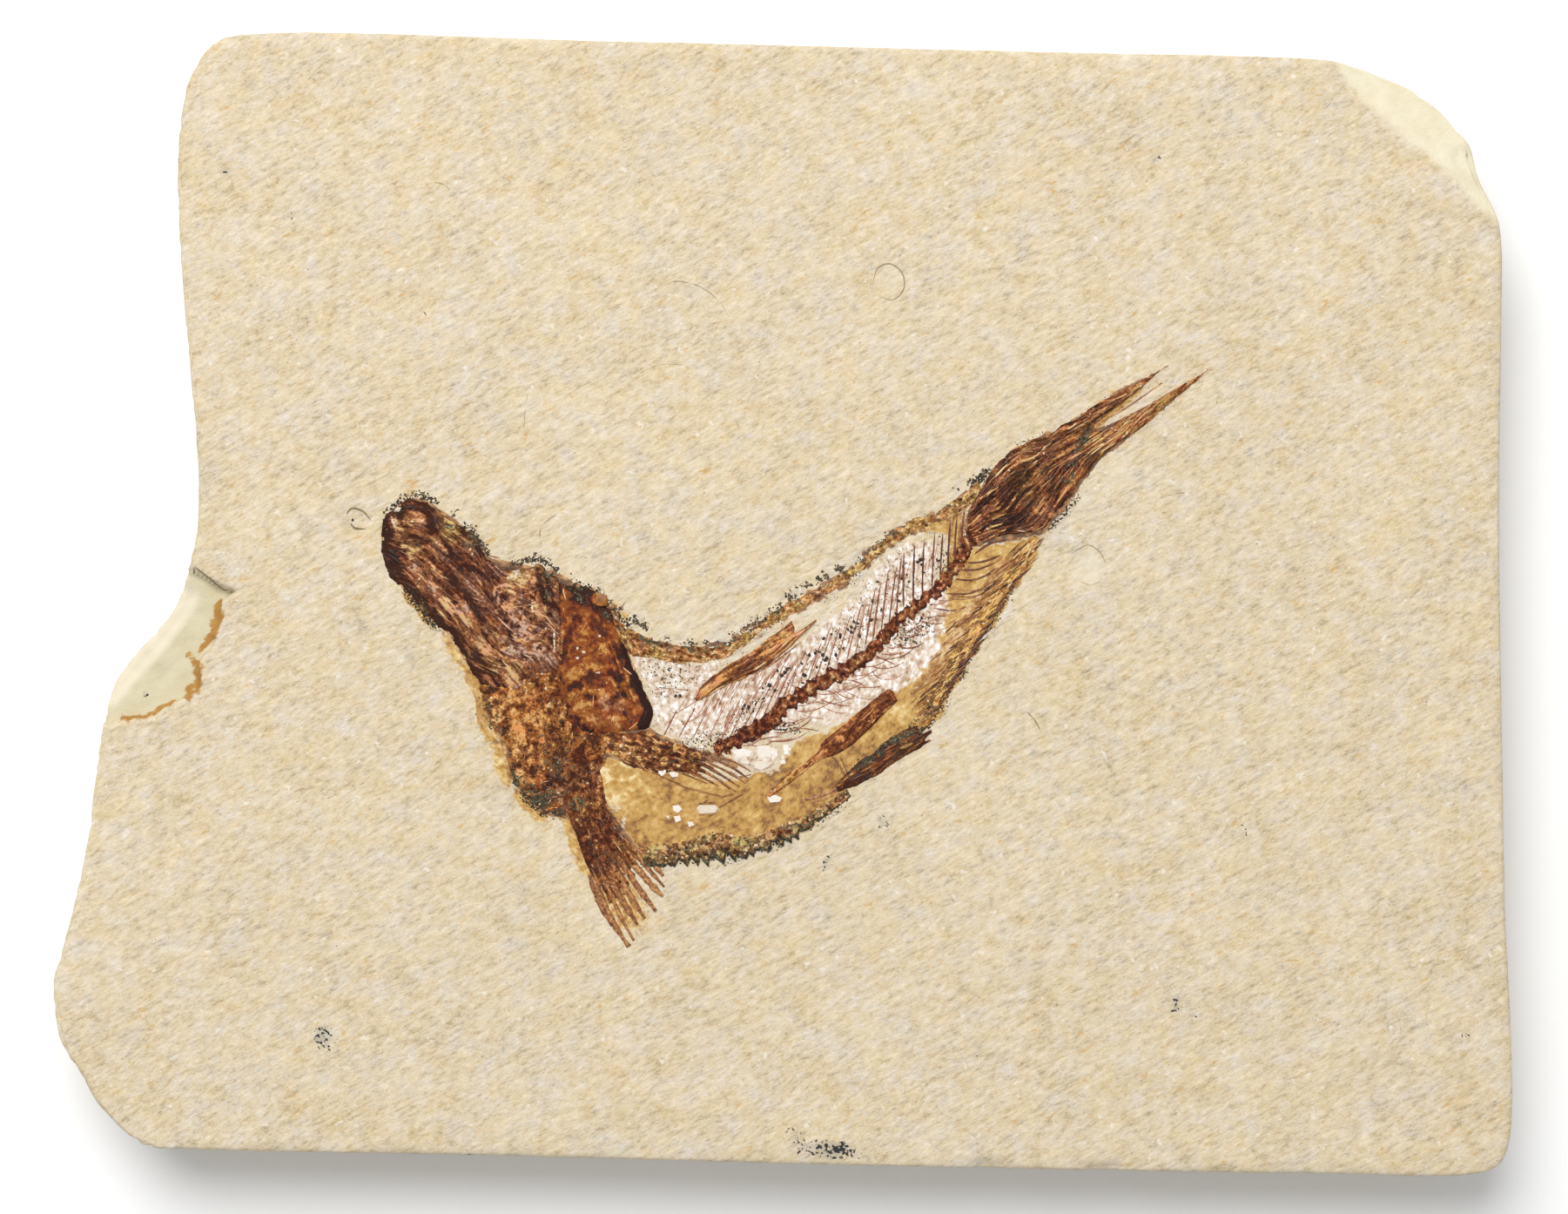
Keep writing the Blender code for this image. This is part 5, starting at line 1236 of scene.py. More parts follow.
# the gill cover: an orange plate, darker below, in front of a near-black curved rim
def paintGill(part):
    x, y = part.x, part.y
    plate = softSpot(x, y, (-16.1, -2.9), (2.5, 3.3), 0, 0.4) * smoothStep(0.0, 0.4, part.across)
    lower = softSpot(x, y, (-14.9, -7.6), (3.6, 2.2), 0, 0.5)
    patches = layeredNoise(x / 0.9 + 0.3 * y, y / 0.7, 4, 29, 0.6)
    part.amber += 0.95 * plate + 0.45 * lower * evenShare(patches, 0.4)
    part.relief *= 1 - 0.5 * plate
    part.tone -= 0.08
    part.tone += (0.16 * patches + 0.06) * plate + 0.5 * patches * lower - 0.35 * plate * (part.tone - 0.5)
    streakOver(
        part,
        [
            ([(-15.5, -1.4), (-14.1, -3.0), (-12.9, -5.0)], 0.42, -0.55),
            ([(-14.2, -3.1), (-13.7, -4.1), (-13.2, -5.6)], 0.09, 0.6),
            ([(-16.7, -0.9), (-17.3, -2.3), (-18.0, -4.0)], 0.34, -0.5),
            ([(-18.3, -0.4), (-18.3, -2.6), (-18.2, -4.9)], 0.12, -0.6),
            ([(-17.4, -7.6), (-14.9, -6.5), (-12.8, -6.9)], 0.25, 0.3),
            ([(-14.9, -8.7), (-13.1, -7.9), (-12.1, -8.4)], 0.3, 0.4),
            ([(-17.9, -5.8), (-16.5, -5.1), (-14.9, -4.9)], 0.2, 0.35),
            ([(-17.4, -6.7), (-15.6, -5.8), (-13.8, -5.6)], 0.22, -0.5),
            ([(-17.8, -8.7), (-16.2, -7.6), (-14.9, -7.6)], 0.2, -0.4),
            ([(-14.2, -5.4), (-13.3, -6.9), (-12.6, -8.2)], 0.16, -0.4),
            ([(-16.5, -9.7), (-14.6, -9.2), (-12.8, -9.4)], 0.16, 0.35),
            ([(-19.1, -6.7), (-18.5, -6.2), (-17.8, -5.6)], 0.22, -0.5),
            ([(-14.9, -7.0), (-14.1, -6.7), (-13.2, -6.6)], 0.14, 0.5),
            ([(-17.1, -8.4), (-15.6, -8.2), (-14.2, -7.6)], 0.14, 0.5),
            ([(-16.9, -6.4), (-15.9, -6.9), (-14.9, -6.7)], 0.16, -0.4),
            ([(-12.8, -5.6), (-12.5, -6.9), (-12.1, -8.0)], 0.10, 0.5)],
        79)
    dab(
        part, "tone",
        [
            ((-14.3, -3.4), (0.9, 1.5), 15, 0.24), ((-15.6, -5.7), (0.5, 0.4), 0, -0.5),
            ((-16.8, -5.8), (0.8, 0.5), 10, 0.3), ((-14.1, -8.4), (1.1, 0.5), 12, 0.25),
            ((-12.6, -8.7), (0.8, 0.8), 0, -0.12), ((-16.2, -7.6), (2.0, 0.8), -15, 0.16),
            ((-14.9, -5.4), (0.5, 0.5), 0, 0.35)])
    dab(
        part, "warmth",
        [
            ((-16.2, -2.3), (2.0, 2.2), 0, 0.16), ((-17.8, -2.9), (0.7, 2.2), 10, 0.3),
            ((-14.2, -3.1), (1.4, 2.4), 40, 0.25), ((-16.8, -5.8), (1.2, 0.7), 10, -0.6),
            ((-17.8, -7.4), (1.4, 0.9), 10, -0.6), ((-13.3, -7.1), (0.7, 0.5), 0, -0.5),
            ((-14.1, -8.4), (1.2, 0.6), 12, 0.6), ((-12.6, -8.7), (0.9, 0.9), 0, 0.25)])
    dab(
        part, "amber",
        [
            ((-12.6, -8.7), (0.8, 0.8), 0, 0.6), ((-16.2, -7.2), (1.6, 0.8), 0, 0.3),
            ((-14.1, -8.4), (1.2, 0.6), 12, -0.8)])
    rimLine = [
        (-13.1, -3.4), (-12.6, -4.4), (-12.1, -5.6), (-11.5, -7.0), (-10.8, -8.3), (-10.8, -9.2),
        (-11.2, -9.9)]
    wide = np.interp(y, [-9.9, -8.0, -3.6], [0.62, 0.52, 0.20])
    black = softStroke(x, y, rimLine, wide, 0.3)
    part.tone -= 1.6 * black
    crustOver(part, 0.12 * black)
    part.amber *= 1 - black
    part.warmth = part.warmth * (1 - black) + 0.85 * black
    part.lift += 0.10 * black
    crown = softSpot(x, y, (-16.2, 0.7), (2.4, 1.0), -25, 0.5)
    part.tone -= 0.25 * crown
    part.amber *= 1 - 0.8 * crown
    for spot, size, turn in (
        ((-16.3, 0.9), (0.9, 0.9), 0), ((-14.2, -0.9), (1.0, 0.5), -30), ((-17.4, 1.6), (0.5, 0.4), 0)):
        tuft = softSpot(x, y, spot, size, turn, 0.7) * (0.4 + evenShare(patches, 0.3))
        crustOver(part, 0.5 * tuft)
        part.tone -= 0.9 * tuft
    square = softSpot(x, y, (-15.1, 0.5), (0.5, 0.55), 15, 0.3)
    part.crust *= 1 - square
    part.amber = np.maximum(part.amber, square)
    part.tone += (0.85 - part.tone) * square
    # the tiny white dots are painted glints
    dab(
        part, "pale",
        [
            ((-16.8, -3.6), (0.12, 0.12), 0, 1.0), ((-16.3, -3.9), (0.16, 0.1), 0, 1.0),
            ((-16.8, -4.4), (0.14, 0.1), 0, 1.0), ((-15.0, -2.6), (0.14, 0.1), 0, 1.0),
            ((-14.0, -8.2), (0.7, 0.3), 10, 0.4), ((-15.1, -5.6), (0.25, 0.12), 0, 0.7)],
        0.5)


# the throat: fibrous tan and brown bumps, green-black crust at the lower edge
def paintThroat(part):
    x, y = part.x, part.y
    bumps = layeredNoise(x / 0.75, y / 0.75, 4, 171, 0.7)
    part.tone = 0.35 * part.tone + 0.65 * evenShare(bumps, 0.38)
    part.relief += 0.09 * bumps
    patches = layeredNoise(x / 1.0, y / 1.0, 3, 175, 0.6)
    crustOver(part, 0.55 * smoothStep(0.60, 0.9, patches))
    part.tone += 0.15 * smoothStep(0.1, 0.5, patches) - 0.42 * smoothStep(0.1, 0.5, -patches)
    crustOver(part, 0.75 * softSpot(x, y, (-20.1, -16.3), (2.2, 0.8), 25, 0.6))
    crustOver(part, 0.45 * softSpot(x, y, (-24.1, -8.4), (0.4, 1.4), 0, 0.6))
    crustOver(part, 0.5 * softSpot(x, y, (-18.5, -13.3), (1.2, 1.2), 0, 0.9))
    part.tone -= 0.25 * softSpot(x, y, (-17.8, -12.6), (3.0, 2.0), 20, 0.7)
    part.tone += 0.06 + 0.26 * softSpot(x, y, (-21.3, -11.2), (1.8, 3.2), 0, 0.7)
    part.amber += 0.75 * softSpot(x, y, (-19.1, -7.3), (2.6, 1.6), -15, 0.8) * evenShare(
        layeredNoise(x / 0.7, y / 0.7, 3, 177), 0.35)
    part.warmth = 0.3 + 0.5 * part.warmth
    joint = softSpot(x, y, (-17.6, -14.9), (2.6, 1.4), 40, 0.8)
    part.tone -= 0.14 * joint
    part.warmth += 0.6 * joint
    swirl = softSpot(x, y, (-21.3, -15.1), (3.4, 0.85), -42, 0.7) * evenShare(
        layeredNoise(x / 0.8, y / 0.5, 3, 181), 0.25)
    crustOver(part, 0.8 * swirl)


# the lower fin: rays that fan out, dark and joined near the root, apart and pale between at the tips
def paintFan(part):
    x, y, v, u = part.x, part.y, part.v, part.u
    rayCount = 8.0
    wobble = 0.10 * layeredNoise(u * 3.0, v * 6.0, 2, 45)
    wave = np.cos(2 * np.pi * rayCount * (v + wobble * 0.3))
    split = smoothStep(0.35, 0.85, u)
    part.tone += 0.30 * (-wave) * (0.25 + 0.75 * split) + 0.16 * split
    mottle = layeredNoise(x / 0.7, y / 0.7, 4, 173, 0.7)
    part.tone = part.tone * split + (1 - split) * (0.44 + 0.55 * mottle + 0.15 * part.tone)
    part.relief = (part.relief + 0.06 * wave) * split + 0.06 * mottle * (1 - split)
    gapLine = smoothStep(0.55, 0.95, -wave)
    fade = smoothStep(0.40, 0.68, u + 0.05 * layeredNoise(x / 0.8, y / 0.8, 3, 48))
    part.lift -= 0.45 * gapLine * fade + 0.5 * smoothStep(
        0.62, 0.82, u + 0.06 * layeredNoise(x / 0.5, y / 0.5, 3, 49))
    part.tone += 0.30 * smoothStep(0.5, 1.0, u) - 0.05 * (1 - split)
    part.warmth += 0.25 * (1 - split)
    part.amber += 0.2 * smoothStep(0.5, 0.9, u) + 0.3 * evenShare(
        layeredNoise(x / 1.0, y / 1.0, 3, 50) - 0.2, 0.3)
    crustOver(part, 0.42 * softSpot(x, y, (-14.2, -20.8), (2.4, 0.7), -30, 0.8))
    crustOver(part, 0.6 * softSpot(x, y, (-16.8, -16.3), (0.9, 0.7), 0, 0.7))
    part.pale += 0.5 * softStroke(x, y, [(-13.8, -18.3), (-13.1, -19.2)], 0.10, 0.6)
    part.tone -= 0.30 * softStroke(
        x, y, [(-17.1, -18.0), (-15.9, -21.5), (-14.2, -25.6), (-13.1, -28.0)], 0.30, 0.6)
    part.tone -= 0.20 * softSpot(x, y, (-15.3, -18.9), (1.9, 2.6), 20, 0.7)


# the tail: streaks that fan from the root, near-black diamonds, pale web between the forks
def paintTail(part):
    x, y, v, u = part.x, part.y, part.v, part.u
    part.tone -= 0.34 * softSpot(x, y, (17.4, 8.0), (2.0, 2.4), 40, 0.7)
    part.tone -= 0.16 * softSpot(x, y, (19.8, 9.6), (4.5, 3.0), 40, 0.7)
    part.tone -= 0.35 * softSpot(x, y, (19.8, 6.9), (1.9, 0.7), 0, 0.7)
    part.tone -= 0.20 * softSpot(x, y, (24.1, 13.3), (1.8, 1.4), 40, 0.7)
    mottle = 0.5 + evenShare(layeredNoise(x / 0.6, y / 0.6, 3, 199), 0.4)
    crustOver(part, 0.55 * softStroke(x, y, [(24.9, 14.0), (24.1, 12.2), (23.3, 10.2)], 0.55, 0.8) * mottle)
    crustOver(part, 0.42 * softStroke(x, y, [(16.4, 9.2), (17.3, 10.7), (19.1, 12.7)], 0.2, 0.7))
    fork = smoothStep(0.62, 0.80, u)
    part.tone += 0.05 + 0.16 * fork + 0.24 * smoothStep(0.5, 0.8, u) * smoothStep(0.45, 0.75, v)
    part.amber += 0.35 * fork * evenShare(layeredNoise(x / 1.0, y / 1.0, 2, 65), 0.4)
    wave = np.cos(2 * np.pi * 15.0 * (v + 0.02 * layeredNoise(u * 4, v * 8, 2, 46)))
    part.relief += 0.045 * wave
    part.tone += 0.16 * wave
    root = 1 - smoothStep(0.25, 0.5, u)
    flecks = layeredNoise((0.9 * x + 0.45 * y) / 1.0, (0.9 * y - 0.45 * x) / 0.22, 3, 367, 0.7)
    part.tone += root * (0.55 * smoothStep(0.25, 0.8, flecks) + 0.08)
    part.warmth += root * (0.28 - 0.6 * smoothStep(0.25, 0.8, flecks))
    part.pale += 0.45 * softSpot(x, y, (21.9, 12.4), (0.5, 0.25), 30, 0.8)


# Crust in mottles over the first side, away from the start, and one amber spot.
def paintAnal(part):
    x, y = part.x, part.y
    mottle = 0.3 + 0.9 * evenShare(layeredNoise(x / 0.5, y / 0.5, 3, 195), 0.3)
    crustOver(part, 0.9 * (1 - smoothStep(0.2, 0.6, part.v)) * smoothStep(0.15, 0.35, part.u) * mottle)
    part.tone -= 0.3
    part.amber += 0.5 * softSpot(x, y, (5.3, -14.7), (0.8, 0.5), 40, 0.6)


# Slanting strokes of noise cut into the first side, which is lower and lighter, and three spots are crusty.
def paintSupport(part):
    x, y, v = part.x, part.y, part.v
    strokes = layeredNoise((0.78 * x + 0.62 * y) / 1.5, (0.78 * y - 0.62 * x) / 0.17, 3, 361, 0.7)
    part.lift -= 0.5 * smoothStep(-0.1, 0.35, (1 - v) - 0.40 - 0.55 * strokes)
    part.tone += 0.80 * (
        1 - smoothStep(0.25, 0.9, v)) + 0.34 - 0.44 * strokes - 0.25 * smoothStep(0.8, 0.95, v)
    part.warmth = 0.12 + 0.5 * part.warmth
    crustOver(part, 0.6 * softSpot(x, y, (12.0, -8.7), (0.8, 1.0), 40, 0.7))
    crustOver(part, 0.45 * softSpot(x, y, (15.7, -4.1), (0.5, 0.5), 40, 0.7))
    crustOver(part, 0.45 * softSpot(x, y, (17.1, -1.6), (0.4, 0.4), 40, 0.7))


# the belly's scutes: a green-black crusty band whose lower edge is cut into pointed teeth
def paintScutes(part):
    u, v = part.u, part.v
    teeth = 19.0
    phase = (u * teeth + 0.5 * layeredNoise(u * 9.0, u * 0.0, 2, 33)) % 1.0
    bite = np.where(phase < 0.72, phase / 0.72, (1 - phase) / 0.28)
    uneven = 0.80 + 0.7 * planeNoise(np.floor(u * teeth) * 1.7, u * 0.0, 35)
    depth = (1 - bite) * 0.52 * uneven * smoothStep(0.05, 0.2, u) * (1 - smoothStep(0.78, 0.95, u))
    fromFoot = (1 - v) * 1.1
    cut = depth - fromFoot
    part.lift = np.where(cut > -0.08, np.minimum(part.lift, -2.0 * (cut + 0.08)), part.lift)
    x, y = part.x, part.y
    speck = layeredNoise(x / 0.35, y / 0.35, 3, 37, 0.7)
    part.tone += 0.08
    edging = smoothStep(-0.30, -0.10, cut) * smoothStep(0.35, 0.6, v)
    crustOver(part, 0.28 + 0.30 * speck + 0.16 * smoothStep(0.45, 0.8, v) + 0.6 * edging)
    part.tone += 0.25 * (
        1 - smoothStep(0.1, 0.55, v)) - 0.10 * smoothStep(0.5, 0.9, v) + 0.2 * speck - 0.5 * edging
    part.amber += 0.55 * evenShare(layeredNoise(x / 1.2, y / 0.8, 3, 39) - 0.25, 0.3)


# Sooty crust along the first side, and a darker, warmer start.
def paintRidge(part):
    x, y, v = part.x, part.y, part.v
    soot = evenShare(layeredNoise(x / 0.9, y / 0.9, 3, 87), 0.35)
    crustOver(part, 0.75 * soot * (1 - smoothStep(0.2, 0.7, v)))
    front = 1 - smoothStep(0.18, 0.36, part.u)
    part.tone += 0.08 + 0.12 * smoothStep(0.5, 1.0, v) - 0.12 * front
    part.warmth += 0.15 * front


# The first part is light and amber, the rest warmer, and one small spot is light.
def paintPelvic(part):
    x, y, u = part.x, part.y, part.u
    thin = 1 - smoothStep(0.38, 0.5, u)
    part.tone += 0.40 * thin - 0.06 * (1 - thin)
    part.warmth = part.warmth * thin + 0.75 * (1 - thin)
    part.amber += 0.5 * thin
    part.tone += 0.8 * softSpot(x, y, (4.8, -11.0), (0.45, 0.28), 30, 0.6)


# Light bone with one darker spot, lighter still towards the far end.
def paintDorsal(part):
    x, y = part.x, part.y
    part.tone += 0.27 - 0.30 * softSpot(x, y, (-2.9, -5.3), (2.0, 0.7), 30, 0.6)
    part.warmth += 0.15
    part.tone += 0.15 * smoothStep(0.6, 0.9, part.u)


# A bumpy zone by the root, rays as a cosine over the width, and a far end that sinks away in noise.
def paintRearFin(part):
    x, y = part.x, part.y
    bumps = layeredNoise(x / 0.5, y / 0.5, 4, 191, 0.65)
    zone = softSpot(x, y, (-8.3, -12.4), (3.6, 1.2), -8, 0.6)
    part.tone += 0.07 + zone * (0.6 * evenShare(bumps, 0.4) - 0.36)
    part.relief += 0.07 * bumps * zone
    rays = np.cos(2 * np.pi * 6.0 * (part.v + 0.03 * layeredNoise(part.u * 5, part.v * 3, 2, 47)))
    tips = smoothStep(0.55, 0.8, part.u)
    part.tone += tips * (0.22 - 0.25 * rays)
    part.lift -= 0.45 * tips * smoothStep(-0.1, 0.7, -rays)
    part.lift -= 0.6 * smoothStep(0.60, 0.85, part.u + 0.06 * layeredNoise(x / 0.5, y / 0.5, 3, 49))
    crustOver(part, 0.5 * zone * smoothStep(0.3, 0.7, layeredNoise(x / 0.7, y / 0.7, 3, 193)))


plates = [
    {
        "name": "skullBones", "node": "skull", "slot": "head_bone", "palette": "skull", "grid": (212, 150),
        "seed": 3,
        "sides": (
            [(-32.9, 5.9), (-32.8, 6.9), (-32.4, 7.6), (-31.7, 8.2), (-31.1, 8.6), (-30.3, 8.8),
                (-29.4, 8.7), (-28.7, 8.4), (-28.0, 7.6), (-27.1, 7.2), (-26.3, 6.7), (-25.6, 6.2),
                (-25.1, 5.6), (-24.7, 4.6), (-23.8, 3.7), (-22.8, 3.1), (-21.9, 3.1), (-21.0, 3.2),
                (-19.9, 3.6), (-19.2, 2.9), (-18.1, 2.3)],
            [(-32.9, 4.7), (-32.8, 3.5), (-32.3, 2.3), (-31.6, 1.6), (-31.0, 1.0), (-30.4, 0.3),
                (-29.7, -0.5), (-28.7, -1.6), (-27.4, -2.6), (-26.9, -3.4), (-26.5, -4.1), (-25.9, -5.1),
                (-25.2, -6.3), (-24.4, -7.8)],
            [(-32.9, 5.9), (-33.0, 5.3), (-32.9, 4.7)],
            [(-18.1, 2.3), (-17.9, -0.4), (-17.8, -5.1), (-20.8, -6.9), (-24.4, -7.8)]),
        "flake": (1.5, 0.6, 0.34), "crown": 0.5, "softEdge": 0.7, "ragged": 0.34, "ridge": 0.075,
        "lump": 0.035, "blotch": 1.1, "streakAlong": 0.28, "streakAcross": 2.3, "streakPart": 0.72,
        "rimDark": 0.35, "toneShift": -0.04, "paint": paintSkull,
        "finish": {"across": 4.5, "along": 0.6, "mottle": 3.9},
    },
    {
        "name": "gillCover", "node": "gill_cover", "slot": "gill_bone", "palette": "gill",
        "grid": (170, 112), "seed": 7,
        "sides": (
            [(-18.7, 1.9), (-18.8, -0.1), (-18.8, -1.9), (-18.7, -5.1), (-18.3, -7.9), (-17.6, -10.6)],
            [(-14.1, -0.4), (-13.6, -1.6), (-13.1, -2.8), (-12.7, -3.7), (-12.2, -5.1), (-11.6, -6.3),
                (-11.0, -7.7), (-10.6, -8.9), (-11.0, -10.2)],
            [(-18.7, 1.9), (-17.8, 1.9), (-16.9, 1.6), (-16.2, 1.6), (-15.5, 1.3), (-14.9, 0.3),
                (-14.1, -0.4)],
            [(-17.6, -10.6), (-15.6, -10.8), (-14.2, -10.8), (-12.6, -10.6), (-11.0, -10.2)]),
        "flake": (1.0, 0.7, 0.22), "crown": 0.42, "softEdge": 0.5, "ragged": 0.22, "ridge": 0.03,
        "lump": 0.045, "blotch": 1.3, "streakAlong": 0.35, "streakAcross": 1.2, "streakPart": 0.35,
        "rimDark": 0.2, "paint": paintGill,
        "finish": {
            "across": 2.2, "along": 0.9, "mottle": 2.2, "gloss": 0.36, "streakShare": 0.35,
            "grainShare": 0.5,
        },
    },
    {
        "name": "throatBones", "node": "throat_bones", "slot": "mottled_bone", "palette": "throat",
        "grid": (190, 130), "seed": 13,
        "sides": (
            [(-25.3, -6.4), (-24.9, -7.7), (-24.5, -9.0), (-24.0, -9.9), (-23.4, -10.8), (-23.0, -11.9),
                (-22.8, -13.0), (-22.6, -14.2), (-21.9, -15.2), (-21.2, -15.9), (-20.5, -16.8),
                (-19.8, -17.3)],
            [(-18.1, -4.4), (-17.8, -6.5), (-17.3, -8.7), (-16.9, -9.9), (-15.6, -10.2), (-13.8, -10.3)],
            [(-25.3, -6.4), (-23.1, -5.9), (-21.3, -5.3), (-19.8, -4.9), (-18.1, -4.4)],
            [(-19.8, -17.3), (-18.5, -17.0), (-17.4, -16.5), (-16.5, -15.6), (-15.5, -14.5), (-14.3, -12.9),
                (-13.8, -10.3)]),
        "flake": (0.7, 0.55, 0.36), "crown": 0.36, "softEdge": 0.55, "ragged": 0.5, "ridge": 0.02,
        "lump": 0.06, "blotch": 0.9, "streakAlong": 0.5, "streakAcross": 1.5, "streakPart": 0.35,
        "rimDark": 0.2, "paint": paintThroat,
        "finish": {"across": 3.0, "along": 1.4, "mottle": 4.5},
    },
    {
        "name": "lowerFin", "node": "lower_pectoral_fin", "slot": "ray_bone", "palette": "rays",
        "grid": (180, 120), "seed": 17,
        "sides": (
            [(-18.1, -16.0), (-17.6, -17.6), (-16.9, -19.2), (-16.5, -20.5), (-16.0, -21.7), (-15.3, -23.3),
                (-14.6, -25.0), (-13.8, -26.6), (-13.0, -28.3)],
            [(-14.9, -13.3), (-14.4, -16.2), (-13.8, -17.9), (-12.9, -18.9), (-12.2, -19.7), (-11.5, -20.6),
                (-10.7, -21.4), (-9.8, -22.2)],
            [(-18.1, -16.0), (-17.1, -15.0), (-16.1, -14.2), (-14.9, -13.3)],
            [(-13.0, -28.3), (-12.4, -28.0), (-12.0, -27.4), (-11.7, -26.6), (-11.1, -26.2), (-10.8, -25.4),
                (-10.1, -24.9), (-9.9, -24.0), (-9.5, -23.3), (-9.8, -22.2)]),
        "flake": (1.2, 0.35, 0.24), "crown": 0.26, "softEdge": 0.28, "ragged": 0.1, "ridge": 0.03,
        "lump": 0.02, "blotch": 0.8, "streakAlong": 0.22, "streakAcross": 3.2, "streakPart": 0.75,
        "rimDark": 0.1, "paint": paintFan,
        "finish": {"across": 3.0, "along": 0.8, "mottle": 3.9, "streakShare": 0.4},
    },
    {
        "name": "rearFin", "node": "rear_pectoral_fin", "slot": "mottled_bone", "palette": "rays",
        "grid": (190, 64), "seed": 19,
        "sides": (
            [(-14.3, -10.0), (-12.6, -10.2), (-11.0, -10.3), (-9.8, -10.8), (-8.5, -11.3), (-7.0, -11.7),
                (-6.0, -11.9), (-5.2, -12.3), (-3.8, -13.3), (-2.5, -14.2)],
            [(-14.9, -12.4), (-13.3, -13.1), (-11.7, -13.7), (-10.3, -13.9), (-9.0, -13.9), (-7.0, -14.4),
                (-4.9, -15.1), (-3.0, -15.5)],
            [(-14.3, -10.0), (-14.8, -11.2), (-14.9, -12.4)],
            [(-2.5, -14.2), (-2.6, -14.9), (-3.0, -15.5)]),
        "flake": (0.8, 0.4, 0.32), "crown": 0.26, "softEdge": 0.3, "ragged": 0.34, "ridge": 0.04,
        "lump": 0.05, "blotch": 0.7, "streakAlong": 0.25, "streakAcross": 2.6, "streakPart": 0.5,
        "rimDark": 0.1, "paint": paintRearFin,
        "finish": {"across": 4.0, "along": 0.6, "mottle": 4.5},
    },
    {
        "name": "dorsalFin", "node": "dorsal_fin", "slot": "ray_bone", "palette": "rays", "grid": (150, 44),
        "seed": 23,
        "sides": (
            [(-7.3, -7.8), (-6.8, -6.8), (-5.8, -5.9), (-4.5, -4.9), (-3.5, -4.4), (-2.3, -3.6),
                (-1.2, -2.7), (-0.1, -2.0), (0.8, -1.4)],
            [(-7.0, -8.1), (-5.9, -7.6), (-4.8, -6.9), (-3.6, -6.4), (-2.6, -5.9), (-1.5, -5.3),
                (-0.5, -4.5), (0.7, -3.5), (1.5, -2.6), (2.8, -1.4)],
            [(-7.3, -7.8), (-7.0, -8.0)],
            [(0.8, -1.5), (1.0, -1.9), (1.1, -2.4), (1.5, -2.2), (2.1, -1.9), (2.8, -1.4)]),
        "crown": 0.3, "softEdge": 0.3, "ragged": 0.1, "ridge": 0.05, "lump": 0.02, "blotch": 0.7,
        "streakAlong": 0.25, "streakAcross": 3.4, "streakPart": 0.75, "rimDark": 0.1, "paint": paintDorsal,
        "finish": {"across": 5.0, "along": 0.5, "mottle": 3.9},
    },
    {
        "name": "pelvicFin", "node": "pelvic_fin", "slot": "ray_bone", "palette": "rays", "grid": (190, 34),
        "seed": 29,
        "sides": (
            [(-1.3, -15.7), (-0.4, -14.8), (0.5, -13.9), (1.9, -12.9), (2.9, -12.1), (3.2, -11.4),
                (4.0, -10.7), (5.1, -9.8), (6.4, -8.7), (7.5, -7.8), (8.7, -6.9)],
            [(-1.1, -16.0), (-0.1, -15.3), (0.8, -14.6), (2.3, -13.4), (3.4, -12.7), (4.4, -12.4),
                (5.3, -11.9), (6.3, -11.1), (7.2, -10.2), (8.3, -9.1), (9.5, -7.9)],
            [(-1.3, -15.7), (-1.1, -16.0)], [(8.7, -6.9), (9.1, -7.1), (9.3, -7.5), (9.5, -7.9)]),
        "crown": 0.28, "softEdge": 0.2, "ragged": 0.06, "ridge": 0.03, "lump": 0.03, "blotch": 0.6,
        "streakAlong": 0.3, "streakAcross": 3.0, "streakPart": 0.6, "rimDark": 0.05, "paint": paintPelvic,
        "finish": {"across": 4.5, "along": 0.6, "mottle": 4.2},
    },
    {
        "name": "analFin", "node": "anal_fin", "slot": "dark_crust", "palette": "rays", "grid": (150, 44),
        "seed": 31,
        "sides": (
            [(4.3, -14.9), (5.1, -13.9), (6.2, -12.9), (7.3, -12.2), (8.3, -11.3), (9.4, -10.6),
                (10.5, -10.0), (11.5, -9.5)],
            [(4.4, -15.4), (5.4, -15.2), (6.3, -14.8), (7.1, -14.4), (8.1, -13.9), (9.3, -13.0),
                (10.5, -12.3), (11.5, -11.7), (12.4, -11.1)],
            [(4.3, -14.9), (4.4, -15.4)],
            [(11.5, -9.5), (11.3, -10.2), (12.0, -9.9), (11.5, -10.6), (12.3, -10.3), (11.8, -11.1),
                (12.4, -11.1)]),
        "crown": 0.28, "softEdge": 0.22, "ragged": 0.2, "ridge": 0.05, "lump": 0.03, "blotch": 0.6,
        "streakAlong": 0.3, "streakAcross": 3.2, "streakPart": 0.6, "rimDark": 0.1, "paint": paintAnal,
        "finish": {"across": 4.5, "along": 0.7, "mottle": 4.5},
    },
    {
        "name": "finSupports", "node": "fin_support_bones", "slot": "golden_bone", "palette": "golden",
        "grid": (210, 66), "seed": 37,
        "sides": (
            [(10.4, -9.2), (11.0, -8.0), (12.0, -6.6), (13.0, -4.6), (13.8, -2.4), (15.0, -0.6),
                (16.3, 1.1), (17.8, 2.8), (19.1, 4.4), (19.8, 5.6)],
            [(12.0, -10.2), (12.7, -8.9), (13.8, -7.0), (14.8, -5.3), (15.6, -4.1), (16.4, -2.7),
                (17.5, -0.9), (18.4, 0.6), (19.2, 1.8), (20.2, 3.1), (21.3, 5.4)],
            [(10.4, -9.2), (11.1, -9.6), (12.0, -10.2)], [(19.8, 5.6), (20.6, 5.6), (21.3, 5.4)]),
        "crown": 0.12, "softEdge": 0.35, "ragged": 0.3, "ridge": 0.02, "lump": 0.04, "blotch": 0.9,
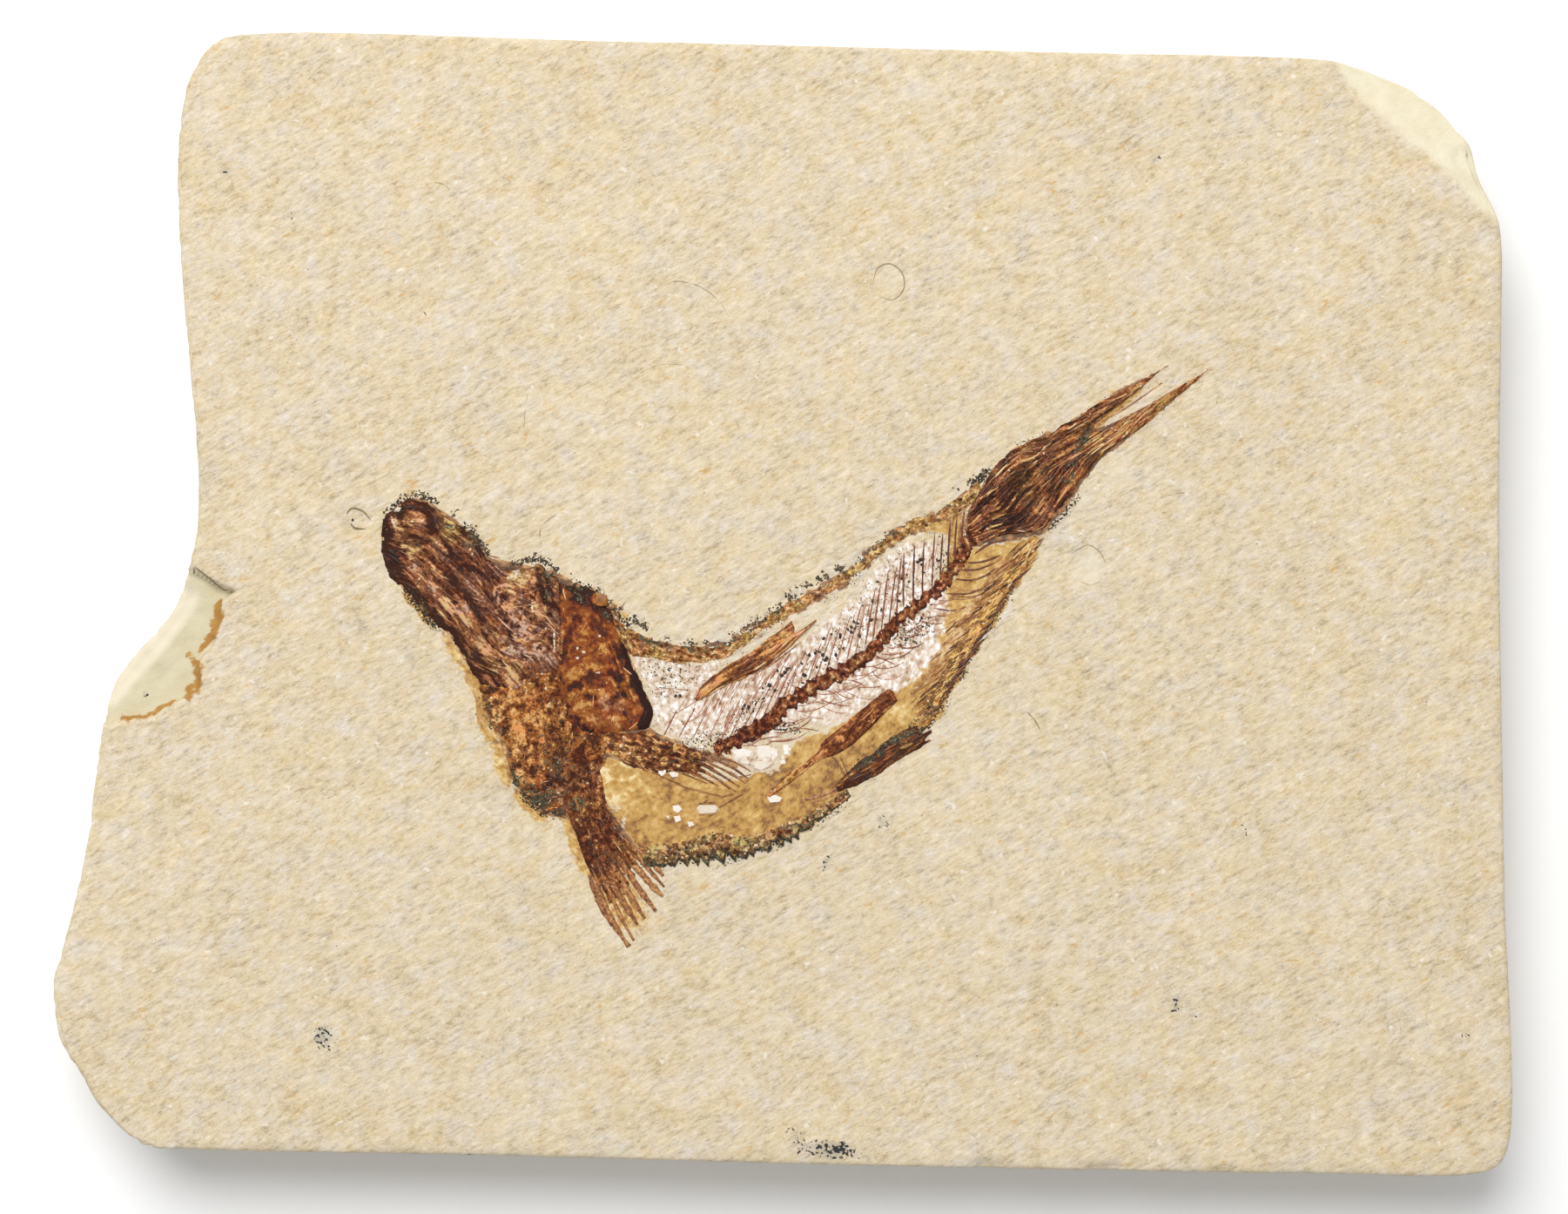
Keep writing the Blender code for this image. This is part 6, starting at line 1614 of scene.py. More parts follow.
        "streakAlong": 0.9, "streakAcross": 1.2, "streakPart": 0.35, "rimDark": 0.0, "paint": paintSupport,
        "finish": {"across": 1.6, "along": 1.2, "mottle": 4.2, "streakShare": 0.4},
    },
    {
        "name": "tailFin", "node": "tail_fin", "slot": "ray_bone", "palette": "tail", "grid": (250, 130),
        "seed": 41,
        "sides": (
            [(15.3, 7.6), (15.8, 8.7), (16.7, 10.2), (17.6, 11.6), (18.7, 12.6), (19.8, 13.3), (20.8, 13.7),
                (22.1, 14.0), (23.1, 14.9), (24.4, 15.4), (25.5, 16.3), (26.6, 16.9), (27.6, 17.4),
                (28.6, 17.9), (29.7, 18.5), (31.1, 19.3)],
            [(15.3, 4.9), (16.6, 5.0), (18.0, 5.5), (19.6, 5.7), (21.3, 6.0), (22.1, 6.7), (22.8, 7.6),
                (23.7, 8.8), (24.4, 9.8), (25.1, 10.7), (25.9, 11.7), (26.6, 12.4), (27.6, 13.2),
                (28.7, 13.9), (29.8, 14.7), (30.9, 15.7), (32.0, 16.7), (33.3, 17.7), (34.8, 19.0)],
            [(15.3, 7.6), (15.1, 6.3), (15.3, 4.9)],
            [(31.1, 19.3), (29.6, 17.9), (28.4, 17.0), (26.2, 15.7), (25.1, 14.4), (26.6, 14.4),
                (28.0, 15.2), (29.8, 16.2), (31.9, 17.5), (33.4, 18.4), (34.8, 19.0)]),
        "flake": (1.2, 0.35, 0.3), "crown": 0.34, "softEdge": 0.35, "ragged": 0.22, "ridge": 0.05,
        "lump": 0.03, "blotch": 0.9, "streakAlong": 0.24, "streakAcross": 2.6, "streakPart": 0.7,
        "rimDark": 0.2, "paint": paintTail,
        "finish": {"across": 4.5, "along": 0.55, "mottle": 3.9},
    },
    {
        "name": "bellyScutes", "node": "belly_scutes", "slot": "dark_crust", "palette": "crusty",
        "grid": (330, 34), "seed": 43,
        "sides": (
            [(-11.6, -20.0), (-10.0, -19.8), (-8.5, -19.5), (-6.7, -19.1), (-4.9, -18.7), (-3.6, -19.0),
                (-2.6, -19.0), (-1.3, -18.5), (0.1, -18.0), (1.7, -17.3), (3.3, -16.5), (5.3, -15.1)],
            [(-11.5, -21.6), (-9.9, -21.7), (-8.1, -21.7), (-6.3, -21.7), (-4.8, -21.6), (-3.3, -21.2),
                (-1.7, -20.7), (-0.3, -20.2), (1.1, -19.6), (2.4, -18.5), (4.0, -17.2), (5.7, -15.8)],
            [(-11.6, -20.0), (-11.5, -20.8), (-11.5, -21.6)], [(5.3, -15.1), (5.7, -15.8)]),
        "flake": (0.5, 0.4, 0.35), "crown": 0.24, "softEdge": 0.25, "ragged": 0.08, "ridge": 0.02,
        "lump": 0.05, "blotch": 0.45, "streakAlong": 1.0, "streakAcross": 1.6, "streakPart": 0.3,
        "rimDark": 0.0, "paint": paintScutes,
        "finish": {"across": 2.5, "along": 2.0, "mottle": 5.4, "gloss": 0.55},
    },
    {
        "name": "backRidge", "node": "back_ridge", "slot": "golden_bone", "palette": "ridge",
        "grid": (430, 22), "seed": 47,
        "sides": (
            [(-14.2, -0.6), (-12.6, -1.9), (-11.0, -2.6), (-8.5, -3.3), (-6.2, -3.4), (-4.8, -3.1),
                (-3.5, -2.4), (-1.9, -1.3), (-0.6, -0.4), (0.8, 0.4), (2.3, 1.1), (4.0, 2.1), (5.5, 3.1),
                (7.3, 4.5), (8.7, 5.8), (10.8, 7.1), (13.0, 7.9), (14.4, 8.9), (16.1, 10.4)],
            [(-13.3, -3.7), (-12.1, -4.3), (-10.8, -4.5), (-8.5, -4.9), (-6.0, -4.8), (-4.5, -4.4),
                (-3.3, -3.6), (-1.9, -2.6), (-0.6, -1.7), (0.8, -0.9), (2.3, -0.1), (4.0, 0.9), (5.5, 1.9),
                (7.3, 3.3), (8.7, 4.4), (10.8, 5.8), (13.0, 6.7), (14.7, 7.6), (16.6, 9.2)],
            [(-14.2, -0.6), (-13.8, -2.1), (-13.3, -3.7)], [(16.1, 10.4), (16.6, 9.2)]),
        "flake": (0.5, 0.4, 0.4), "crown": 0.16, "softEdge": 0.3, "ragged": 0.26, "ridge": 0.02,
        "lump": 0.05, "blotch": 0.5, "streakAlong": 0.8, "streakAcross": 1.8, "streakPart": 0.35,
        "rimDark": 0.0, "paint": paintRidge,
        "finish": {"across": 3.0, "along": 1.6, "mottle": 5.1, "gloss": 0.55},
    }]

for shape in plates:
    bonePlate(shape, boneFinish(shape["name"] + "Bone", shape["palette"], **shape["finish"]))
print("bone plates ready")


skinStone = bodyFinish()
makeSkin(
    "bodyStains",
    (
        [
            (-14.9, 0.3), (-11.3, -1.7), (-8.5, -2.3), (-6.0, -2.3), (-3.5, -1.3), (-0.6, 0.7), (2.3, 2.3),
            (5.5, 4.3), (8.0, 6.3), (10.8, 8.0), (13.7, 9.3), (16.0, 10.7)],
        [
            (-17.4, -17.2), (-14.9, -19.9), (-11.5, -22.6), (-8.1, -23.2), (-4.8, -23.0), (-1.7, -22.2),
            (1.0, -21.2), (3.3, -19.9), (5.5, -18.2), (7.5, -16.3), (10.1, -14.6), (12.6, -12.7),
            (13.8, -10.9), (15.6, -8.0), (17.4, -5.0), (19.2, -1.9), (20.8, 1.0), (22.3, 3.6), (22.8, 6.3)],
        [(-14.9, 0.3), (-13.1, -4.7), (-12.2, -8.7), (-14.3, -11.2), (-16.2, -14.4), (-17.4, -17.2)],
        [(16.0, 10.7), (16.6, 8.2), (18.7, 6.7), (22.8, 6.3)]),
    330, 150, paintBody)
makeSkin(
    "headStains",
    (
        [
            (-33.9, 6.7), (-33.6, 3.3), (-31.7, 0.3), (-29.9, -1.9), (-27.8, -5.1), (-25.9, -7.7),
            (-25.6, -10.4), (-24.2, -13.7), (-22.8, -15.8), (-21.0, -17.9), (-18.8, -18.9), (-17.9, -21.5),
            (-16.2, -25.5), (-14.3, -29.3)],
        [
            (-32.8, 9.2), (-29.9, 10.0), (-26.9, 8.3), (-25.1, 6.7), (-23.3, 4.6), (-21.3, 4.0),
            (-18.8, 4.6), (-14.9, 2.7), (-12.1, 0.3), (-10.5, -4.7), (-9.3, -8.7), (-7.0, -10.6),
            (-1.3, -14.0), (-3.5, -16.5), (-8.5, -15.1), (-12.1, -15.1), (-11.2, -18.3), (-8.3, -22.5)],
        [(-33.9, 6.7), (-33.6, 8.2), (-32.8, 9.2)], [(-14.3, -29.3), (-11.0, -28.7), (-8.3, -22.5)]),
    222, 104, paintHead)
makeSkin(
    "tailStains",
    (
        [
            (13.7, 7.4), (14.8, 9.4), (16.2, 11.7), (18.3, 13.9), (20.8, 15.0), (23.7, 16.3), (26.9, 18.3),
            (30.9, 20.5), (33.4, 21.2)],
        [
            (13.8, 3.9), (16.6, 3.9), (19.4, 4.3), (22.1, 4.7), (24.1, 6.4), (26.0, 9.4), (27.6, 11.4),
            (30.1, 13.3), (33.7, 16.3), (36.6, 19.0)],
        [(13.7, 7.4), (13.6, 5.6), (13.8, 3.9)], [(33.4, 21.2), (35.5, 20.7), (36.6, 19.0)]),
    180, 80, paintTailBed)


# Half-sunk ridges along many paths at once. paths is (count, stations, 3), with a width, a height and
# a tone for each. A few points stand round each station, on a lens that narrows towards both ends.
ridgeRings = {
    "lens": ((-0.5, 0.0), (-0.32, 0.75), (0.0, 1.0), (0.32, 0.75), (0.5, 0.0), (0.0, None)),
    "splint": ((-0.5, 0.0), (0.0, 1.0), (0.5, 0.0), (0.0, None)),
}


# Each ring stands square to its path: width * taper * side across it, and height * taper * rise up from it.
def makeRidges(
    name, paths, widths, heights, masks, material, node=None, ring="lens", blunt=0.0,
    sink=0.12):
    count, stations = paths.shape[:2]
    around = len(ridgeRings[ring])
    ringAcross, ringUp = np.array([(side, up or 0.0) for side, up in ridgeRings[ring]]).T
    share = np.linspace(0.0, 1.0, stations)
    taper = 0.12 + 0.88 * np.minimum(1.0, 4.0 * np.minimum(share * 1.6, 1 - share)) ** 0.7
    taper = np.maximum(taper, blunt)
    ahead = np.gradient(paths[..., :2], axis=1)
    ahead /= np.linalg.norm(ahead, axis=2)[..., None]
    sideways = np.stack([-ahead[..., 1], ahead[..., 0]], axis=-1)
    wobble = planeNoise(paths[..., 0] / 0.4, paths[..., 1] / 0.4, 401)
    across = (widths[:, None] * taper * (1 + 0.4 * wobble))[..., None] * ringAcross
    place = paths[:, :, None, :2] + sideways[:, :, None, :] * across[..., None]
    z = paths[..., 2:3] + (heights[:, None] * taper)[..., None] * ringUp - 0.03
    z[..., -1] = paths[..., 2] - sink
    points = np.concatenate([place, z[..., None]], axis=-1)
    first = (np.arange(count)[:, None, None] * stations + np.arange(stations - 1)[None, :, None]) * around
    turn = np.arange(around)[None, None, :]
    after = (turn + 1) % around
    quads = np.stack([first + turn, first + turn + around, first + after + around, first + after], axis=-1)
    starts = np.arange(count)[:, None] * stations * around
    heads = starts + np.arange(around)[None, :]
    tails = starts + (stations - 1) * around + np.arange(around)[None, ::-1]
    shades = {}
    for key, values in masks.items():
        shade = values[:, None, None] + (0.12 * wobble[..., None] if key == "tone" else 0.0)
        shades[key] = np.clip((shade + np.zeros((1, stations, around))).ravel(), 0, 1)
    piece = makePiece(name, points.reshape(-1, 3), [quads.reshape(-1, 4), heads, tails], material, shades)
    if node:
        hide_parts(node)
    print(name, count, "ridges")
    return piece


# Ridges that lie on the split face, from a list of (points, width, height, tone).
def makeStrands(name, lines, material, node=None, stations=14, blunt=0.0):
    flat = np.array([smoothCurve(points, stations) for points, *_ in lines])
    z = faceZ - 0.02 + faceWaves(flat[..., 0], flat[..., 1])
    widths, heights, tones = np.array([rest for _, *rest in lines]).T
    return makeRidges(
        name, np.dstack([flat, z]), widths, heights, {"tone": tones}, material, node, blunt=blunt)


# Fibres that lie on a plate and follow its own grid: each starts at a random place and runs for a
# random length along it, drifting a little across it.
def fibresOn(surface, count, lengths, drift, random, stations=5, within=(0.03, 0.97)):
    rows, columns = surface.shape[:2]
    size = np.linalg.norm(surface[-1, columns // 2, :2] - surface[0, columns // 2, :2])
    run = random.uniform(*lengths, count) / size
    u = random.uniform(within[0], within[1], count)[:, None] + run[:, None] * np.linspace(0, 1, stations)
    v = random.uniform(0.06, 0.94, count)[:, None]
    aside = random.normal(0, drift, count)[:, None]
    v = v + aside * np.linspace(0, 1, stations) ** 1.3
    row = np.clip(u, 0.01, 0.985) * (rows - 1)
    column = np.clip(v, 0.02, 0.98) * (columns - 1)
    row0 = np.minimum(row.astype(int), rows - 2)
    column0 = np.minimum(column.astype(int), columns - 2)
    rowPart, columnPart = (row - row0)[..., None], (column - column0)[..., None]
    near = surface[row0, column0] * (1 - columnPart) + surface[row0, column0 + 1] * columnPart
    far = surface[row0 + 1, column0] * (1 - columnPart) + surface[row0 + 1, column0 + 1] * columnPart
    paths = near * (1 - rowPart) + far * rowPart
    travel = np.linalg.norm(paths[:, -1, :2] - paths[:, 0, :2], axis=1)
    return paths[travel > 0.15]


# Crumbs that sit on a plate at random places, each with the plate's own tone give or take a little.
def crumbsOn(surface, count, sizes, random, spread=0.3, within=(0.02, 0.98)):
    rows, columns = surface.shape[:2]
    row = (random.uniform(*within, count) * (rows - 1)).astype(int)
    column = (random.uniform(0.04, 0.96, count) * (columns - 1)).astype(int)
    x, y, z, tone = surface[row, column].T[:4]
    size = sizes[0] + (sizes[1] - sizes[0]) * random.uniform(0, 1, count) ** 2
    tone = np.clip(tone + random.normal(0, spread, count), 0, 1)
    lift = z - (faceZ - 0.02 + faceWaves(x, y))
    return np.column_stack([x, y, size, size * 0.4, tone, lift])


# Small half-sunk lumps: each is a flattened ball of 14 points, turned and stretched at random.
# A lump is (x, y, size across, height, tone, lift over the face).
def makeGrains(name, lumps, material, seed, shelf=0.66, sharpAngle=None):
    random = np.random.default_rng(seed)
    steps = np.arange(6) * np.pi / 3
    upper = np.column_stack(
        [shelf * np.cos(steps), shelf * np.sin(steps), np.full(6, 0.5 + 0.5 * (shelf > 0.8))])
    lower = np.column_stack([np.cos(steps + 0.52), np.sin(steps + 0.52), np.full(6, -0.1)])
    ball = np.vstack([(0.0, 0.0, 1.0), upper, lower, (0.0, 0.0, -0.9)])
    ring = np.arange(6)
    after = (ring + 1) % 6
    triangles = np.vstack(
        [
            np.column_stack([np.zeros(6, int), 1 + ring, 1 + after]),
            np.column_stack([1 + ring, 7 + ring, 1 + after]),
            np.column_stack([1 + after, 7 + ring, 7 + after]),
            np.column_stack([7 + after, 7 + ring, np.full(6, 13)])])
    count = len(lumps)
    angle = random.uniform(0, 2 * np.pi, (count, 1))
    rough = 1 + random.uniform(-0.28, 0.28, (count, 14))
    stretch = random.uniform(0.75, 1.3, (count, 1))
    bx, by, bz = ball[:, 0] * rough * stretch, ball[:, 1] * rough / stretch, ball[:, 2] * rough
    half = lumps[:, 2:3] / 2
    x = lumps[:, :1] + half * (bx * np.cos(angle) - by * np.sin(angle))
    y = lumps[:, 1:2] + half * (bx * np.sin(angle) + by * np.cos(angle))
    base = faceZ - 0.02 + faceWaves(lumps[:, 0], lumps[:, 1])
    z = (base + lumps[:, 5])[:, None] + lumps[:, 3:4] * bz
    points = np.stack([x, y, z], axis=-1).reshape(-1, 3)
    faces = (np.arange(count)[:, None, None] * 14 + triangles[None]).reshape(-1, 3)
    tones = np.repeat(lumps[:, 4], 14)
    piece = makePiece(name, points, [faces], material, {"tone": tones}, sharpAngle=sharpAngle)
    print(name, count, "grains")
    return piece


# Thin angular flakes: a flat top a little smaller than the foot, which is sunk in the face.
def makeFlakes(name, outlines, material, height=0.07):
    points, triangles, tones, start = [], [], [], 0
    for outline, tone in outlines:
        foot = np.array(outline)
        around = np.roll(foot, -1, axis=0)
        if np.sum(foot[:, 0] * around[:, 1] - foot[:, 1] * around[:, 0]) < 0:
            foot = foot[::-1]
        middle, count = foot.mean(axis=0), len(foot)
        flat = np.vstack([foot, middle + (foot - middle) * 0.86, middle, middle])
        rise = np.concatenate([np.full(count, -0.05), np.full(count, height), [height * 1.15, -0.05]])
        points.append(np.column_stack([flat, faceZ + faceWaves(flat[:, 0], flat[:, 1]) + rise]))
        ring = np.arange(count)
        after = (ring + 1) % count
        top, low = np.full(count, 2 * count), np.full(count, 2 * count + 1)
        triangles.append(
            start
            + np.vstack(
                [
                    np.column_stack([ring, after, count + ring]),
                    np.column_stack([after, count + after, count + ring]),
                    np.column_stack([top, count + ring, count + after]),
                    np.column_stack([low, after, ring])]))
        tones.append(np.full(2 * count + 2, tone))
        start += 2 * count + 2
    piece = makePiece(
        name, np.vstack(points), [np.vstack(triangles)], material, {"tone": np.concatenate(tones)},
        sharpAngle=30)
    print(name, len(outlines), "flakes")


chipOutlines = [
    (
        [(-10.26, -13.37), (-9.83, -13.16), (-9.48, -13.37), (-9.55, -13.87), (-9.9, -14.16),
            (-10.19, -13.87)],
        0.8),
    ([(-9.4, -13.8), (-8.97, -13.66), (-8.47, -13.87), (-8.55, -14.16), (-9.05, -14.23)], 0.6),
    ([(-9.05, -16.52), (-8.47, -16.45), (-8.19, -16.81), (-8.55, -17.16), (-8.97, -16.95)], 0.7),
    ([(-8.97, -17.38), (-8.4, -17.31), (-8.26, -17.74), (-8.76, -17.95)], 0.6),
    ([(-7.83, -17.81), (-7.33, -17.81), (-7.19, -18.16), (-7.69, -18.31)], 0.5),
    ([(-9.62, -17.38), (-9.26, -17.31), (-9.26, -17.66)], 0.5),
    (
        [(-7.12, -16.73), (-6.83, -16.45), (-5.47, -16.45), (-5.18, -16.73), (-5.47, -17.16),
            (-6.83, -17.23)],
        0.35),
    ([(-6.76, -11.51), (-6.4, -11.59), (-6.47, -11.87), (-6.76, -11.8)], 0.6),
    ([(-4.26, -12.01), (-3.33, -11.8), (-2.32, -12.01), (-2.61, -12.51), (-3.75, -12.59)], 0.7),
    ([(-2.18, -11.59), (-1.32, -11.51), (-0.68, -11.87), (-0.89, -12.59), (-2.04, -12.66)], 0.6),
    ([(0.04, -11.51), (0.54, -11.51), (0.54, -12.37), (0.11, -12.37)], 0.8),
    ([(-2.32, -12.87), (-1.47, -12.8), (-1.04, -13.3), (-1.75, -13.66), (-2.32, -13.44)], 0.5),
    ([(-3.61, -12.8), (-2.75, -12.8), (-2.68, -13.16), (-3.33, -13.09)], 0.5),
    ([(-1.32, -15.8), (-0.61, -15.59), (0.04, -15.88), (-0.18, -16.23), (-1.04, -16.31)], 0.7),
    ([(11.98, 0.5), (12.48, 0.57), (12.62, 0.14), (12.12, 0.0)], 0.7),
    ([(12.12, -0.64), (12.69, -0.64), (12.69, -0.93), (12.19, -1.0)], 0.6),
    ([(-0.25, -12.8), (0.25, -12.73), (0.32, -13.09), (-0.18, -13.16)], 0.6),
    ([(10.41, 0.43), (10.76, 0.43), (10.69, 0.07)], 0.5)]


# Lumps scattered about a line, normally spread across it, thinned by a noise so that they cluster.
def scatterAlong(line, count, spread, sizes, tones, random, lift=0.0, clump=0.9):
    path = smoothCurve(line, 200)
    pick = random.integers(0, 200, count * 3)
    place = path[pick] + random.normal(0.0, spread, (count * 3, 2))
    thick = layeredNoise(
        place[:, 0] / clump, place[:, 1] / clump, 3, 431) + random.uniform(-0.3, 0.3, len(place))
    place = place[np.argsort(-thick)][:count]
    size = random.uniform(*sizes, len(place))
    tone = random.uniform(*tones, len(place))
    return np.column_stack([place, size, size * 0.32, tone, np.full(len(place), lift)])


# A finish that takes its colour from the piece's own tone, varied by a fine noise.
def plainRamp(name, stops, roughness=0.6, fineness=5.0, share=0.5, amber=False):
    material, bench, shader, place = startMaterial(name)
    fine = bench.noise(place, fineness, 3.0, 0.65)
    tone = bench.sway(bench.mask("tone"), fine, share * 2, True)
    colour = bench.ramp(
        tone, [(stop, tint(*shade)) for stop, shade in zip(np.linspace(0.05, 0.95, len(stops)), stops)])
    if amber:
        colour = bench.mix(1.0, colour, bench.ramp(bench.mask("warmth"), boneLook["warmth"]), "MULTIPLY")
        colour = bench.mix(bench.mask("amber"), colour, bench.ramp(tone, boneLook["amber"]))
    bench.finish(shader, colour, fine, 0.4, 0.00008, roughness)
    return material


# the backbone: a chain of beads, dark between them, with spines that rise and fall from it
backboneLine = [(-5.5, -12.0), (-4.6, -11.5), (-3.8, -11.2), (-2.9, -10.7), (-2.0, -10.3), (-0.9, -9.4),
    (0.1, -8.4), (1.5, -7.5), (3.0, -6.5), (4.8, -5.6), (6.5, -4.5), (8.2, -2.9), (9.8, -1.1), (11.2, 0.0),
    (12.6, 1.1), (13.7, 2.4), (14.4, 3.5), (15.0, 4.4), (15.7, 5.9)]


# Points on a line moved sideways: the smooth curve plus its unit normal times the offset.
def besideLine(points, offset, count=24):
    path = smoothCurve(points, 200)
    ahead = np.gradient(path, axis=0)
    ahead /= np.linalg.norm(ahead, axis=1)[:, None]
    moved = path + np.column_stack([-ahead[:, 1], ahead[:, 0]]) * offset
    return [tuple(point) for point in moved[np.linspace(0, 199, count).astype(int)]]


# Beads: |cos(pi * phase)| swells each one, and a half circle over the band's half width gives its height.
def paintBackbone(part):
    u, v, x, y = part.u, part.v, part.x, part.y
    beads = 27.0
    phase = u * beads + 0.35 * layeredNoise(u * 11, v * 1.4, 2, 55)
    swell = np.abs(np.cos(np.pi * phase)) ** 0.7
    fromMiddle = np.abs(v - 0.5 - 0.10 * layeredNoise(u * 13, u * 0.0, 2, 58)) * 2
    half = (0.57 + 0.24 * swell) * np.interp(u, [0, 0.12, 0.5, 0.75, 1], [0.78, 1.05, 0.86, 0.68, 0.95])
    half = half + 0.34 * layeredNoise(x / 0.5, y / 0.5, 3, 57)
    half = np.maximum(half, 0.2)
    part.lift = 0.30 * np.sqrt(np.clip(1 - (fromMiddle / half) ** 2, 0, 1)) * (0.7 + 0.3 * swell)
    part.lift -= 0.5 * np.clip(fromMiddle - half, 0, 1)
    part.tone += 0.16 * (swell - 0.55) + 0.25 * layeredNoise(x / 0.35, y / 0.35, 2, 59) - 0.2 * smoothStep(
        0.3, 1.0, fromMiddle / half) - 0.07
    part.warmth += 0.18
    part.tone -= 0.2 * softSpot(x, y, (15.3, 5.1), (1.2, 1.0), 0, 0.7)
    part.tone -= 0.2 * softSpot(x, y, (-2.8, -10.6), (2.2, 1.0), 30, 0.7)


# The backbone's plate lies between two lines that run beside its middle line.
def makeBackbone():
    ends = besideLine(backboneLine, 0.84)
    other = besideLine(backboneLine, -0.84)
    bonePlate(
        {
            "name": "backboneBeads", "node": "backbone", "slot": "spine_bone", "palette": "spine",
            "grid": (420, 20), "seed": 51,
            "sides": (ends, other, [ends[0], other[0]], [ends[-1], other[-1]]), "flake": (0.5, 0.35, 0.3),
            "crown": 0.3, "softEdge": 0.3, "ragged": 0.08, "ridge": 0.02, "lump": 0.08, "blotch": 0.4,
            "streakAlong": 1.6, "streakAcross": 1.4, "streakPart": 0.4, "rimDark": 0.05,
            "paint": paintBackbone},
        boneFinish("backboneBone", "spine", 3.0, 1.6, 3.6))


# Neural spines leave the backbone's upper side. Their lean from the +X direction grows from about
# 62 degrees behind the head to upright near the tail, and finer rods cross them over the front half.
def neuralSpines(random):
    path = smoothCurve(backboneLine, 400)
    run = np.concatenate([[0], np.cumsum(np.linalg.norm(np.diff(path, axis=0), axis=1))])
    path = np.column_stack([np.interp(np.linspace(0, run[-1], 400), run, path[:, axis]) for axis in (0, 1)])
    lines = []

    def rod(start, lean, reach, bow, thick, tone):
        bend = np.radians(lean) + np.linspace(bow, -bow, len(reach))
        points = np.column_stack([start[0] + reach * np.cos(bend), start[1] + reach * np.sin(bend)])
        lines.append((points, thick, 0.5 * thick + 0.02, tone))

    for share in np.linspace(-0.13, 0.985, 34):
        start = path[int(np.clip(share, 0, 1) * 399)] + (min(share, 0) * 34.0, min(share, 0) * -6.0)
        lean = np.interp(
            share, [0, 0.3, 0.5, 0.7, 0.85, 1.0], [64, 70, 80, 90, 88, 84]) + random.normal(0, 1.2)
        length = np.interp(
            share, [-0.13, 0, 0.25, 0.5, 0.75, 0.9, 1.0], [3.2, 4.6, 5.6, 6.0, 5.3, 4.4, 3.2])
        rear = smoothStep(0.4, 0.75, share)
        reach = np.linspace(random.uniform(0.3, 0.6), length * random.uniform(0.88, 1.06), 6)
        rod(
            start, lean, reach, 0.015, random.uniform(0.11, 0.15) + 0.05 * rear,
            0.50 - 0.32 * rear + random.normal(0, 0.07))
    for share in np.linspace(-0.08, 0.78, 44):
        lean = np.interp(share, [0, 0.35, 0.6, 0.8], [62, 70, 80, 88]) + random.normal(0, 4)
        reach = np.linspace(random.uniform(1.4, 3.0), random.uniform(3.6, 6.2), 4)
        rod(
            path[int(np.clip(share, 0, 1) * 399)], lean, reach, 0.02, random.uniform(0.07, 0.10),
            random.uniform(0.45, 0.8))
    for share in np.linspace(0.06, 0.84, 36):
        lean = np.interp(share, [0, 0.4, 0.8], [-6, -12, -18]) + random.normal(0, 5)
        reach = np.linspace(random.uniform(0.4, 0.9), random.uniform(2.4, 5.0), 5)
        rod(
            path[int(share * 399)], lean, reach, -0.32, random.uniform(0.08, 0.12),
            random.uniform(0.35, 0.7))
    corner, across, off = np.array((-8.1, -10.3)), np.array((8.6, 5.4)), np.array((-0.53, 0.85))
    for share, side in np.column_stack([random.uniform(0, 1, 96), random.uniform(-1.6, 1.8, 96)]):
        rod(
            corner + across * share + off * side, 62 + random.normal(0, 5),
            np.linspace(0, random.uniform(1.2, 3.0), 4), 0.03, random.uniform(0.06, 0.10),
            random.uniform(0.4, 0.8))
    return lines


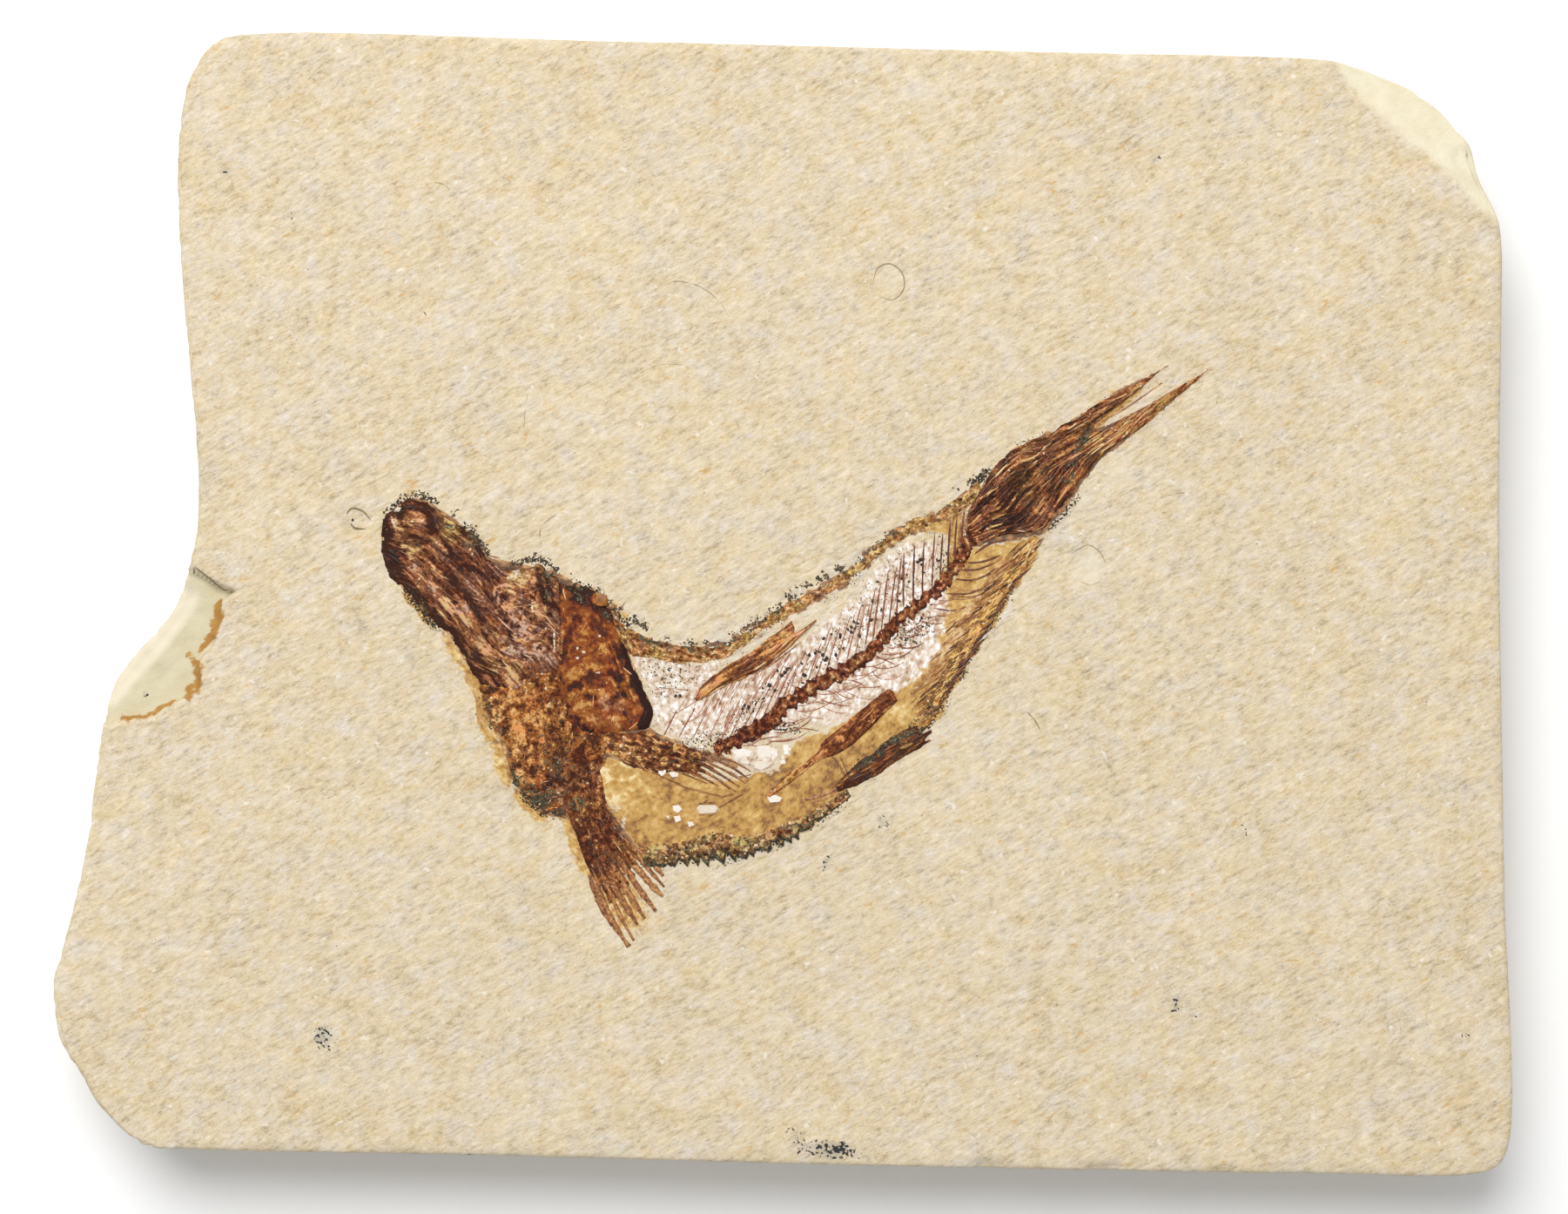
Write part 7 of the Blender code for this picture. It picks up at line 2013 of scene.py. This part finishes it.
spineLines = [([(15.7, 4.1), (17.1, 5.0), (19.0, 5.4)], 0.2, 0.13, 0.18),
    ([(15.1, 3.4), (16.4, 3.5), (18.1, 4.1)], 0.19, 0.12, 0.15),
    ([(14.6, 2.8), (16.1, 2.9), (17.6, 3.5)], 0.18, 0.12, 0.2),
    ([(14.1, 2.1), (15.6, 2.0), (17.3, 2.6)], 0.18, 0.12, 0.18),
    ([(13.3, 0.9), (15.3, 0.9), (17.0, 1.6)], 0.16, 0.11, 0.25),
    ([(12.3, -0.3), (14.1, -0.5), (15.4, -0.1)], 0.15, 0.1, 0.3),
    ([(11.2, -1.3), (12.4, -1.6), (13.3, -1.5)], 0.12, 0.1, 0.45),
    ([(9.3, -3.2), (10.0, -3.6), (11.0, -3.5), (11.7, -3.1)], 0.12, 0.1, 0.3),
    ([(7.4, -4.1), (8.3, -4.5), (9.4, -5.0)], 0.12, 0.1, 0.35),
    ([(8.1, -4.1), (9.4, -4.0), (10.3, -3.9)], 0.22, 0.08, 0.72),
    ([(7.3, -5.3), (7.7, -5.9), (8.4, -6.2)], 0.1, 0.08, 0.32),
    ([(8.1, -6.2), (9.4, -6.0), (10.1, -5.4)], 0.12, 0.08, 0.7),
    ([(5.5, -6.2), (6.2, -6.4), (6.8, -6.7)], 0.14, 0.08, 0.45),
    ([(6.2, -6.8), (7.4, -6.8), (8.4, -6.7)], 0.1, 0.08, 0.5),
    ([(5.8, -7.6), (7.3, -7.8), (8.1, -7.7)], 0.1, 0.07, 0.55),
    ([(4.0, -6.9), (5.1, -7.6), (6.0, -7.8)], 0.13, 0.08, 0.55),
    ([(3.0, -7.8), (4.4, -8.2), (5.8, -8.4)], 0.15, 0.09, 0.55),
    ([(3.3, -8.4), (4.5, -8.9), (5.5, -8.9)], 0.1, 0.07, 0.65),
    ([(3.5, -6.9), (4.4, -7.4), (5.0, -8.0)], 0.09, 0.07, 0.5),
    ([(4.8, -6.9), (5.7, -7.4), (6.5, -7.6)], 0.09, 0.07, 0.6),
    ([(0.5, -10.2), (1.9, -10.2), (3.1, -10.4)], 0.1, 0.07, 0.5),
    ([(1.5, -9.0), (2.6, -9.3), (3.7, -9.4)], 0.1, 0.07, 0.6),
    ([(-1.3, -11.3), (-0.3, -11.2), (1.2, -11.0)], 0.15, 0.08, 0.55),
    ([(-2.2, -11.2), (-1.0, -10.9), (0.1, -10.9)], 0.13, 0.08, 0.55),
    ([(-11.0, -7.1), (-9.5, -6.9), (-7.8, -7.0), (-6.9, -6.9)], 0.09, 0.06, 0.6),
    ([(-11.0, -7.4), (-9.8, -7.2), (-8.8, -7.4)], 0.07, 0.05, 0.6),
    ([(-3.3, -12.0), (-2.2, -12.3), (-1.3, -12.6)], 0.1, 0.07, 0.5),
    ([(-2.2, -12.0), (-1.5, -12.4), (-0.8, -12.9)], 0.09, 0.07, 0.5),
    ([(11.7, -0.4), (12.6, -0.9), (13.7, -1.0)], 0.11, 0.08, 0.5),
    ([(8.0, -6.9), (8.7, -7.0), (9.4, -6.7)], 0.08, 0.06, 0.55),
    ([(-9.2, -9.2), (-7.8, -8.4), (-6.6, -7.6)], 0.12, 0.06, 0.6),
    ([(-8.3, -9.9), (-7.0, -9.3), (-6.0, -8.4)], 0.12, 0.06, 0.6),
    ([(7.3, -3.3), (8.0, -3.6), (8.8, -3.6)], 0.1, 0.06, 0.6),
    ([(5.5, -4.9), (6.5, -5.6), (7.4, -5.8)], 0.08, 0.06, 0.6),
    ([(4.7, -12.4), (5.1, -13.3), (5.5, -14.3)], 0.12, 0.08, 0.35),
    ([(3.7, -16.5), (3.3, -17.2), (3.0, -17.7)], 0.1, 0.06, 0.4),
    ([(-12.8, 0.3), (-14.2, -1.6), (-14.9, -3.6)], 0.12, 0.08, 0.4),
    ([(-24.6, 4.4), (-24.0, 4.0), (-23.1, 3.8)], 0.1, 0.07, 0.4)]

finRays = [([(-15.9, -22.2), (-15.1, -24.3), (-14.0, -26.4)], 0.5, 0.16, 0.45),
    ([(-15.8, -21.3), (-14.9, -23.9), (-13.8, -26.3), (-12.6, -28.1)], 0.58, 0.18, 0.55),
    ([(-15.1, -21.6), (-14.1, -23.9), (-13.1, -26.0), (-12.2, -27.6)], 0.42, 0.16, 0.62),
    ([(-14.6, -21.3), (-13.6, -23.5), (-12.6, -25.2), (-11.9, -26.3)], 0.56, 0.18, 0.5),
    ([(-14.1, -21.2), (-13.1, -22.9), (-12.1, -24.6), (-11.3, -25.8)], 0.58, 0.18, 0.6),
    ([(-13.6, -20.7), (-12.5, -22.3), (-11.3, -24.0), (-10.4, -25.2)], 0.54, 0.18, 0.52),
    ([(-13.1, -20.5), (-11.9, -21.7), (-10.8, -23.0), (-9.8, -24.0)], 0.56, 0.18, 0.64),
    ([(-12.6, -20.2), (-11.5, -21.2), (-10.5, -22.3), (-9.7, -23.2)], 0.34, 0.14, 0.5),
    ([(-12.3, -19.9), (-11.3, -20.6), (-10.5, -21.4), (-9.8, -22.3)], 0.5, 0.16, 0.6),
    ([(-11.9, -19.6), (-11.0, -20.2), (-10.5, -20.7)], 0.34, 0.14, 0.5),
    ([(-3.8, -5.4), (-2.2, -4.0), (-0.6, -2.6), (0.8, -1.4)], 0.22, 0.12, 0.38),
    ([(-3.5, -5.9), (-1.0, -4.1), (1.0, -2.6), (2.8, -1.3)], 0.28, 0.12, 0.45),
    ([(-3.0, -5.1), (-1.3, -3.9), (0.3, -2.8)], 0.16, 0.1, 0.62),
    ([(-2.3, -5.8), (-0.3, -4.5), (1.5, -3.1)], 0.18, 0.1, 0.55),
    ([(-8.8, -13.6), (-7.4, -14.2), (-6.2, -14.7)], 0.2, 0.1, 0.45),
    ([(-8.0, -13.6), (-6.6, -14.2), (-5.3, -14.9)], 0.24, 0.1, 0.35),
    ([(-7.5, -13.3), (-5.9, -14.0), (-4.5, -14.9), (-3.8, -15.4)], 0.22, 0.1, 0.52),
    ([(-6.6, -13.6), (-5.3, -14.4), (-4.3, -15.2)], 0.2, 0.1, 0.4),
    ([(-6.9, -13.0), (-5.2, -13.9), (-3.5, -15.0)], 0.24, 0.1, 0.32),
    ([(-6.3, -12.9), (-4.6, -13.7), (-3.0, -14.7)], 0.22, 0.1, 0.48),
    ([(-5.9, -12.6), (-4.3, -13.3), (-2.8, -14.3)], 0.24, 0.1, 0.36),
    ([(-5.6, -12.3), (-4.0, -12.9), (-2.6, -13.7)], 0.18, 0.1, 0.5),
    ([(-5.3, -12.0), (-3.8, -12.4), (-2.6, -13.2)], 0.16, 0.08, 0.42),
    ([(9.4, -11.7), (10.7, -10.9), (11.8, -10.0)], 0.16, 0.1, 0.25),
    ([(9.7, -12.2), (11.0, -11.3), (12.3, -10.5)], 0.18, 0.1, 0.3),
    ([(9.4, -12.6), (10.8, -11.7), (12.1, -11.1)], 0.14, 0.1, 0.45),
    ([(1.4, -16.1), (3.0, -15.8), (5.3, -14.7)], 0.34, 0.08, 0.55),
    ([(2.3, -16.3), (3.7, -15.9), (5.0, -15.4)], 0.2, 0.07, 0.62),
    ([(5.0, -10.6), (6.2, -9.4), (7.6, -8.2), (9.1, -7.1)], 0.16, 0.14, 0.5),
    ([(-1.3, -15.9), (0.3, -14.6), (1.9, -13.3), (3.7, -12.2)], 0.18, 0.1, 0.42),
    ([(25.1, 14.4), (28.0, 16.0), (31.2, 18.2)], 0.14, 0.08, 0.62),
    ([(25.1, 13.9), (28.7, 15.6), (32.3, 17.6), (35.1, 19.3)], 0.16, 0.09, 0.45),
    ([(24.4, 15.2), (27.3, 17.0), (31.7, 19.6)], 0.14, 0.09, 0.4)]

hairLines = [([(-10.5, 25.7), (-9.2, 26.5), (-7.0, 26.2), (-5.3, 25.0), (-4.3, 23.5)], 0.09, 0.015, 0.45),
    ([(-14.6, 24.1), (-13.2, 24.7), (-11.7, 25.2)], 0.08, 0.012, 0.5),
    ([(-12.3, 18.4), (-11.2, 19.3), (-9.9, 19.7), (-7.0, 19.6)], 0.07, 0.012, 0.55),
    ([(-13.3, 21.0), (-11.9, 21.2), (-10.3, 21.2)], 0.06, 0.012, 0.6),
    ([(-20.3, 18.9), (-20.9, 17.3), (-21.3, 14.1)], 0.07, 0.012, 0.5),
    ([(-29.4, 34.5), (-28.1, 34.6), (-27.1, 33.9)], 0.09, 0.015, 0.4),
    ([(-29.7, 24.5), (-29.5, 24.1), (-29.2, 23.7)], 0.12, 0.015, 0.3),
    ([(-3.8, 15.3), (-3.6, 14.3), (-3.8, 13.2)], 0.06, 0.012, 0.5),
    ([(-1.7, 15.7), (-1.5, 14.9), (-1.7, 13.9)], 0.05, 0.01, 0.5),
    ([(-18.5, 7.4), (-19.5, 6.7), (-19.9, 6.0), (-19.8, 4.7), (-19.9, 3.9)], 0.08, 0.015, 0.25),
    ([(7.5, 26.6), (7.8, 27.6), (8.8, 28.0), (9.8, 27.3), (10.0, 26.0), (9.1, 25.0), (8.0, 25.3)], 0.1,
        0.015, 0.45),
    ([(24.1, 4.4), (25.1, 4.9), (26.0, 4.4), (26.6, 3.4)], 0.07, 0.012, 0.5),
    ([(24.4, 1.9), (25.4, 1.6), (26.3, 2.1)], 0.06, 0.01, 0.7),
    ([(20.1, -8.8), (20.8, -9.6), (21.4, -10.7)], 0.1, 0.015, 0.3),
    ([(31.6, 8.9), (32.4, 9.1), (33.4, 9.2)], 0.09, 0.015, 0.3),
    ([(32.4, 8.7), (33.1, 8.4), (33.9, 8.6)], 0.07, 0.012, 0.4),
    ([(-35.8, 7.4), (-35.4, 7.9), (-34.5, 7.7), (-33.8, 6.9)], 0.1, 0.02, 0.25),
    ([(-35.5, 6.7), (-35.1, 6.3), (-34.2, 6.2)], 0.12, 0.02, 0.15),
    ([(0.5, 26.0), (1.9, 26.6), (3.5, 26.3)], 0.06, 0.01, 0.6),
    # the darkest line, along the upper wall of the lost flake's step, is a painted shadow of that step
    ([(-48.3, 3.1), (-47.4, 2.4), (-46.4, 1.6), (-45.8, 1.2), (-44.9, 1.1)], 0.11, 0.03, 0.0),
    ([(-17.1, 16.0), (-14.9, 15.6), (-13.1, 16.2)], 0.05, 0.01, 0.6),
    ([(13.7, 37.6), (15.8, 38.3), (17.7, 38.9)], 0.07, 0.012, 0.55),
    ([(47.3, 20.3), (49.5, 19.0), (51.0, 17.7)], 0.06, 0.01, 0.6),
    ([(30.5, 18.7), (31.0, 18.0), (31.6, 17.6)], 0.05, 0.01, 0.5),
    ([(-45.1, 32.5), (-44.2, 32.0), (-43.4, 32.5)], 0.07, 0.012, 0.4),
    ([(-18.5, 2.1), (-17.4, 3.1), (-17.1, 3.9)], 0.05, 0.01, 0.4)]

supportStrokes = (
    [(10.1, -7.6), (11.7, -5.3), (12.8, -2.9), (14.0, -0.4), (15.6, 1.9), (17.3, 3.7), (18.7, 5.0)],
    [(12.0, -10.0), (13.8, -7.0), (15.6, -4.1), (17.5, -0.9), (19.2, 1.8), (20.2, 3.1), (21.2, 5.1)])

spineStops = [(78, 34, 18), (104, 52, 32), (136, 80, 54), (168, 112, 84), (196, 146, 120), (222, 190, 170)]
rayStops = [(60, 34, 18), (104, 60, 32), (146, 92, 50), (184, 128, 74), (216, 170, 114)]
crumbStops = [(42, 26, 17), (82, 49, 29), (118, 76, 44), (152, 106, 64), (190, 148, 100), (228, 202, 164)]
fibreStops = [(44, 24, 15), (84, 46, 26), (124, 74, 42), (164, 110, 64), (206, 160, 104), (240, 212, 168)]
sootStops = [(40, 32, 22), (60, 49, 34), (84, 70, 49), (116, 100, 72), (150, 132, 98)]
chipStops = [(202, 180, 150), (222, 206, 184), (236, 226, 212), (246, 240, 232)]
amberStops = [(104, 56, 12), (146, 86, 20), (178, 114, 36)]
# colours of the hair cracks; the darkest one also paints the shadow line along the lost flake's step
crackAndStepShadowStops = [(112, 94, 66), (148, 130, 98), (182, 166, 132), (214, 202, 172)]


# Fibres are (plate, count, lengths, drift, lighter by); crumbs are (plate, count, sizes, tone spread);
# dots stand alone; soot is (line, count, spread, sizes).
details = {
    "supportCount": 330,
    "supportLean": 38,
    "supportReach": (0.6, 2.2),
    "amberCrumb": [(-15.34, 0.79), (-14.91, 0.86), (-14.41, 0.79), (-14.34, 0.29), (-14.34, -0.14),
        (-14.84, -0.21), (-15.27, -0.14), (-15.41, 0.29)],
    "fibres": [("skullBones", 400, (0.3, 2.4), 0.03, -0.04), ("gillCover", 110, (0.3, 1.4), 0.07, -0.03),
        ("throatBones", 200, (0.15, 0.8), 0.1, 0.02), ("lowerFin", 90, (0.4, 1.6), 0.03, 0.05),
        ("rearFin", 120, (0.2, 1.0), 0.08, 0.04), ("dorsalFin", 70, (0.5, 2.0), 0.03, 0.05),
        ("pelvicFin", 50, (0.4, 1.4), 0.05, 0.05), ("analFin", 90, (0.4, 1.6), 0.05, 0.0),
        ("finSupports", 110, (0.3, 2.0), 0.05, 0.1), ("tailFin", 620, (0.3, 2.0), 0.03, -0.05),
        ("backRidge", 120, (0.2, 0.8), 0.2, 0.05), ("bellyScutes", 70, (0.2, 0.8), 0.2, 0.0)],
    "crumbs": [("throatBones", 300, (0.08, 0.34), 0.24), ("rearFin", 150, (0.08, 0.36), 0.28),
        ("skullBones", 240, (0.06, 0.28), 0.28), ("gillCover", 110, (0.06, 0.26), 0.28),
        ("backRidge", 360, (0.08, 0.3), 0.28), ("finSupports", 150, (0.06, 0.26), 0.25),
        ("tailFin", 200, (0.06, 0.24), 0.28), ("bellyScutes", 200, (0.1, 0.32), 0.3),
        ("lowerFin", 240, (0.06, 0.26), 0.28), ("pelvicFin", 40, (0.06, 0.2), 0.25),
        ("analFin", 60, (0.08, 0.26), 0.25), ("backboneBeads", 130, (0.08, 0.26), 0.22)],
    "dots": [(-0.39, -5.44), (0.46, -5.29), (-1.61, -6.87), (-1.04, -6.65), (-3.11, -8.3), (-2.18, -8.15),
        (1.61, -4.86), (1.82, -5.79), (2.97, -3.86), (3.33, -4.15), (3.68, -4.36), (4.04, -2.43),
        (5.69, -1.86), (6.19, -1.57), (5.97, -2.0), (7.4, 0.29), (11.33, 3.65), (-8.76, -7.51),
        (-8.4, -7.51), (-0.61, -7.08), (-1.54, -7.72), (-2.75, -8.44), (-2.4, -8.8), (-3.25, -8.58),
        (0.25, -5.58), (-0.04, -5.86), (2.25, -4.15), (2.68, -4.0), (3.4, -2.79), (3.54, -4.58),
        (3.83, -4.86), (2.82, -5.15), (2.61, -6.29), (1.68, -6.44), (5.69, -2.29), (5.4, -2.07),
        (5.9, -1.43), (6.33, -2.57), (11.12, 3.5), (11.41, 3.29), (7.83, 1.86), (7.26, -1.29),
        (4.76, -2.57), (5.04, -3.58), (4.4, -4.15), (8.12, -0.43), (9.55, 0.29), (9.83, 2.15),
        (10.41, 1.86)],
    "soot": [
        ([(-3.5, -8.7), (-1.3, -7.2), (0.5, -5.6), (3.0, -4.1), (5.8, -2.0), (8.0, 0.3), (10.8, 2.8)], 204,
            0.7, (0.06, 0.16)),
        ([(-10.8, -5.3), (-7.0, -5.6), (-3.5, -5.6), (0.1, -2.9)], 110, 1.0, (0.045, 0.104)),
        ([(-9.2, -9.7), (-6.3, -10.8), (-3.5, -10.1)], 76, 0.5, (0.0525, 0.128)),
        ([(0.5, -3.6), (4.4, -1.1), (8.0, 1.9), (11.5, 4.2)], 127, 0.9, (0.045, 0.12)),
        ([(12.3, 3.9), (13.6, 2.8), (14.4, 5.6)], 68, 0.7, (0.06, 0.16)),
        ([(9.4, -2.4), (10.8, -2.1), (11.8, -2.0)], 110, 0.42, (0.06, 0.144)),
        ([(-12.6, -0.7), (-11.7, -1.5), (-11.0, -2.0)], 51, 0.22, (0.09, 0.224)),
        ([(-10.5, -2.4), (-7.8, -3.1), (-4.9, -3.0), (-3.3, -2.0)], 76, 0.18, (0.075, 0.176)),
        ([(-3.3, -1.9), (-1.3, -0.7), (0.1, 0.3)], 42, 0.2, (0.075, 0.16)),
        ([(-0.2, -0.1), (1.9, 1.4), (3.7, 2.4), (4.8, 3.0)], 127, 0.2, (0.09, 0.224)),
        ([(4.8, 2.8), (6.2, 3.7), (7.6, 4.7), (8.7, 5.6), (10.1, 6.3)], 93, 0.16, (0.09, 0.192)),
        ([(14.4, 9.6), (15.3, 9.9), (16.0, 10.2), (16.6, 10.8)], 42, 0.16, (0.105, 0.224)),
        ([(23.3, 7.9), (22.6, 6.9), (21.6, 5.9)], 39, 0.12, (0.075, 0.16)),
        ([(19.3, 2.4), (18.0, 0.3), (17.3, -1.3)], 51, 0.14, (0.075, 0.16)),
        ([(19.1, 1.6), (17.1, -2.0), (15.1, -5.3), (13.3, -8.0)], 127, 0.16, (0.075, 0.176)),
        ([(13.7, -6.5), (12.6, -8.3), (11.2, -9.6), (9.4, -10.9)], 110, 0.24, (0.09, 0.2)),
        ([(6.2, -13.4), (8.0, -12.0), (10.1, -10.3)], 102, 0.22, (0.09, 0.208)),
        ([(2.3, -18.0), (3.7, -16.9), (4.8, -16.0)], 51, 0.2, (0.09, 0.176)),
        ([(-11.0, -20.1), (-7.8, -19.6), (-4.9, -19.0), (-2.8, -19.5)], 127, 0.22, (0.075, 0.176)),
        ([(-2.8, -19.5), (0.1, -18.5), (2.3, -17.6)], 93, 0.2, (0.075, 0.16)),
        ([(-11.5, -20.7), (-8.1, -20.7), (-4.9, -20.5), (-1.3, -19.7), (1.9, -18.3)], 187, 0.3,
            (0.09, 0.208)),
        ([(-14.2, -20.3), (-12.4, -21.2), (-9.9, -21.7)], 42, 0.25, (0.075, 0.16)),
        ([(-31.7, 8.3), (-30.1, 9.0), (-28.8, 8.7)], 51, 0.2, (0.075, 0.192)),
        ([(-17.2, 1.6), (-16.5, 1.1), (-15.9, 0.3)], 76, 0.32, (0.09, 0.24)),
        ([(-25.6, 6.4), (-25.1, 5.4), (-24.2, 4.4)], 42, 0.2, (0.09, 0.192)),
        ([(-21.6, 3.4), (-19.8, 3.9), (-18.8, 3.0)], 59, 0.18, (0.09, 0.208)),
        ([(-16.5, 1.4), (-15.5, 1.1), (-14.2, -0.1), (-11.3, -1.7)], 102, 0.2, (0.09, 0.208)),
        ([(-27.1, 7.3), (-26.5, 7.6)], 17, 0.12, (0.09, 0.192)),
        ([(-24.5, -7.6), (-24.6, -8.7), (-23.8, -10.1)], 51, 0.2, (0.09, 0.192)),
        ([(-21.0, -15.8), (-19.6, -16.9), (-17.8, -16.7)], 76, 0.26, (0.09, 0.224)),
        ([(-30.4, 1.0), (-29.4, -0.4), (-28.5, -2.0)], 51, 0.2, (0.075, 0.176)),
        ([(23.8, 13.0), (24.6, 13.9)], 42, 0.24, (0.09, 0.208))],
}


# Short fibres lie along every plate, and fan over the stone between the two lines of support
# strokes: each starts at a random share of the way from the inner line to the outer one.
def makeFibres(random):
    fibres, shift = [], []
    for name, count, lengths, drift, lighter in details["fibres"]:
        found = fibresOn(surfaces[name], count, lengths, drift, random)
        fibres.append(found)
        shift.append(np.full(len(found), lighter))
    count = details["supportCount"]
    u, v = random.uniform(0, 1, count), random.uniform(0, 1, count) ** 0.5
    inner, outer = curveAt(supportStrokes[0], u), curveAt(supportStrokes[1], u)
    start = inner + (outer - inner) * v[:, None]
    lean = np.radians(details["supportLean"] + random.normal(0, 7, count))
    reach = random.uniform(*details["supportReach"], count)
    steps = np.linspace(-0.5, 0.5, 5)[None] * reach[:, None]
    x, y = start[:, :1] + steps * np.cos(lean)[:, None], start[:, 1:] + steps * np.sin(lean)[:, None]
    z = faceZ + 0.04 + faceWaves(x, y)
    colours = [
        np.zeros_like(x) + values[:, None] for values in (0.90 - 0.62 * v, 0.2 + 0 * v, 0.45 + 0 * v)]
    fibres.append(np.stack([x, y, z, *colours], axis=-1))
    shift.append(np.zeros(count))
    fibres = np.concatenate(fibres)
    tones = fibres[:, 2, 3] + np.concatenate(shift) + random.normal(0, 0.24, len(fibres))
    breadth = 0.05 + 0.13 * random.uniform(0, 1, len(fibres)) ** 2
    masks = {"tone": np.clip(tones, 0.02, 0.98), "amber": fibres[:, 2, 4], "warmth": fibres[:, 2, 5]}
    finish = plainRamp("fibreBone", fibreStops, 0.42, 4.0, 0.25, True)
    makeRidges("boneFibres", fibres[..., :3], breadth, 0.35 * breadth + 0.02, masks, finish,
               ring="splint")


# Crumbs lie on the plates, with the number, sizes and spread that the settings give for each.
def makeCrumbs(random):
    crumbs = [
        crumbsOn(surfaces[name], count, sizes, random, spread) for name, count, sizes,
        spread in details["crumbs"]]
    makeGrains(
        "boneCrumbs", np.vstack(crumbs), plainRamp("crumbBone", crumbStops, 0.4, 6.0, 0.3), 9)


# Single black dots stand at their own places, and grains of soot cluster along lines.
def makeSoot(random):
    dots = np.array(details["dots"])
    count = len(dots)
    size, height, tone = [
        random.uniform(*limits, count) for limits in ((0.20, 0.38), (0.07, 0.11), (0.0, 0.35))]
    lumps = [np.column_stack([dots, size, height, tone, np.full(count, 0.03)])]
    for line, count, spread, sizes in details["soot"]:
        lumps.append(scatterAlong(line, count, spread, sizes, (0.0, 0.9), random))
    makeGrains("sootGrains", np.vstack(lumps), plainRamp("manganeseCrust", sootStops, 0.7), 5)


random = np.random.default_rng(12)
makeBackbone()
makeFibres(random)
makeCrumbs(random)
makeStrands(
    "finRays", finRays, plainRamp("rayBone", rayStops, 0.45, 3.6, 0.9), "lower_pectoral_fin",
    14, 0.62)
makeStrands(
    "spineBones", neuralSpines(random) + spineLines, plainRamp("thinBone", spineStops, 0.5), "backbone")
makeSoot(random)
makeFlakes(
    "amberCrumb", [(details["amberCrumb"], 0.5)], plainRamp("amberGlass", amberStops, 0.4, 2.5, 0.9), 0.42)
makeFlakes("paleChips", chipOutlines, plainRamp("chalkyChip", chipStops, 0.6, 3.0, 0.25))
# hair cracks on the face, and one painted shadow line along the lost flake's step
makeStrands(
    "hairCracksAndStepShadow", hairLines, plainRamp("crackAndStepShadowLine", crackAndStepShadowStops, 0.8, 3.0, 0.5), None, 22)


studio = {
    "frameWidth": 128.8,          # width of the view at the split face, in mm
    "lens": 85.0,
    "sensor": 36.0,
    "aim": (0.14, -0.21),
    "floorTint": (0.93, 0.93, 0.925, 1.0),
    "keyStrength": 6.0,
    "keySize": 0.5,
    "keyPlace": (-0.15, 0.40, 0.75),
    "fillStrength": 0.5,
}


# A pale floor, one round soft light aimed at the slab, even light from all round, and a camera straight
# above, which stands at view width * lens / sensor over the split face.
def makeStage():
    bpy.ops.mesh.primitive_plane_add(size=6.0, location=(0.0, 0.0, -0.0002))
    floor = bpy.context.active_object
    floor.name = "paleFloor"
    paper, bench, shader, place = startMaterial("palePaper")
    tooth = bench.noise(place, 0.8, 3.0, 0.5)
    shade = bench.ramp(tooth, [(0.0, studio["floorTint"]), (1.0, (0.955, 0.955, 0.95, 1.0))])
    bench.feed(shader.inputs["Base Color"], shade)
    shader.inputs["Roughness"].default_value = 0.95
    shader.inputs["Specular IOR Level"].default_value = 0.1
    floor.data.materials.append(paper)

    light = bpy.data.lights.new("softKey", "AREA")
    light.shape = "DISK"
    light.size = studio["keySize"]
    light.energy = studio["keyStrength"]
    lamp = bpy.data.objects.new("softKey", light)
    lamp.location = studio["keyPlace"]
    lamp.rotation_euler = (-lamp.location).to_track_quat("-Z", "Y").to_euler()
    bpy.context.scene.collection.objects.link(lamp)

    world = bpy.data.worlds.new("paleRoom")
    world.use_nodes = True
    sky = world.node_tree.nodes["Background"]
    sky.inputs["Color"].default_value = (0.97, 0.985, 1.0, 1.0)
    sky.inputs["Strength"].default_value = studio["fillStrength"]
    bpy.context.scene.world = world
    bpy.context.scene.view_settings.view_transform = "Standard"

    eye = bpy.data.cameras.new("overhead")
    eye.lens = studio["lens"]
    eye.sensor_width = studio["sensor"]
    eye.clip_start = 0.01
    eye.clip_end = 20.0
    camera = bpy.data.objects.new("overhead", eye)
    rise = studio["frameWidth"] * studio["lens"] / studio["sensor"]
    camera.location = (studio["aim"][0] * mm, studio["aim"][1] * mm, (faceZ + rise) * mm)
    bpy.context.scene.collection.objects.link(camera)
    bpy.context.scene.camera = camera
    print("stage ready")


makeStage()
